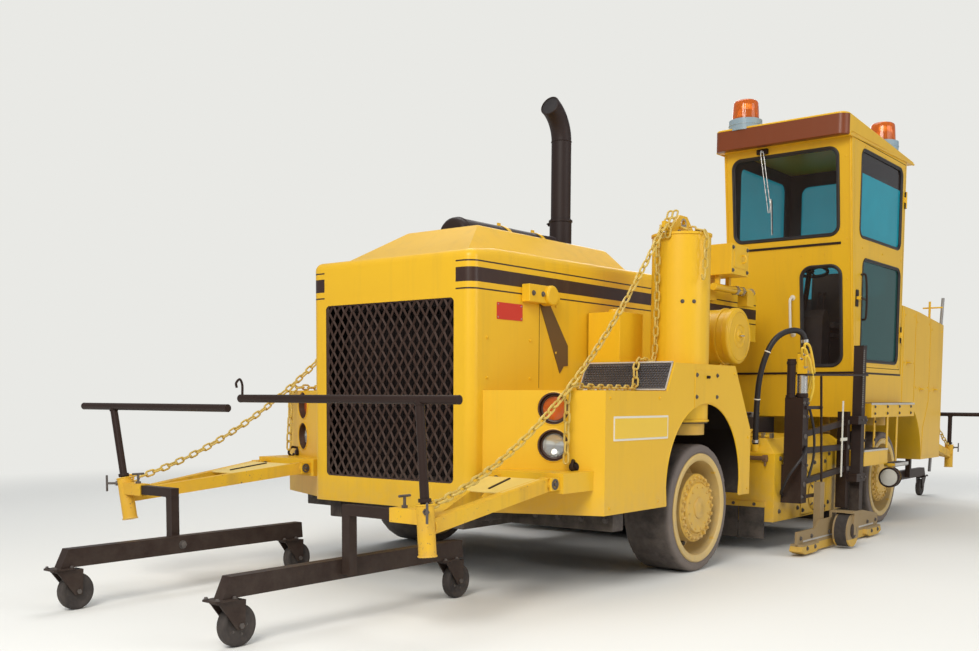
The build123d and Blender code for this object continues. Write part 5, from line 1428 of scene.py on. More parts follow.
@dataclass
class Exhaust:
    """Dressing of the muffler and its stack."""

    z: float = 2.640
    r: float = 0.150
    stack_x: float = -0.290
    stack_r: float = 0.088

    def build(self) -> None:
        """Straps round the muffler, end seams, collar rings, stack clamp and the rolled lip of the mouth."""
        z, r, sx = self.z, self.r, self.stack_x
        straps = [band(r, r + 0.006, 0.022, 0.022, (x, 0, z), X, 64) for x in (0.62, 0.14)]
        ears = [box((x - 0.02, -0.006, z + r + 0.004), (x + 0.02, 0.006, z + r + 0.028)) for x in (0.62, 0.14)]
        new_piece("muffler_straps", straps + ears, Finishes.BODY_YELLOW, bevel=0.0015)
        rolls = [ring([(r - 0.001, -0.007), (r + 0.006, 0), (r - 0.001, 0.007)], (x, 0, z), X, 64)
                 for x in (1.17, -0.10)]
        collars = [band(0.097, 0.106, 0.012, 0.008, (sx, 0, at), Z, 48) for at in (2.945, 2.72)]
        clamp_bolt = rod((sx - 0.04, -0.118, 2.93), (sx + 0.04, -0.118, 2.93), 0.007, 10)
        lug = box((sx - 0.014, -0.130, 2.915), (sx + 0.014, -0.100, 2.945))
        welds = [weld((sx, 0, 3.64), Z, self.stack_r + 0.001, 0.004), weld((sx + 0.13, 0, z), X, 0.071, 0.006)]
        new_piece("exhaust_rings", [*rolls, *collars, clamp_bolt, lug, *welds], Finishes.MUFFLER)
        turn = math.radians(68)
        way = (math.sin(turn), 0, math.cos(turn))
        mouth = (sx + 0.3 * (1 - math.cos(turn)), 0, 3.64 + 0.3 * math.sin(turn))
        lip = ring([(0.077, -0.004), (0.083, 0.0045), (0.089, 0.001), (0.0895, -0.008)], mouth, way)
        new_piece("exhaust_lip", lip, Finishes.MUFFLER)
        bore = turned([(0.0773, -0.002), (0.0765, -0.118), (0, -0.120), (0, -0.110), (0.072, -0.108),
                       (0.0752, -0.004)], mouth, way, 40)
        new_piece("exhaust_bore", bore, Finishes.SEAL)


@dataclass
class AirCleaner:
    """Rings, clamp and nut of the air cleaner, details of the valve chest and the tank box."""

    x: float = -1.240
    z: float = 1.935

    def build(self) -> None:
        """Pressed rings of the cover, its clamp band, the wing nut and the bolts of the boxes beside the hood."""
        x, z = self.x, self.z
        face = (x, 1.290, z)
        rings = [ring([(r - 0.012, -0.002), (r, 0.006), (r + 0.012, -0.002)], face, Y, 72) for r in (0.215, 0.10)]
        dish = turned([(0, 0), (0.06, 0), (0.05, 0.010), (0.02, 0.014), (0.018, 0.03), (0.01, 0.034), (0, 0.034)],
                      face, Y, 40)
        new_piece("air_cleaner_rings", [*rings, dish], Finishes.BODY_YELLOW)
        new_piece("air_cleaner_wing", box((x - 0.035, 1.306, z - 0.006), (x + 0.035, 1.325, z + 0.006)),
                  Finishes.BRIGHT, bevel=0.003)
        strap = band(0.241, 0.252, 0.012, 0.010, (x, 1.16, z), Y, 72)
        feet = [box((x - 0.14 * s - 0.02, 0.80, 1.655), (x - 0.14 * s + 0.02, 1.05, 1.76)) for s in (-1, 1)]
        new_piece("air_cleaner_band", [strap, *feet], Finishes.BODY_YELLOW, bevel=0.002)
        new_piece("valve_chest_bolts", bolts(lattice((-1.37, -1.67), 1.15, (2.54, 2.745)), 0.026, 0.014),
                  Finishes.IRON)
        handle = bent([(-1.56, 1.153, 2.62), (-1.56, 1.185, 2.625), (-1.56, 1.185, 2.68), (-1.56, 1.153, 2.685)],
                      0.007, steps=6)
        new_piece("valve_chest_cover", [plate((-1.52, 1.149, 2.642), 0.25, 0.15, -0.005, 0.02), handle],
                  Finishes.BODY_YELLOW)
        nuts = [band(0.034, 0.046, 0.025, 0.022, (at, 0.98, 2.40), X, 6) for at in (-1.80, -1.93, -2.13)]
        new_piece("valve_pipe_nuts", nuts, Finishes.BRIGHT)
        cap = turned([(0, 0), (0.05, 0), (0.055, 0.012), (0.05, 0.03), (0.03, 0.036), (0, 0.036)],
                     (0.33, 0.95, 2.05), Z, 32)
        new_piece("tank_box_cap", [cap, box((0.148, 1.099, 1.70), (0.508, 1.1015, 1.703))], Finishes.BODY_YELLOW)


@dataclass
class Fenders:
    """Fender sides: blank plate, removable panel, tread plate studs, bolts, lamps and bumper bracket."""

    y: float = 1.595
    corner_x: float = 1.505
    sweep: float = math.radians(23.2)

    @property
    def out(self) -> Array:
        """Outward normal of the swept front face."""
        return np.array([math.cos(self.sweep), math.sin(self.sweep), 0.0])

    def on_face(self, y: float, z: float, out: float) -> Array:
        """Point on the swept front face at a y and z, moved out along the face's normal."""
        x = self.corner_x + (self.y - y) * math.tan(self.sweep)
        return np.array([x, y, z]) + out * self.out

    def plates(self) -> None:
        """Blank plate with its pale border, and the panel over the arch with its screws."""
        y, both = self.y, Side.BOTH
        border = plate((1.01, y - 0.001, 1.166), 0.775, 0.172, -0.004, 0.006)
        field = plate((1.01, y - 0.001, 1.166), 0.745, 0.142, -0.006, 0.003)
        new_piece("fender_plate_border", border, Finishes.PALE_PLATE, side=both)
        new_piece("fender_plate_field", field, Finishes.PLATE_YELLOW, side=both)
        outline = [(-0.20, 1.345), (-0.17, 1.33), (-0.1, 1.341), (0.0, 1.342), (0.1, 1.33), (0.17, 1.31),
                   (0.20, 1.30), (0.20, 1.60), (-0.20, 1.60)]
        panel = prism(outline[::-1], (0.0, y - 0.001, 0.0), X, Z, -0.005)
        new_piece("fender_panel", panel, Finishes.BODY_YELLOW, bevel=0.0015, side=both)
        spots = lattice((-0.175, 0.175), y + 0.004, (1.39, 1.56))
        new_piece("fender_panel_bolts", bolts(spots, 0.024, 0.012), Finishes.IRON, side=both)
        knob = rod((0.0, y, 1.545), (0.0, y + 0.03, 1.545), 0.012, 12, 0.003)
        new_piece("fender_panel_knob", knob, Finishes.SATIN_BLACK, side=both)
        screws = lattice((1.44, 0.75), y, (0.62, 1.38)) + [(-0.79, y, 0.62), (-0.79, y, 1.05), (-0.5, y, 1.58)]
        new_piece("fender_screws", bolts(screws, 0.018, 0.007), Finishes.BODY_YELLOW, side=both)

    def arch(self) -> None:
        """Rolled edge of the wheel arch: a round bar along the cut."""
        a, y = np.radians(np.linspace(-9, 189, 60)), self.y - 0.004
        path = np.stack([0.640 * np.cos(a), np.full(60, y), 0.70 + 0.640 * np.sin(a)], 1)
        path = np.concatenate([[[0.628, y, 0.575]], path[path[:, 2] > 0.70], [[-0.628, y, 0.575]]])
        new_piece("fender_arch_edge", tube(path, 0.007, 6), Finishes.BODY_YELLOW, side=Side.BOTH)

    def treads(self) -> None:
        """Serrated grating on the ramp: rows of small four-sided studs, and the pale worn frame round it."""
        foot, head = np.array([0.630, 0.0, 1.4395]), np.array([0.525, 0.0, 1.6465])
        length = np.linalg.norm(head - foot)
        way = (head - foot) / length
        normal = np.array([way[2], 0.0, -way[0]])
        stud = turned([(0, 0), (0.0115, 0), (0.0045, 0.009), (0, 0.009)], ORIGIN, Z, 4)
        places = [place(foot + way * s + normal * 0.0055 + (0, y, 0), normal, 0.785)
                  for i, s in enumerate(np.arange(0.014, length - 0.01, 0.021))
                  for y in np.arange(0.845 + (i % 2) * 0.012, 1.56, 0.024)]
        new_piece("tread_studs", repeated(stud, places), Finishes.GRATING, side=Side.BOTH)
        bars = ((foot, 0, length, pair(0.819, 0.004)), (foot, 0, length, pair(1.576, 0.004)),
                (foot, -0.006, 0.006, (0.815, 1.580)), (head, -0.006, 0.006, (0.815, 1.580)))
        rim = [prism([(a, 0), (b, 0), (b, 0.010), (a, 0.010)], p + normal * 0.001 + (0, low, 0), way, normal,
                     high - low) for p, a, b, (low, high) in bars]
        new_piece("tread_frame", rim, Finishes.WORN_EDGE, side=Side.BOTH)

    def lamps(self) -> None:
        """Bezels, reflectors, ribbed lenses and rims of the headlamps and turn lamps, in place of the plain glass."""
        spots = [self.on_face(1.265, z, -0.045) for z in (1.050, 1.305)]
        bezels = [ring([(0.083, 0.0), (0.094, 0.004), (0.101, 0.0), (0.101, -0.02), (0.083, -0.02)], at, self.out, 64)
                  for at in spots]
        front = [(r, 0.012 - 1.3 * r * r + 0.0012 * (i % 2)) for i, r in enumerate(np.linspace(0.008, 0.082, 14))]
        back = [(r, -0.034 + 3.6 * r * r) for r in np.linspace(0.01, 0.086, 10)]
        clear, amber = (turned([(0, 0.012), *front, (0.0835, -0.006), (0, -0.006)], at, self.out, 64) for at in spots)
        mirrors = [turned([(0, -0.034), *back, (0.0885, -0.008), (0.0885, -0.036), (0, -0.036)], at, self.out)
                   for at in spots]
        new_piece("lamp_bezels", bezels, Finishes.LAMP_DARK, side=Side.BOTH)
        new_piece("lamp_mirrors", mirrors, Finishes.MIRROR, side=Side.BOTH)
        new_piece("headlamp_lens", clear, Finishes.CLEAR, replaces=("headlamp_glass",), side=Side.BOTH)
        Beacons().build(sided(amber, Side.BOTH))
        rims = [ring([(0.109, -0.006), (0.116, -0.003), (0.118, 0.004), (0.112, 0.006)],
                     self.on_face(1.265, z, 0.0), self.out, 64) for z in (1.050, 1.305)]
        new_piece("lamp_rims", rims, Finishes.BODY_YELLOW, side=Side.BOTH)

    def bracket(self) -> None:
        """Hook bracket on the bumper below the lamps, with the second chain that lies over the deck to it."""
        at = self.on_face(1.40, 0.905, 0.0)
        hook = bent([at + (0.0, 0, 0.04), at + (0.05, 0.02, 0.045), at + (0.075, 0.03, 0.0),
                     at + (0.045, 0.02, -0.03), at + (0.03, 0.01, -0.005)], 0.010)
        base = bolts([at], 0.05, 0.02, self.out)
        new_piece("bumper_hook", [hook, base], Finishes.SATIN_BLACK, side=Side.BOTH)
        deck = smooth_path([(0.245, 1.27, 2.62), (0.262, 1.285, 2.35), (0.258, 1.28, 2.0), (0.262, 1.27, 1.72),
                            (0.33, 1.27, 1.668), (0.50, 1.275, 1.672), (0.60, 1.30, 1.60), (0.665, 1.33, 1.466),
                            (0.9, 1.36, 1.452), (1.3, 1.385, 1.452), (1.585, 1.385, 1.455), (1.66, 1.39, 1.40),
                            (1.675, 1.395, 1.2), (1.69, 1.40, 0.935)], 24)
        tail = smooth_path([(0.04, 1.385, 2.74), (0.05, 1.41, 2.71), (0.09, 1.60, 2.66), (0.10, 1.612, 2.5),
                            (0.10, 1.61, 2.38)], 16)
        tip = tail[-1]
        hook_end = bent([tip, tip + (0.0, 0.0, -0.05), tip + (0.03, 0, -0.085), tip + (0.055, 0, -0.05)], 0.009)
        lumps = [chain_on(smooth_path([(0.16, y, 2.83), (0.19, y + 0.02, 2.80), (0.24, y, 2.70),
                                       (0.25, y - 0.01, 2.62)], 10)) for y in (1.325, 1.37)]
        for name, mesh in (("deck_chain", chain_on(deck)), ("short_chain", [chain_on(tail), hook_end]),
                           ("lug_chain", lumps)):
            new_piece(name, mesh, Finishes.CHAIN_YELLOW, side=Side.BOTH)

    def build(self) -> None:
        """Makes everything on the fenders."""
        self.plates()
        self.arch()
        self.treads()
        self.lamps()
        self.bracket()


@dataclass
class Beacons:
    """The two rotating beacons on the cab roof, and the lenses of the turn lamps in one piece with their domes."""

    foot_r: float = 0.170
    dome_r: float = 0.143
    sides: int = 144

    def dome(self, x: float, y: float, z: float) -> Mesh:
        """Dome with upright flutes: its radius is cut by a cosine of the angle between the two rims.

        Args:
            x: station of its middle.
            y: offset of its middle.
            z: height of its foot.

        Returns:
            Closed mesh.
        """
        heights = np.array([0.0, 0.010, 0.012, 0.05, 0.10, 0.15, 0.18, 0.196, 0.207, 0.213, 0.215])
        radii = np.array([self.dome_r, self.dome_r, 0.138, 0.136, 0.133, 0.130, 0.127, 0.119, 0.102, 0.07, 0.0])
        a = np.linspace(0, 2 * np.pi, self.sides, endpoint=False)
        flute = 1 - 0.012 * (0.5 + 0.5 * np.cos(24 * a))[None] * ((heights > 0.02) & (heights < 0.19))[:, None]
        r = radii[:, None] * flute
        pts = np.stack([x + r * np.cos(a), y + r * np.sin(a), z + np.repeat(heights[:, None], self.sides, 1)], -1)
        faces = grid_faces(len(heights), self.sides, wrap_columns=True).tolist() + [list(range(self.sides))]
        return pts.reshape(-1, 3), faces

    def build(self, lamp_lenses: Mesh) -> None:
        """Domes with upright flutes, rings of the bases, reflectors and bulbs inside.

        Args:
            lamp_lenses: lenses of the turn lamps, which share the CAD node of the domes.
        """
        foot = self.foot_r
        domes, rings, mirrors, bulbs = [], [], [], []
        for at in ((-3.050, 0.470, 4.295), (-4.500, 1.420, 4.2023)):
            domes.append(self.dome(*at))
            rings.append(ring([(0.143, -0.012), (0.158, -0.010), (0.162, -0.002), (0.158, 0.006), (0.1435, 0.006)],
                              at, Z, 96))
            rings.append(band(foot - 0.002, foot + 0.004, 0.006, 0.004, (at[0], at[1], at[2] - 0.052), Z, 96))
            mirrors.append(turned([(0, 0.005), (0.075, 0.005), (0.095, 0.03), (0.075, 0.10), (0.03, 0.13),
                                   (0, 0.132)], at, Z, 40))
            bulbs.append(turned([(0, 0.12), (0.022, 0.122), (0.03, 0.145), (0.022, 0.168), (0, 0.174)], at, Z, 24))
        new_piece("amber_mouldings", [lamp_lenses, *domes], Finishes.AMBER, replaces=("amber_lenses",))
        new_piece("beacon_rings", rings, Finishes.BEACON_GREY)
        new_piece("beacon_mirrors", mirrors, Finishes.MIRROR)
        new_piece("beacon_bulbs", bulbs, Finishes.BULB)


@dataclass
class Cab:
    """Cab dressing: window gaskets, wiper, trim bars, handles, roof gutter, seat and the parts inside."""

    near_y: float = 1.590
    far_y: float = 0.225
    rear_x: float = -4.830
    low_x: float = -3.330
    lean: float = 0.26 / 2.375

    @property
    def normal(self) -> Array:
        """Outward normal of the front wall."""
        a = math.atan(self.lean)
        return np.array([math.cos(a), 0.0, -math.sin(a)])

    def front(self, y: float, z: float, out: float = 0.0) -> Array:
        """Point of the leaning front wall at a y and z, moved out square to the wall."""
        return np.array([self.low_x + (z - 1.655) * self.lean, y, z]) + out * self.normal

    def gaskets(self) -> None:
        """Rubber gasket round every opening: a flat ring laid on the wall, thicker at the glass."""
        a = math.atan(self.lean)
        up = (math.sin(a), 0.0, math.cos(a))
        rings, door = [], []
        for y0, y1, z0, z1, r in ((0.325, 1.445, 3.05, 3.90, 0.09), (1.05, 1.464, 1.725, 2.74, 0.11)):
            for grow, wire, out in ((0.006, 0.013, 0.001), (-0.010, 0.010, -0.006)):
                rings.append(hoop(self.front((y0 + y1) / 2, (z0 + z1) / 2, out), Y, up, y1 - y0 + 2 * grow,
                                  (z1 - z0) / math.cos(a) + 2 * grow, r + grow, wire))
        for store, wall, lips, spans in (
            (rings, self.far_y, ((0.006, 0.013, -0.001), (-0.010, 0.010, 0.006)),
             ((-4.65, -3.42, 3.04, 3.90), (-4.65, -3.50, 1.90, 2.80))),
            (door, self.near_y, ((0.004, 0.010, 0.0), (-0.010, 0.010, -0.008)),
             ((-4.69, -3.38, 3.04, 3.92), (-4.71, -3.50, 1.775, 2.825))),
        ):
            for x0, x1, z0, z1 in spans:
                store += [hoop(((x0 + x1) / 2, wall + out, (z0 + z1) / 2), X, Z, x1 - x0 + 2 * grow,
                               z1 - z0 + 2 * grow, 0.09 + grow, wire) for grow, wire, out in lips]
        rings.append(hoop((self.rear_x - 0.001, 0.905, 3.22), Y, Z, 1.022, 1.332, 0.096, 0.013))
        new_piece("cab_gaskets", rings, Finishes.SEAL)
        new_piece("door_gaskets", door, Finishes.SEAL, "door")

    def wiper(self) -> None:
        """Wiper: two thin rods from the pivot to the blade holder, the blade and its motor cover."""
        pivot, knee = self.front(0.66, 3.955, 0.03), self.front(0.735, 3.33, 0.035)
        rods = [tube([pivot + (0, d, 0), knee + (0, d, 0)], 0.005, 8) for d in (-0.016, 0.016)]
        tip, low = self.front(0.75, 3.47, 0.028), self.front(0.75, 3.10, 0.028)
        pin = rod(self.front(0.66, 3.955, -0.01), self.front(0.66, 3.955, 0.045), 0.016, 20, 0.003)
        new_piece("wiper_arm", [*rods, tube([knee, tip], 0.006, 8), tube([tip, low], 0.006, 8), pin],
                  Finishes.BRIGHT)
        new_piece("wiper_blade", tube([self.front(0.75, z, 0.014) for z in (3.46, 3.11)], 0.009, 4), Finishes.SEAL)
        cover = box(self.front(0.60, 3.93) + (-0.02, 0, 0), self.front(0.72, 3.98) + (0.03, 0, 0))
        new_piece("wiper_motor", cover, Finishes.SATIN_BLACK, bevel=0.006)

    def trim(self) -> None:
        """Dark strip under the upper window, seams, bottom flange, gutter, screws and the pale bracket."""
        near, far, rear = self.near_y, self.far_y, self.rear_x
        strip = prism([(-0.59, -0.012), (0.59, -0.012), (0.59, 0.012), (-0.59, 0.012)], self.front(0.88, 2.962), Y,
                      np.cross(self.normal, Y), 0.012)
        new_piece("cab_front_strip", strip, Finishes.SATIN_BLACK, bevel=0.002)
        flange = box((rear - 0.004, far - 0.006, 1.640), (self.low_x + 0.012, near + 0.006, 1.662))
        new_piece("cab_bottom_flange", flange, Finishes.SATIN_BLACK, bevel=0.003)
        beads = [tube([self.front(y, z, 0.004) for z in (1.70, 3.97)], 0.006, 6) for y in (0.245, 1.572)]
        beads += [tube([(rear + 0.004, y, z) for z in (1.70, 3.97)], 0.006, 6) for y in (0.245, 1.572)]
        new_piece("cab_corner_beads", beads, Finishes.BODY_YELLOW)
        screws = [self.front(y, z) for y in (0.27, 1.53) for z in (1.80, 2.2, 2.6, 3.0, 3.4, 3.8)]
        screws += [self.front(y, 2.86) for y in (0.45, 0.75, 1.05, 1.30)]
        new_piece("cab_front_screws", bolts(screws, 0.016, 0.006, self.normal), Finishes.BODY_YELLOW)
        reach = ((0.0, 2.06), (0.055, 2.075), (0.075, 2.12), (0.075, 2.38), (0.055, 2.425), (0.0, 2.44))
        grip = bent([self.front(0.955, z) + (x, 0, 0) for x, z in reach], 0.014, 10)
        pads = bolts([self.front(0.955, z) for z in (2.06, 2.44)], 0.04, 0.012, self.normal)
        new_piece("cab_front_grip", [grip, pads], Finishes.PALE_PLATE)
        gutters = [tube([(-5.055, y, 4.035), (-2.99, y, 3.992)], 0.012, 8) for y in (near + 0.006, far - 0.04)]
        new_piece("roof_gutters", gutters, Finishes.BODY_YELLOW)
        vent = turned([(0, 0), (0.10, 0), (0.11, 0.02), (0.09, 0.05), (0.03, 0.065), (0, 0.065)],
                      (-3.9, 0.75, 4.135), Z)
        seam = box((-3.902, far - 0.03, 4.08), (-3.898, near, 4.082))
        new_piece("roof_vent", [vent, seam], Finishes.BODY_YELLOW)

    def door(self) -> None:
        """Door handle with its plate, inner grab bar and screws, all on the door."""
        y = self.near_y
        x = self.low_x + (2.41 - 1.655) * self.lean - 0.102
        lever = bent([(x, y + 0.044, 2.41), (x - 0.05, y + 0.05, 2.405), (x - 0.13, y + 0.046, 2.40)], 0.010, 10)
        new_piece("door_handle", [plate((x, y - 0.001, 2.41), 0.075, 0.17, -0.009, 0.012), lever],
                  Finishes.SATIN_BLACK, "door")
        screws = lattice((-4.74, -3.47), y, (1.745, 2.93, 3.955)) + lattice(-4.1, y, (2.93, 3.955))
        new_piece("door_screws", bolts(screws, 0.016, 0.006), Finishes.BODY_YELLOW, "door")
        bar = bent([(-3.52, y, 2.20), (-3.50, y + 0.05, 2.24), (-3.47, y + 0.05, 2.62), (-3.45, y, 2.66)], 0.011, 10)
        new_piece("door_grab_bar", bar, Finishes.SATIN_BLACK, "door")

    def cushion(self, name: str, centre: tuple, size: tuple, up: tuple, out: tuple) -> None:
        """Crowned cushion with sewn channels.

        Its top is a dome, the height being a power of one less the fourth powers of the two shares of its half
        sizes, and shallow channels cut it with a narrow cosine.

        Args:
            name: piece name.
            centre: middle of its top.
            size: half sizes along out and across it, and the height of the dome.
            up: direction of the dome.
            out: direction of the channels' row.
        """
        n = 40
        u, v = np.meshgrid(np.linspace(-1, 1, n), np.linspace(-1, 1, n), indexing="ij")
        crown = np.clip(1 - u**4, 0, 1) ** 0.4 * np.clip(1 - v**4, 0, 1) ** 0.4
        channel = 0.10 * np.clip(np.cos(u * np.pi * 3.0) - 0.90, 0, 1) * 10 * (np.abs(v) < 0.92)
        height = crown * (1 - channel * 0.18)
        a, b, w = np.array(out), np.cross(up, out), np.array(up)
        squeeze = 1 - 0.05 * (1 - crown)
        top = (np.array(centre) + (u * size[0] * squeeze)[..., None] * a + (v * size[1] * squeeze)[..., None] * b
               + (height * size[2])[..., None] * w)
        under = top - (height * 2 * size[2] * 0.93)[..., None] * w
        grid = grid_faces(n, n)
        faces = grid.tolist() + (grid[:, ::-1] + n * n).tolist()
        mesh = np.concatenate([top.reshape(-1, 3), under.reshape(-1, 3)]), faces
        piece = new_piece(name, mesh, Finishes.UPHOLSTERY, smooth=70)

    def seat(self) -> None:
        """Upholstered seat with its piping and stand, floor, desk, steering wheel, levers and dials."""
        x, y, z = -4.225, 0.900, 2.115
        self.cushion("seat_cushion", (x, y, z + 0.06), (0.255, 0.25, 0.062), Z, X)
        self.cushion("seat_back", (-4.505, y, 2.495), (0.33, 0.24, 0.055), X, Z)
        floor = box((-4.815, 0.245, 1.660), (-3.345, 1.570, 1.697))
        rungs = [box((gx, 0.30, 1.697), (gx + 0.012, 1.52, 1.702)) for gx in np.arange(-4.75, -3.45, 0.06)]
        foot = prism([(-0.19, 0), (0.19, 0), (0.15, 0.30), (0.16, 0.38), (-0.16, 0.38), (-0.15, 0.30)],
                     (x, y + 0.16, 1.697), X, Z, 0.32)
        tray = box((x - 0.22, y - 0.22, 2.06), (x + 0.22, y + 0.22, 2.10))
        desk = prism([(0.11, 0), (0.11, 0.56), (0.02, 0.64), (-0.06, 0.62), (-0.11, 0.50), (-0.06, 0)],
                     (-3.67, y + 0.26, 1.697), X, Z, 0.52)
        new_piece("cab_floor_plate", [floor, *rungs, foot, tray, desk], Finishes.TRIM, replaces=("cab_interior",),
                  bevel=0.006)
        lean, hub = (-130, 0, 520), np.array([-3.831, 0.9, 2.78])
        column = [rod((-3.67, 0.9, 2.24), (-3.832, 0.9, 2.785), 0.028, 20, 0.004),
                  turned([(0, 0), (0.05, 0), (0.055, 0.01), (0.04, 0.03), (0, 0.034)], (-3.825, 0.9, 2.765), lean, 28)]
        u, v, _ = frame_along(lean)
        spokes = [rod(hub, hub + 0.19 * (math.cos(t) * u + math.sin(t) * v), 0.009, 10, 0.002)
                  for t in (0.5, 2.6, 4.7)]
        new_piece("steering_column", column + spokes, Finishes.SATIN_BLACK)
        new_piece("seat_piping", hoop((x, y, z + 0.045), X, Y, 0.50, 0.49, 0.05, 0.007), Finishes.SEAL)
        grip = [(0.189 + 0.018 * math.cos(t), 0.018 * math.sin(t)) for t in np.linspace(0, 6.283, 14, endpoint=False)]
        new_piece("steering_wheel_grip", ring(grip, hub, lean, 56), Finishes.SEAL)
        spots = (0.68, 0.74, 1.06, 1.12)
        levers = [rod((-3.66, yy, 2.31), (-3.70, yy, 2.50), 0.008, 10, 0.002) for yy in spots]
        knobs = [turned([(0, -0.02), (0.016, -0.012), (0.02, 0), (0.016, 0.012), (0, 0.02)], (-3.703, yy, 2.51), Z, 16)
                 for yy in spots]
        new_piece("cab_levers", levers + knobs, Finishes.SATIN_BLACK)
        dials = [turned([(0, 0), (0.032, 0), (0.036, 0.004), (0.03, 0.012), (0, 0.010)], (-3.782, yy, 2.22),
                        (-1, 0, 0), 24) for yy in (0.76, 0.86, 0.96, 1.06)]
        new_piece("cab_dials", dials, Finishes.BRIGHT)

    def build(self) -> None:
        """Makes everything on the cab."""
        self.gaskets()
        self.wiper()
        self.trim()
        self.door()
        self.seat()


@dataclass
class RearBody:
    """Rear body dressing: panels with their handles, seams, step treads, work lamp, posts and rear lights."""

    y: float = 1.595
    rear_x: float = -6.500

    def panels(self) -> None:
        """Raised door panels on both sides and at the rear, with handles, hinges and screws."""
        y, rear = self.y, self.rear_x
        outlines = (((-5.33, 1.20), (-5.33, 2.385), (-4.90, 2.405), (-4.90, 1.20)),
                    ((-5.92, 1.42), (-5.92, 2.335), (-5.355, 2.385), (-5.355, 1.35)),
                    ((-6.47, 0.70), (-6.47, 2.29), (-5.945, 2.335), (-5.945, 1.36), (-5.76, 1.05), (-5.72, 0.70)))
        sides = [prism(outline, (0, y - 0.001, 0), X, Z, -0.006) for outline in outlines]
        new_piece("rear_panels", sides, Finishes.BODY_YELLOW, bevel=0.002, side=Side.BOTH)
        spots = ((-5.63, 1.50), (-6.2, 1.5), (-5.1, 1.8))
        grips = [bent([(x - 0.05, y + 0.004, z), (x - 0.045, y + 0.04, z), (x + 0.045, y + 0.04, z),
                       (x + 0.05, y + 0.004, z)], 0.008) for x, z in spots]
        pads = [plate((x, y + 0.004, z), 0.15, 0.07, -0.004, 0.012) for x, z in spots]
        new_piece("rear_handles", grips + pads, Finishes.BODY_YELLOW, side=Side.BOTH)
        screws = [p for xs, zs in (((-4.94, -5.29), (1.25, 1.8, 2.34)), ((-5.40, -5.88), (1.52, 2.28)),
                                   ((-5.99, -6.43), (1.48, 2.22))) for p in lattice(xs, y + 0.005, zs)]
        new_piece("rear_screws", bolts(screws, 0.018, 0.007), Finishes.BODY_YELLOW, side=Side.BOTH)
        doors = [plate((rear - 0.005, s * 0.78, 1.55), 1.42, 1.25, 0.006, 0.03, Y) for s in (-1, 1)]
        new_piece("rear_doors", doors, Finishes.BODY_YELLOW, bevel=0.002)
        hinges = [rod((rear - 0.012, s * 1.50, z - 0.05), (rear - 0.012, s * 1.50, z + 0.05), 0.011, 14, 0.002)
                  for s in (-1, 1) for z in (1.10, 2.0)]
        pulls = [bent([(rear - 0.004, s * 0.13, 1.48), (rear - 0.04, s * 0.13, 1.485), (rear - 0.04, s * 0.13, 1.60),
                       (rear - 0.004, s * 0.13, 1.61)], 0.008) for s in (-1, 1)]
        new_piece("rear_hinges", hinges + pulls, Finishes.SATIN_BLACK)
        slats = [prism([(0, 0), (0.022, -0.016), (0.022, -0.010), (0, 0.008)], (rear - 0.004, s * 0.78 - 0.4, z),
                       (-1, 0, 0), Z, 0.8) for s in (-1, 1) for z in np.arange(1.72, 2.06, 0.045)]
        new_piece("rear_louvres", slats, Finishes.BODY_YELLOW)
        lights = [rod((rear, s * 1.45, 0.80), (rear - 0.03, s * 1.45, 0.80), 0.055, 32, 0.008) for s in (-1, 1)]
        new_piece("rear_lights", lights, Finishes.RED_LENS)

    def steps(self) -> None:
        """Grating on the shelf and the steps, edges and bolts of the hangers, the face of the work lamp."""
        bars = []
        for x0, x1, y0, y1, z in ((-4.82, -3.42, 1.61, 1.75, 1.335), (-3.84, -3.15, 1.62, 1.775, 0.860),
                                  (-4.33, -3.915, 1.755, 1.850, 0.700)):
            bars += [box((x - 0.004, y0, z), (x + 0.004, y1, z + 0.006)) for x in np.arange(x0 + 0.02, x1, 0.045)]
            bars += [box((x0, y - 0.003, z), (x1, y + 0.003, z + 0.008))
                     for y in np.linspace(y0 + 0.01, y1 - 0.01, 4)]
        new_piece("step_gratings", bars, Finishes.GRATING)
        noses = [box((-4.842, 1.755, 1.320), (-3.398, 1.764, 1.339)),
                 box((-3.862, 1.784, 0.845), (-3.128, 1.794, 0.864)),
                 box((-4.342, 1.855, 0.672), (-3.903, 1.864, 0.702))]
        new_piece("step_noses", noses, Finishes.WORN_EDGE, bevel=0.002)
        under = box((-4.34, 1.742, 0.662), (-3.905, 1.858, 0.671))
        new_piece("step_under", under, Finishes.GREY_STEEL, bevel=0.002)
        heads = bolts(lattice((-4.7, -4.3, -3.9, -3.5), 1.762, (1.23, 1.30)), 0.022, 0.012)
        hangers = bolts(lattice((-3.47, -3.79), 1.672, (0.95, 1.14)), 0.022, 0.012)
        new_piece("step_bolts", [heads, hangers], Finishes.IRON)
        at = (-3.925 + 0.045, 1.805, 0.550)
        rim = ring([(0.088, 0.004), (0.098, 0.010), (0.108, 0.004), (0.109, -0.02), (0.088, -0.004)], at, X, 72)
        new_piece("work_lamp_rim", rim, Finishes.SATIN_BLACK)
        rings = [(r, 0.012 - 1.1 * r * r + 0.001 * (i % 2)) for i, r in enumerate(np.linspace(0.008, 0.089, 16))]
        new_piece("work_lamp_lens", turned([(0, 0.012), *rings, (0, 0.0005)], at, X, 64), Finishes.PALE_LENS)
        bolt = rod((-3.925, 1.805, 0.645), (-3.925, 1.805, 0.672), 0.016, 16, 0.003)
        fins = [ring([(0.1045, -0.004), (0.109, 0), (0.1045, 0.004)], (-3.925 - 0.01 * i, 1.805, 0.55), X)
                for i in (-1, 1, 3)]
        new_piece("work_lamp_body", [bolt, *fins], Finishes.SATIN_BLACK)

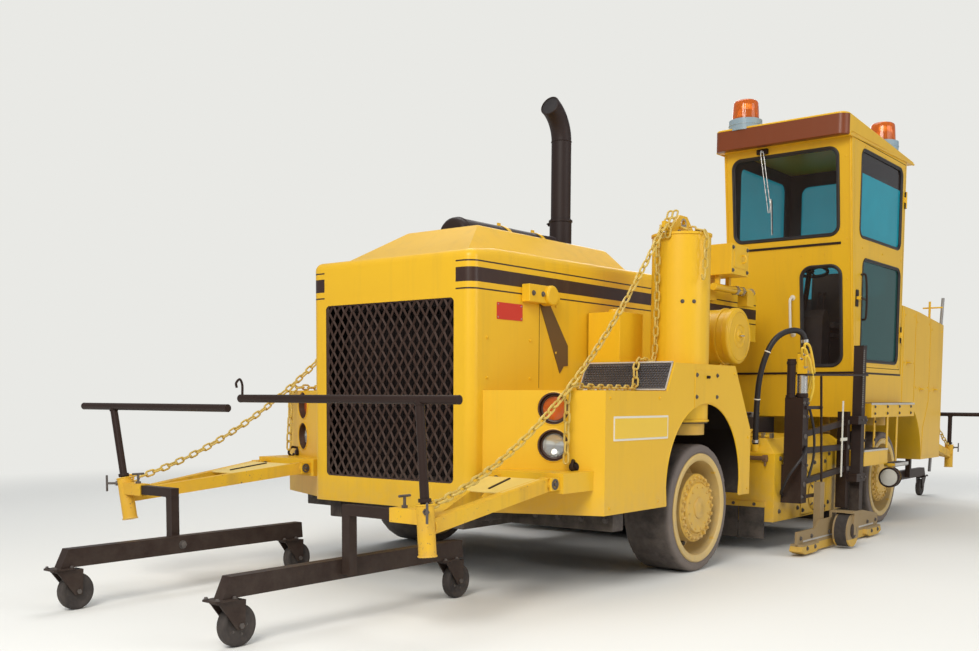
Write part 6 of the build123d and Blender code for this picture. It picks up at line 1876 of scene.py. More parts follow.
    def posts(self) -> None:
        """Grey reading post with its yellow cross at the rear corner, standing on brackets of the rear face."""
        x = self.rear_x
        post = rod((x - 0.10, 1.457, 0.458), (x - 0.10, 1.548, 2.654), 0.019, 24, 0.004)
        new_piece("rear_post", post, Finishes.GREY_STEEL)
        cross = [rod((x + 0.10, 1.448, 2.25), (x + 0.10, 1.448, 2.60), 0.014, 16, 0.003),
                 rod((x + 0.10, 1.365, 2.52), (x + 0.10, 1.604, 2.52), 0.010, 14, 0.003)]
        stays = [box((x - 0.105, 1.45 + s, z - 0.025), (x + 0.001, 1.51 + s, z + 0.025))
                 for z, s in ((0.90, 0), (2.10, 0.05))]
        new_piece("rear_post_stays", cross + stays, Finishes.BODY_YELLOW, bevel=0.003)

    def tank(self) -> None:
        """Straps, filler cap and gauge of the fuel tank beside the cab."""
        cap = turned([(0, 0.058), (0.066, 0.058), (0.07, 0.066), (0.066, 0.084), (0.03, 0.092), (0, 0.092)],
                     (-3.7, -1.3, 2.24), Z, 36)
        grip = box((-3.74, -1.308, 2.328), (-3.66, -1.292, 2.345))
        new_piece("tank_cap", [cap, grip], Finishes.SATIN_BLACK, bevel=0.002)
        straps = [box((x - 0.03, -1.5675, 1.66), (x + 0.03, -1.5645, 2.17)) for x in (-4.5, -3.75)]
        straps += [box((x - 0.03, -1.50, 2.2385), (x + 0.03, 0.10, 2.2425)) for x in (-4.5, -3.75)]
        new_piece("tank_straps", straps, Finishes.SATIN_BLACK)
        gauge = rod((-3.388, -1.30, 1.75), (-3.388, -1.30, 2.15), 0.012, 16, 0.002)
        nuts = bolts(lattice(-3.39, -1.30, (1.75, 2.15)), 0.03, 0.02, X)
        new_piece("tank_gauge", [gauge, nuts], Finishes.BRIGHT)

    def build(self) -> None:
        """Makes everything on the rear body and the tank."""
        self.panels()
        self.steps()
        self.posts()
        self.tank()


@dataclass
class Drum:
    """Cutter drum tools and the dressing of the drum housing."""

    x: float = -2.330
    z: float = 0.462
    body_r: float = 0.330
    half: float = 1.050

    def tools(self) -> None:
        """Holders and carbide tips: one on each pick block of the drum, on the same turns as the blocks."""
        holder = turned([(0, 0), (0.026, 0), (0.026, 0.05), (0.019, 0.062), (0.019, 0.082), (0, 0.082)], ORIGIN, Z, 14)
        tip = turned([(0, 0.08), (0.012, 0.08), (0.009, 0.092), (0, 0.0995)], ORIGIN, Z, 12)
        places = []
        for row in range(4):
            for number in range(12):
                y = -self.half + 0.05 + number * 2 * (self.half - 0.05) / 11
                turn = math.radians(row * 90 + abs(y) / self.half * 80)
                out = np.array([math.cos(turn), 0, -math.sin(turn)])
                places.append(place(np.array([self.x, y, self.z]) + out * self.body_r + (0, 0.028, 0), out))
        new_piece("drum_holders", repeated(holder, places), Finishes.IRON, "drum")
        new_piece("drum_tips", repeated(tip, places), Finishes.BRIGHT, "drum")
        y = np.linspace(-self.half + 0.01, self.half - 0.01, 320)
        flights = []
        for start in range(4):
            a = -(start * math.pi / 2 + np.abs(y) / self.half * math.radians(80)) + 0.16
            flights.append(tube(np.stack([self.x + 0.331 * np.cos(a), y, self.z + 0.331 * np.sin(a)], 1), 0.010, 6))
        new_piece("drum_flights", flights, Finishes.DRUM, "drum")

    def housing(self) -> None:
        """Bolted side covers, water pipe with its fittings, lifting eyes, skirts and edge strips of the housing."""
        x = self.x
        hub = turned([(0, 0), (0.13, 0), (0.14, 0.006), (0.12, 0.018), (0.06, 0.022), (0, 0.022)], (x, 1.586, self.z),
                     Y, 56)
        new_piece("housing_covers", [plate((x, 1.586, 0.55), 0.62, 0.52, 0.08, -0.006), hub], Finishes.BODY_YELLOW,
                  bevel=0.003, side=Side.BOTH)
        spots = lattice((x - 0.27, x, x + 0.27), 1.586, pair(0.55, 0.22))
        spots += list(ring_points((x, 1.594, self.z), Y, 0.115, 8))
        spots += lattice((-1.52, -1.95, -2.72, -3.2), 1.580, (0.36, 0.84))
        new_piece("housing_bolts", bolts(spots, 0.030, 0.016), Finishes.IRON, side=Side.BOTH)
        pipe = tube(lattice(-1.372, np.linspace(-1.45, 1.52, 16), 0.845), 0.019, 12)
        taps = np.arange(-1.2, 1.5, 0.3)
        nuts = [band(0.019, 0.034, 0.022, 0.018, (-1.372, y, 0.845), Y, 6) for y in taps]
        jets = [rod((-1.372, y, 0.84), (-1.372, y, 0.775), 0.010, 10, 0.002) for y in taps]
        new_piece("water_pipe", [pipe, *nuts, *jets], Finishes.PIPE_BROWN)
        saddles = [box((-1.395, y - 0.02, 0.805), (-1.352, y + 0.02, 0.885)) for y in (-1.05, -0.45, 0.45, 1.05)]
        new_piece("water_pipe_saddles", saddles, Finishes.BODY_YELLOW, bevel=0.004)
        lines = [bent([(-1.60, y, 1.035), (-1.62, y - 0.3, 1.04), (-1.60, y - 0.62, 1.035)], 0.014, steps=10)
                 for y in (1.38, 1.46)]
        new_piece("housing_top_lines", lines, Finishes.LINE_YELLOW)
        fits = [rod((-1.60, y, 1.018), (-1.60, y, 1.065), 0.022, 6, 0.002) for y in (1.38, 1.46, 0.76, 0.84)]
        new_piece("housing_fittings", fits, Finishes.BRIGHT)
        eyes = [tube(ring_points(p, Y, 0.04, 20), 0.012, 8, closed=True)
                for p in lattice((-1.75, -2.95), (-1.2, 1.2), 1.045)]
        new_piece("housing_eyes", eyes, Finishes.BODY_YELLOW)
        flaps = [box((at, y + 0.004, 0.115), (at + out * 0.010, y + 0.246, 0.42))
                 for at, out in ((-1.398, 1), (-3.282, -1)) for y in np.arange(-1.5, 1.5, 0.25)]
        new_piece("housing_flaps", flaps, Finishes.FLAP)
        strips = [box((a, -1.5, 0.40), (b, 1.5, 0.45)) for a, b in ((-1.399, -1.386), (-3.294, -3.281))]
        new_piece("housing_flap_strips", strips, Finishes.BODY_YELLOW, bevel=0.002)
        heads = [bolts(lattice(at, np.arange(-1.4, 1.5, 0.2), 0.425), 0.022, 0.012, (way, 0, 0))
                 for at, way in ((-1.386, 1), (-3.294, -1))]
        new_piece("housing_flap_bolts", heads, Finishes.IRON)

    def build(self) -> None:
        """Makes everything on the drum and its housing."""
        self.tools()
        self.housing()


@dataclass
class EdgeGear:
    """Linkage beside the drum housing and the edge plate that it carries."""

    side: Side
    mast_x: float = -1.610
    post_x: float = -2.860
    bar_x: float = -3.040
    out_y: float = 1.770

    def add(self, name: str, mesh: Mesh | list, finish: Finishes, body: str = "chassis", bevel: float = 0.0) -> None:
        """Makes a piece of this side, named after it."""
        new_piece(f"{name}_{self.side.name.lower()}", mesh, finish, body, bevel=bevel, side=self.side)

    def linkage(self) -> None:
        """Pins, cover plates, bright rod of the rams, clamps, fittings and the small lines at the manifold."""
        pins = [rod((self.mast_x, 1.70, z), (self.mast_x, 1.778, z), 0.026, 20, 0.004) for z in (1.040, 0.905, 0.610)]
        pins += [rod((self.post_x, 1.70, z), (self.post_x, 1.728, z), 0.024, 20, 0.004)
                 for z in (1.150, 0.905, 0.690)]
        spots = lattice(pair(self.mast_x, 0.045), self.out_y, (0.50, 0.78, 1.22, 1.34))
        spots += lattice(pair(self.bar_x, 0.055), 1.81, (0.60, 1.17))
        self.add("linkage_pins", [*pins, bolts(spots, 0.026, 0.014)], Finishes.IRON)
        self.add("ram_rod", rod((-1.640, 1.720, 1.392), (-1.640, 1.720, 1.588), 0.046, 32, 0.002), Finishes.BRIGHT)
        glands = [band(0.044, 0.054, 0.02, 0.016, (-1.640, 1.720, 1.41), Z, 40),
                  band(0.038, 0.046, 0.014, 0.012, (-1.580, 1.640, 1.40), Z, 40),
                  band(0.038, 0.044, 0.014, 0.012, (-1.580, 1.640, 1.70), Z, 40)]
        self.add("ram_glands", glands, Finishes.SATIN_BLACK)
        lines, ends = [], []
        for y, z, reach in ((1.745, 1.772, 0.24), (1.72, 1.735, 0.18), (1.755, 1.66, 0.13)):
            lines.append(bent([(-1.62, y, z), (-1.56, y + 0.02, z + 0.09), (-1.56 - reach * 0.25, y + 0.045, z + 0.06),
                               (-1.66 - reach * 0.35, y + 0.04, z - 0.16), (-1.70 - reach * 0.30, y, z - 0.30)],
                              0.0115, steps=10))
            ends.append(ring([(0.011, -0.012), (0.019, -0.01), (0.019, 0.014), (0.011, 0.016)], (-1.62, y, z),
                             (1, 0.2, 1), 6))
        self.add("manifold_lines", lines, Finishes.LINE_YELLOW)
        block_bolts = bolts(lattice((-1.70, -1.63), 1.77, (1.62, 1.76)), 0.02, 0.012)
        self.add("manifold_bolts", [*ends, block_bolts], Finishes.BRIGHT)
        self.add("manifold_cover", box((-1.722, 1.678, 1.60), (-1.608, 1.7725, 1.785)), Finishes.BODY_YELLOW,
                 bevel=0.006)
        rods = [rod((-2.000, 1.790, 0.40), (-1.905, 1.790, 1.587), 0.011, 12, 0.002),
                rod((-1.514, 1.800, 1.592), (-3.130, 1.800, 1.618), 0.010, 12, 0.002),
                rod((-1.930, 1.76, 1.30), (-1.930, 1.80, 1.30), 0.016, 12, 0.002)]
        grips = [box((x, 1.768, z - 0.015), (-1.595, 1.786, z + 0.015)) for x, z in ((-1.945, 1.30), (-2.005, 0.50))]
        self.add("linkage_rods", rods + grips, Finishes.SATIN_BLACK)
        strip = [box((-2.672, 1.728, 0.62), (-2.640, 1.734, 1.36)), box((-2.80, 1.722, 0.97), (-2.63, 1.731, 1.00))]
        self.add("linkage_strip", strip, Finishes.PALE_PLATE)
        loops = [bent([(-1.62, 1.78, 0.95), (-1.50, 1.79, 0.86), (-1.44, 1.70, 0.70), (-1.47, 1.62, 0.55),
                       (-1.55, 1.60, 0.50)], 0.013, steps=10),
                 bent([(-1.68, 1.775, 1.30), (-1.76, 1.79, 1.10), (-1.80, 1.78, 0.86), (-1.74, 1.76, 0.66)], 0.012,
                      steps=10)]
        self.add("linkage_hoses", loops, Finishes.HOSE)

    def edge(self) -> None:
        """Pale wear strip and bolts on the runner, hub and tyre of the gauge wheel, scale and cap of the lift bar."""
        body, bar = f"edge_plate_{self.side.name.lower()}", self.bar_x
        heads = bolts(lattice((-1.30, -1.55, -3.26, -3.02, -2.72, -1.98), 1.875, 0.16), 0.028, 0.014)
        shoe = bolts(lattice((-1.36, -1.54, -3.04, -3.22), 1.915, 0.07), 0.028, 0.012)
        self.add("edge_strip", box((-3.20, 1.8745, 0.12), (-1.36, 1.8765, 0.135)), Finishes.WORN_EDGE, body)
        self.add("edge_bolts", [heads, shoe], Finishes.IRON, body)
        hub = turned([(0, 0), (0.07, 0), (0.075, 0.006), (0.055, 0.016), (0.03, 0.018), (0, 0.018)],
                     (-2.10, 2.055, 0.17), Y, 36)
        tyre = ring([(0.149, -0.06), (0.1515, -0.045), (0.1515, 0.045), (0.149, 0.06), (0.146, 0.045),
                     (0.146, -0.045)], (-2.10, 1.985, 0.17), Y, 72)
        self.add("gauge_hub", hub, Finishes.SATIN_BLACK, body)
        self.add("gauge_tyre", tyre, Finishes.CASTER, body)
        marks = [box((bar + 0.01, 1.797, z), (bar + (0.04 if i % 5 else 0.046), 1.7985, z + 0.003))
                 for i, z in enumerate(np.arange(1.30, 1.86, 0.02))]
        self.add("lift_scale", marks, Finishes.PALE_PLATE, body)
        self.add("lift_cap", box((bar - 0.050, 1.700, 1.899), (bar + 0.050, 1.800, 1.909)), Finishes.SATIN_BLACK,
                 body, 0.003)

    def build(self) -> None:
        """Makes the pieces of this side."""
        self.linkage()
        self.edge()


class Frame:
    """Lines, clamps and bolts on the frame rails, and the block of the engine with its parts."""

    def build(self) -> None:
        """Hydraulic pipes along the rails, their clamps, bolts of the outriggers and details of the engine block."""
        run = ((1.7, 0.75), (0.4, 0.75), (-0.9, 0.75), (-1.2, 0.80), (-1.32, 1.0), (-1.34, 1.215), (-1.7, 1.222),
               (-2.9, 1.222), (-3.2, 1.222))
        pipes = [bent([(x, y, z) for x, z in run], 0.011, steps=10) for y in (0.60, 0.63)]
        new_piece("frame_pipes", pipes, Finishes.SATIN_BLACK, side=Side.BOTH)
        clamps = [box((x - 0.02, 0.575, low), (x + 0.02, 0.655, high))
                  for xs, low, high in (((1.2, 0.6, 0.0, -0.5), 0.722, 0.766), ((-1.9, -2.5, -3.0), 1.182, 1.236))
                  for x in xs]
        new_piece("frame_pipe_clamps", clamps, Finishes.GREY_STEEL, bevel=0.003, side=Side.BOTH)
        spots = lattice((1.6, 1.2, 0.6, -0.5, -0.8, -3.6, -4.0, -5.0, -5.6, -6.2), 0.680, (0.49, 0.67))
        new_piece("frame_bolts", bolts(spots, 0.034, 0.018), Finishes.IRON, side=Side.BOTH)
        skid = bolts(lattice(1.332, (0.9, 1.1, 1.3, 1.5), 0.52), 0.034, 0.018, X)
        new_piece("skid_bolts", skid, Finishes.IRON, side=Side.BOTH)
        ribs = [box((x - 0.006, -0.346, 0.95), (x + 0.006, 0.346, 1.70)) for x in np.arange(-0.62, 0.92, 0.16)]
        covers = [plate((x, 0.343, 1.62), 0.13, 0.14, 0.02, -0.02) for x in np.arange(-0.54, 0.9, 0.16)]
        new_piece("engine_ribs", [*ribs, sided(joined(*covers), Side.BOTH)], Finishes.DARK_IRON, bevel=0.003)
        blade = prism([(0.05, -0.03), (0.45, -0.06), (0.46, 0.05), (0.06, 0.04)], (0, 0, -0.006), X, Y, 0.01)
        fan = repeated(blade, [place((1.55, 0.0, 1.42), X, a) for a in np.arange(6) * math.pi / 3])
        shroud = ring([(0.49, -0.05), (0.51, -0.05), (0.51, 0.10), (0.49, 0.10)], (1.48, 0, 1.42), X, 64)
        new_piece("engine_fan", [fan, shroud], Finishes.DARK_IRON)


@dataclass
class Arm:
    """One ski arm with its walker bars, ski and casters: plates, screws, hooks, bolts, wheels and its chain."""

    name: str
    end: int
    side: Side
    tip_x: float
    tip_y: float
    ski_y: float
    bar_in: float
    bar_out: float
    bar_z: float
    lean: float
    hinge_z: float = 0.812
    socket_r: float = 0.052
    crank_z: float = 0.700
    caster_z: float = 0.12
    trail: float = 0.108

    @property
    def hinge_x(self) -> float:
        """Station of the hinge line."""
        return 1.965 if self.end > 0 else -6.650

    @property
    def upright(self) -> Array:
        """Way up along the leaning line of the walker bar's post."""
        return self.post(0.8) - self.post(0.7)

    def post(self, z: float) -> Array:
        """Point at a height on the leaning line of the walker bar's post."""
        return np.array([self.tip_x, self.tip_y + (z - self.crank_z) * math.tan(math.radians(self.lean)), z])

    def on_arm(self, share: float, outer: bool) -> Array:
        """Point on the centre line of a beam at a share of its length."""
        a = np.array([self.hinge_x + self.end * 0.010, 1.440 if outer else 0.950, self.hinge_z])
        return a + (np.array([self.tip_x, self.tip_y, 0.640]) - a) * share

    def add(self, name: str, mesh: Mesh | list, finish: Finishes, body: str | None = None, **more: object) -> None:
        """Makes a piece of this arm on its own side, riding on the arm where no other body is named."""
        new_piece(f"{name}_{self.name}", mesh, finish, body or f"arm_{self.name}", side=self.side, **more)

    def frame(self) -> None:
        """Root plate with its slot, weld beads, hinge washers, screws with T handles at the socket and the sleeve."""
        up = np.array([0, 0, 0.0365])
        corners = [self.on_arm(s, outer) + up
                   for s, outer in ((0.055, False), (0.055, True), (0.40, True), (0.40, False))]
        faces = [[0, 1, 2, 3], [7, 6, 5, 4], [0, 4, 5, 1], [1, 5, 6, 2], [2, 6, 7, 3], [3, 7, 4, 0]]
        self.add("arm_root_plate", (corners + [c + (0, 0, 0.008) for c in corners], faces), Finishes.PALE_YELLOW,
                 bevel=0.002)
        near, far = ((self.on_arm(s, False) + self.on_arm(s, True)) / 2 + up + (0, 0, 0.0085) for s in (0.09, 0.34))
        self.add("arm_root_slot", tube([near, (near + far) / 2, far], 0.009, 6), Finishes.SATIN_BLACK)
        beads = [weld(self.on_arm(0.965, outer), self.on_arm(1, outer) - self.on_arm(0, outer), 0.047, 0.006)
                 for outer in (True, False)]
        beads += [weld(self.post(z), self.upright, self.socket_r, 0.005) for z in (0.478, 0.770)]
        self.add("arm_welds", beads, Finishes.BODY_YELLOW)
        x, z = self.hinge_x, self.hinge_z
        ends = [(y, s) for y in (0.950, 1.440) for s in (-1, 1)]
        washers = [washer(0.021, 0.036, 0.006, (x, y + s * 0.059, z), (0, s, 0), 32) for y, s in ends]
        tips = [rod((x, y + s * 0.058, z), (x, y + s * 0.074, z), 0.014, 16, 0.003) for y, s in ends]
        self.add("arm_hinge_washers", washers + tips, Finishes.IRON, "chassis")
        at, out = self.post(0.735), np.array([self.end * 0.70, 0.714, 0.0])
        top = np.array([self.tip_x, self.tip_y - 0.16, 0.742])
        screws = [washer(0.012, 0.02, 0.018, at + out * 0.048, out, 6),
                  rod(at + out * 0.045, at + out * 0.135, 0.009, 12, 0.002),
                  rod(at + out * 0.13 + (0, 0, -0.06), at + out * 0.13 + (0, 0, 0.06), 0.008, 12, 0.003),
                  rod(top, top + (0, 0, 0.075), 0.009, 12, 0.002),
                  rod(top + (-0.05, 0, 0.07), top + (0.05, 0, 0.07), 0.008, 12, 0.003),
                  washer(0.009, 0.019, 0.016, top, Z, 6)]
        self.add("arm_screws", screws, Finishes.IRON)

    def bars(self) -> None:
        """Rounded bar ends, the hook on the outer end of the walker bar, weld and rings at the post."""
        x, z = self.tip_x, self.bar_z
        knob = [(0, 0), (0.020, 0.0005), (0.0265, 0.006), (0.0268, 0.014), (0.0262, 0.016), (0, 0.016)]
        parts = [turned(knob, (x, y + way * -0.014, z), (0, way, 0), 20)
                 for y, way in ((self.bar_in, -1), (self.bar_out, 1))]
        parts += [weld(self.post(z - 0.027), self.upright, 0.027, 0.005),
                  band(0.0275, 0.038, 0.012, 0.010, self.post(0.795), self.upright, 32)]
        y = self.bar_in + 0.02
        if self.name == "front_left":
            parts.append(bent([(x, y, z + 0.02), (x, y, z + 0.09), (x + 0.02, y, z + 0.125), (x + 0.05, y, z + 0.10),
                               (x + 0.045, y, z + 0.07)], 0.008))
        self.add("bar_fittings", parts, Finishes.SATIN_BLACK)
        crank_y = self.ski_y + 0.038 + 0.0003 + 0.032
        seam = box((x - 0.033, crank_y - 0.033, 0.664), (x + 0.033, crank_y + 0.033, 0.668))
        self.add("crank_seam", seam, Finishes.SATIN_BLACK)

    def ski(self) -> None:
        """Pivot nut, caster plates' bolts, end caps, stem rings and wheels of the ski."""
        y, low, ski = self.ski_y, self.caster_z, f"ski_{self.name}"
        pivot = (self.tip_x, y - 0.038, 0.34)
        nut = [turned([(0, 0), (0.030, 0), (0.030, 0.006), (0, 0.006)], pivot, (0, -1, 0), 28),
               turned([(0, 0.005), (0.024, 0.005), (0.024, 0.02), (0.02, 0.022), (0, 0.022)], pivot, (0, -1, 0), 6)]
        self.add("ski_pivot", nut, Finishes.IRON)
        stations = (self.tip_x + self.end * (0.915 - self.trail), self.tip_x - self.end * (0.990 + self.trail))
        swivels = [station + self.end * self.trail for station in stations]
        heads = [p for x in swivels for p in lattice(pair(x, 0.058), pair(y, 0.0485), 0.281)]
        rings = [ring([(0.036, 0), (0.046, 0.002), (0.046, 0.010), (0.036, 0.012)], (x, y, 0.256), Z, 36)
                 for x in swivels]
        nuts = [turned([(0, 0), (0.017, 0), (0.017, 0.010), (0, 0.011)], (x, y + s * 0.043, low), (0, s, 0), 6)
                for x in stations for s in (-1, 1)]
        self.add("ski_bolts", [bolts(heads, 0.020, 0.012, Z), *nuts], Finishes.IRON, ski)
        self.add("ski_rings", rings, Finishes.SATIN_BLACK, ski)
        w = 0.030
        profile = [(0.0125, -w + 0.002), (0.030, -w + 0.001), (0.032, -w + 0.005), (0.070, -w + 0.007),
                   (0.084, -w + 0.004), (0.090, -w), (0.108, -w), (0.116, -w + 0.004), (0.1195, -w + 0.012),
                   (0.12, -0.008), (0.1195, -0.006), (0.1195, 0.006), (0.12, 0.008)]
        profile += [(r, -h) for r, h in profile[::-1][4:]]
        for spot, x in zip(("outer", "inner"), stations):
            caster = f"caster_{self.name}_{spot}"
            self.add(f"caster_tread_{spot}", ring(profile, (x, y, low), Y, 72), Finishes.CASTER, caster,
                     replaces=(caster,))
            dots = bolts(ring_points((x, y + w - 0.007, low), Y, 0.052, 5), 0.012, 0.006)
            self.add(f"caster_bolts_{spot}", dots, Finishes.IRON, caster)

    def chain(self) -> None:
        """Slack chain from the column's lug, or from the rear face, to the arm's tip, with a shackle at each end."""
        low = self.post(0.758) + (-self.end * self.socket_r, 0, 0)
        if self.end > 0:
            top, sag = np.array([0.292, 1.352, 2.712]), 0.33
        else:
            top, sag = np.array([self.hinge_x + 0.135, 1.350, 1.500]), 0.04
        path = slack(top, low, sag)
        obj = new_piece(f"chain_{self.name}", chain_on(path), Finishes.CHAIN_YELLOW, None,
                        ("arm_chains",) if self.name == "front_left" else (), side=self.side)
        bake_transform(obj)
        d = path[3] - path[0]
        shackle = bent([top + (0, 0.022, 0.0), top + (0, 0.024, 0), top + d * 0.22 + (0, 0.016, 0), top + d * 0.3,
                        top + d * 0.22 - (0, 0.016, 0), top - (0, 0.024, 0)], 0.009, steps=6)
        pin = rod(top + (0, -0.036, 0), top + (0, 0.036, 0), 0.008, 12, 0.002)
        self.add("chain_shackle", [shackle, pin], Finishes.CHAIN_YELLOW, "chassis")
        eye = tube(ring_points(low + (0, 0, 0.012), Y, 0.024, 18), 0.008, 8, closed=True)
        self.add("chain_eye", eye, Finishes.BODY_YELLOW)

    def build(self) -> None:
        """Makes everything on the arm."""
        self.frame()
        self.bars()
        self.ski()
        self.chain()


@dataclass
class Hose:
    """Large black hose from the drum housing's gland to the manifold on the mast."""

    route: tuple = ((-1.440, 1.375, 0.965), (-1.440, 1.375, 1.290), (-1.380, 1.430, 1.640), (-1.440, 1.540, 1.960),
                    (-1.650, 1.730, 2.010), (-1.650, 1.730, 1.860))
    radius: float = 0.026

    def build(self) -> None:
        """One open NURBS spline with the route's points, its round section, and the bands and end fittings on it."""
        curve = bpy.data.curves.new("hose_line", "CURVE")
        curve.dimensions = "3D"
        spline = curve.splines.new("NURBS")
        spline.points.add(len(self.route) - 1)
        for point, at in zip(spline.points, self.route):
            point.co = (at[0] + FRONT_AXLE_X, at[1], at[2], 1.0)
        spline.order_u = 3
        spline.use_endpoint_u = True
        spline.resolution_u = 16
        line = added("hose_line", curve)
        bpy.context.view_layer.update()
        bare = bpy.data.meshes.new_from_object(line.evaluated_get(bpy.context.evaluated_depsgraph_get()))
        path = np.empty(len(bare.vertices) * 3)
        bare.vertices.foreach_get("co", path)
        path = path.reshape(-1, 3)
        bpy.data.meshes.remove(bare)
        curve.bevel_depth = self.radius
        curve.bevel_resolution = 5
        curve.materials.append(Palette.of(Finishes.HOSE))
        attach(line, "chassis")
        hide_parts("hose")
        length, r = along(path, 0.0)[2], self.radius

        def fitted(shares: tuple, width: float, grow: float) -> list:
            """Rings round the hose at shares of its length, of a width and thickness.

            Args:
                shares: shares of the length.
                width: width of each ring.
                grow: its thickness over the hose.

            Returns:
                The rings.
            """
            rings = []
            for share in shares:
                at, way, _ = along(path, share)
                rings.append(band(r - 0.001, r + grow, width / 2, width / 2 - 0.002, at - SHIFT, way, 32))
            return rings

        clips = new_piece("hose_bands", fitted((0.30, 0.62), 0.012, 0.003), Finishes.PALE_PLATE)
        ends = new_piece("hose_ferrules", fitted((0.02, 0.975), 0.03, 0.007), Finishes.BRIGHT)


# Light, floor and camera


@dataclass
class Studio:
    """Plain pale floor, soft light and the camera."""

    pale: Colour = (0.815, 0.815, 0.785)
    floor_reach: float = 70.0
    clear_from: float = 8.0
    clear_to: float = 13.0
    eye: tuple = (7.77 + FRONT_AXLE_X, 5.44, 1.378)
    yaw: float = 218.965
    pitch: float = -4.219
    roll: float = 0.245
    focal_px: float = 1070.19
    centre_px: tuple = (465.5, 476.4)
    sensor_mm: float = 36.0

    def floor(self) -> None:
        """Large floor that takes the shadow near the machine and turns into the plain background further out."""
        r = self.floor_reach
        data = bpy.data.meshes.new("floor")
        data.from_pydata([(-r, -r, 0), (r, -r, 0), (r, r, 0), (-r, r, 0)], [], [(0, 1, 2, 3)])
        s = Shader("studio_floor")
        s.set(Base_Color=(0.80, 0.80, 0.775, 1), Roughness=0.9, Specular_IOR_Level=0.1)
        glow = s.node("Emission", {"Color": (*self.pale, 1)})
        coords = s.node("TexCoord")
        length = s.node("VectorMath", {0: coords.outputs["Object"]}, operation="LENGTH")
        far = s.node("MapRange", {"From Min": self.clear_from, "From Max": self.clear_to,
                                  "Value": length.outputs["Value"]}, interpolation_type="SMOOTHSTEP")
        path = s.node("LightPath").outputs
        seen = s.math("MAXIMUM", path["Is Camera Ray"], path["Is Glossy Ray"])
        both = s.math("MULTIPLY", far.outputs[0], seen)
        mix = s.node("MixShader", {0: both, 1: s.bsdf.outputs[0], 2: glow.outputs[0]})
        s.link(mix.outputs[0], s.out.inputs[0])
        data.materials.append(s.material)
        obj = added("floor", data)

    def world(self) -> None:
        """Pale world for the camera, and a softer one as light and in reflections."""
        world = bpy.data.worlds.new("studio")
        bpy.context.scene.world = world
        world.use_nodes = True
        world.node_tree.nodes.clear()
        w = Nodes(world.node_tree)
        out = w.node("OutputWorld")
        seen = w.node("Background", {0: (*self.pale, 1), 1: 1.0})
        light = w.node("Background", {0: (0.92, 0.96, 1.0, 1), 1: 0.42})
        path = w.node("LightPath")
        mix = w.node("MixShader", {0: path.outputs["Is Camera Ray"], 1: light.outputs[0], 2: seen.outputs[0]})
        w.link(mix.outputs[0], out.inputs[0])

    def lamps(self) -> None:
        """Large soft lamps: a key from the front, a fill from the near side, a top light and one from behind."""
        rows = (
            ("key", (14.0, 4.5, 9.5), (0.5, 0.0, 1.4), 7.0, 1500.0, (1.0, 0.965, 0.90)),
            ("fill", (-1.0, 15.0, 7.0), (-1.0, 0.0, 1.4), 9.0, 620.0, (1.0, 0.98, 0.95)),
            ("top", (-1.0, -3.0, 13.0), (-0.5, 0.0, 1.5), 9.0, 640.0, (1.0, 1.0, 1.0)),
            ("back", (-13.0, -7.0, 8.0), (-0.5, 0.0, 1.5), 8.0, 480.0, (1.0, 0.99, 0.97)),
        )
        for name, at, aim, size, power, colour in rows:
            lamp = bpy.data.lights.new(name, "AREA")
            lamp.shape = "DISK"
            lamp.size = size
            lamp.energy = power
            lamp.color = colour
            obj = added(name, lamp)
            obj.location = at
            obj.rotation_euler = (Vector(aim) - Vector(at)).to_track_quat("-Z", "Y").to_euler()

    def camera(self) -> None:
        """Camera at the photograph's viewpoint: heading, tilt, roll and lens as measured."""
        yaw, pitch = math.radians(self.yaw), math.radians(self.pitch)
        ahead = Vector((math.cos(yaw) * math.cos(pitch), math.sin(yaw) * math.cos(pitch), math.sin(pitch)))
        right = ahead.cross(Vector(Z)).normalized()
        up = right.cross(ahead)
        turn = Matrix.Rotation(math.radians(-self.roll), 3, ahead)
        lens = bpy.data.cameras.new("camera")
        lens.sensor_width = self.sensor_mm
        lens.lens = self.focal_px * self.sensor_mm / IMAGE_W
        lens.shift_x = (IMAGE_W / 2 - self.centre_px[0]) / IMAGE_W
        lens.shift_y = (self.centre_px[1] - IMAGE_H / 2) / IMAGE_W
        lens.clip_end = 300.0
        obj = added("camera", lens)
        rows = Matrix((turn @ right, turn @ up, -ahead)).transposed()
        obj.matrix_world = Matrix.Translation(Vector(self.eye)) @ rows.to_4x4()
        bpy.context.scene.camera = obj

    def build(self) -> None:
        """Makes the floor, world, lamps and camera."""
        self.floor()
        self.world()
        self.lamps()
        self.camera()


NAMES = ("front_left", "front_right", "rear_left", "rear_right")

ARMS = (
    Arm("front_left", 1, Side.LEFT, 3.220, 1.470, 0.790, -0.145, 1.715, 1.365, -4.0),
    Arm("front_right", 1, Side.RIGHT, 3.220, 1.470, 0.830, 0.275, 2.000, 1.300, 13.0),
    Arm("rear_left", -1, Side.LEFT, -7.500, 1.450, 0.860, 0.060, 1.980, 1.180, 0.0),
    Arm("rear_right", -1, Side.RIGHT, -7.500, 1.450, 0.860, 0.060, 1.980, 1.180, 0.0),
)

PLAIN = {
    "grille": Finishes.MESH_BLACK, "engine": Finishes.IRON, "exhaust": Finishes.MUFFLER,
    "tread_plates": Finishes.TREAD, "lamp_cups": Finishes.LAMP_DARK, "headlamp_glass": Finishes.CLEAR,
    "amber_lenses": Finishes.AMBER, "cab_glass": Finishes.CAB_GLASS, "cab_interior": Finishes.TRIM,
    "arm_chains": Finishes.CHAIN_YELLOW, "cutter_drum": Finishes.DRUM, "door_glass": Finishes.DOOR_GLASS,
    "hose": Finishes.HOSE, "leg_columns": Finishes.BODY_YELLOW,
}


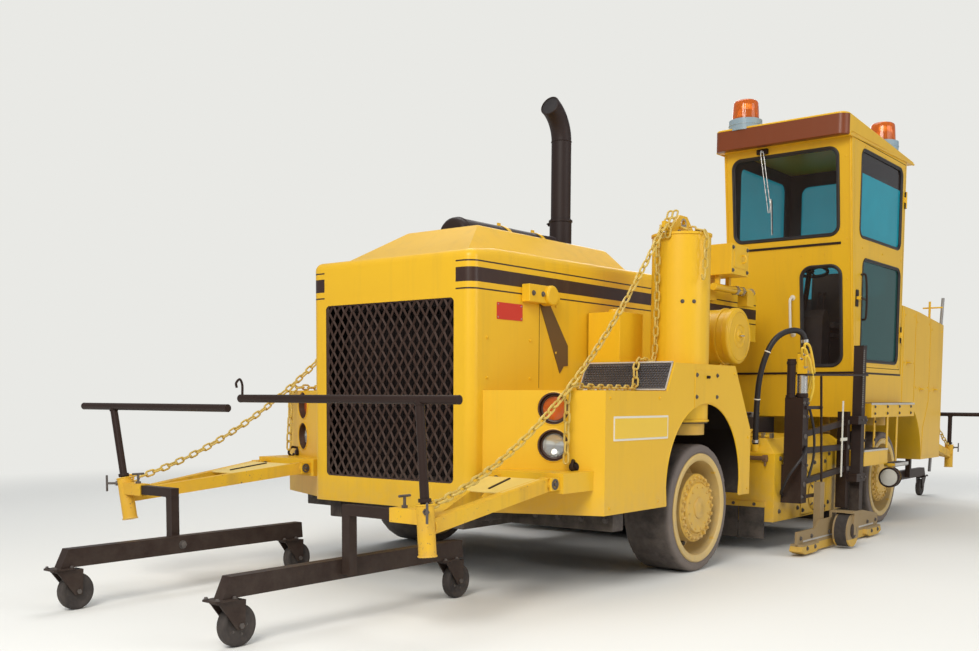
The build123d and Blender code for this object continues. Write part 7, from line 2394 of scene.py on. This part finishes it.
def dress_nodes() -> None:
    """Finishes of the CAD nodes: plain ones as they are, the larger hulls as softened copies."""
    for node, finish in PLAIN.items():
        dress(node, finish)
    for name in NAMES:
        dress(f"leg_{name}", Finishes.LEG_YELLOW)
        dress(f"tyre_{name}", Finishes.TYRE)
        dress(f"bars_{name}", Finishes.SATIN_BLACK)
        softened(f"arm_{name}", Finishes.ARM_YELLOW, 0.004, f"arm_{name}")
        softened(f"ski_{name}", Finishes.SATIN_BLACK, 0.004, f"ski_{name}")
        for spot in ("outer", "inner"):
            dress(f"caster_{name}_{spot}", Finishes.CASTER)
    # Inward faces of the hood, fenders, rear body and drum housing get painted shade, a near-black lining for their
    # hollows and arches.
    body, painted_shade = Finishes.BODY_YELLOW, Finishes.INNER_DARK
    softened("main_frame", Finishes.DARK_FRAME, 0.006)
    softened("engine_hood", Finishes.HOOD_YELLOW, 0.008, inner=painted_shade, middle=(-0.4, 0.0, 1.5))
    softened("air_cleaner", body, 0.004)
    softened("front_fenders", body, 0.008, inner=painted_shade, middle=(0.1, 1.2, 0.7))
    softened("cab_shell", body, 0.010, inner=Finishes.TRIM, middle=(-4.08, 0.905, 2.85))
    softened("cab_roof", Finishes.ROOF_YELLOW, 0.010)
    softened("rear_body", body, 0.008, inner=painted_shade, middle=(-5.6, 0.0, 1.3))
    softened("fuel_tank", body, 0.006)
    softened("drum_housing", body, 0.008, inner=painted_shade, middle=(-2.33, 0.0, 0.5))
    softened("side_linkage", Finishes.SATIN_BLACK, 0.004)
    softened("arm_brackets", body, 0.004)
    softened("cab_door", body, 0.004, "door")
    for side in ("left", "right"):
        softened(f"edge_plate_{side}", Finishes.KHAKI, 0.004, f"edge_plate_{side}")


def main() -> None:
    """Builds the studio, dresses the nodes and adds every sub-assembly in order."""
    Studio().build()
    dress_nodes()
    for name in NAMES:
        side = Side.LEFT if name.endswith("left") else Side.RIGHT
        station, top = (0.0, 2.650) if name.startswith("front") else (-4.450, 1.6247)
        Wheel(name, station, side).build()
        Leg(name, station, side, top).build()
    for piece in (Hood(), Exhaust(), AirCleaner(), Fenders(), Cab(), RearBody(), Drum(), EdgeGear(Side.LEFT),
                  EdgeGear(Side.RIGHT), Frame(), *ARMS, Hose()):
        piece.build()
    bpy.context.scene.view_settings.view_transform = "Standard"


if __name__ == "__main__":
    main()
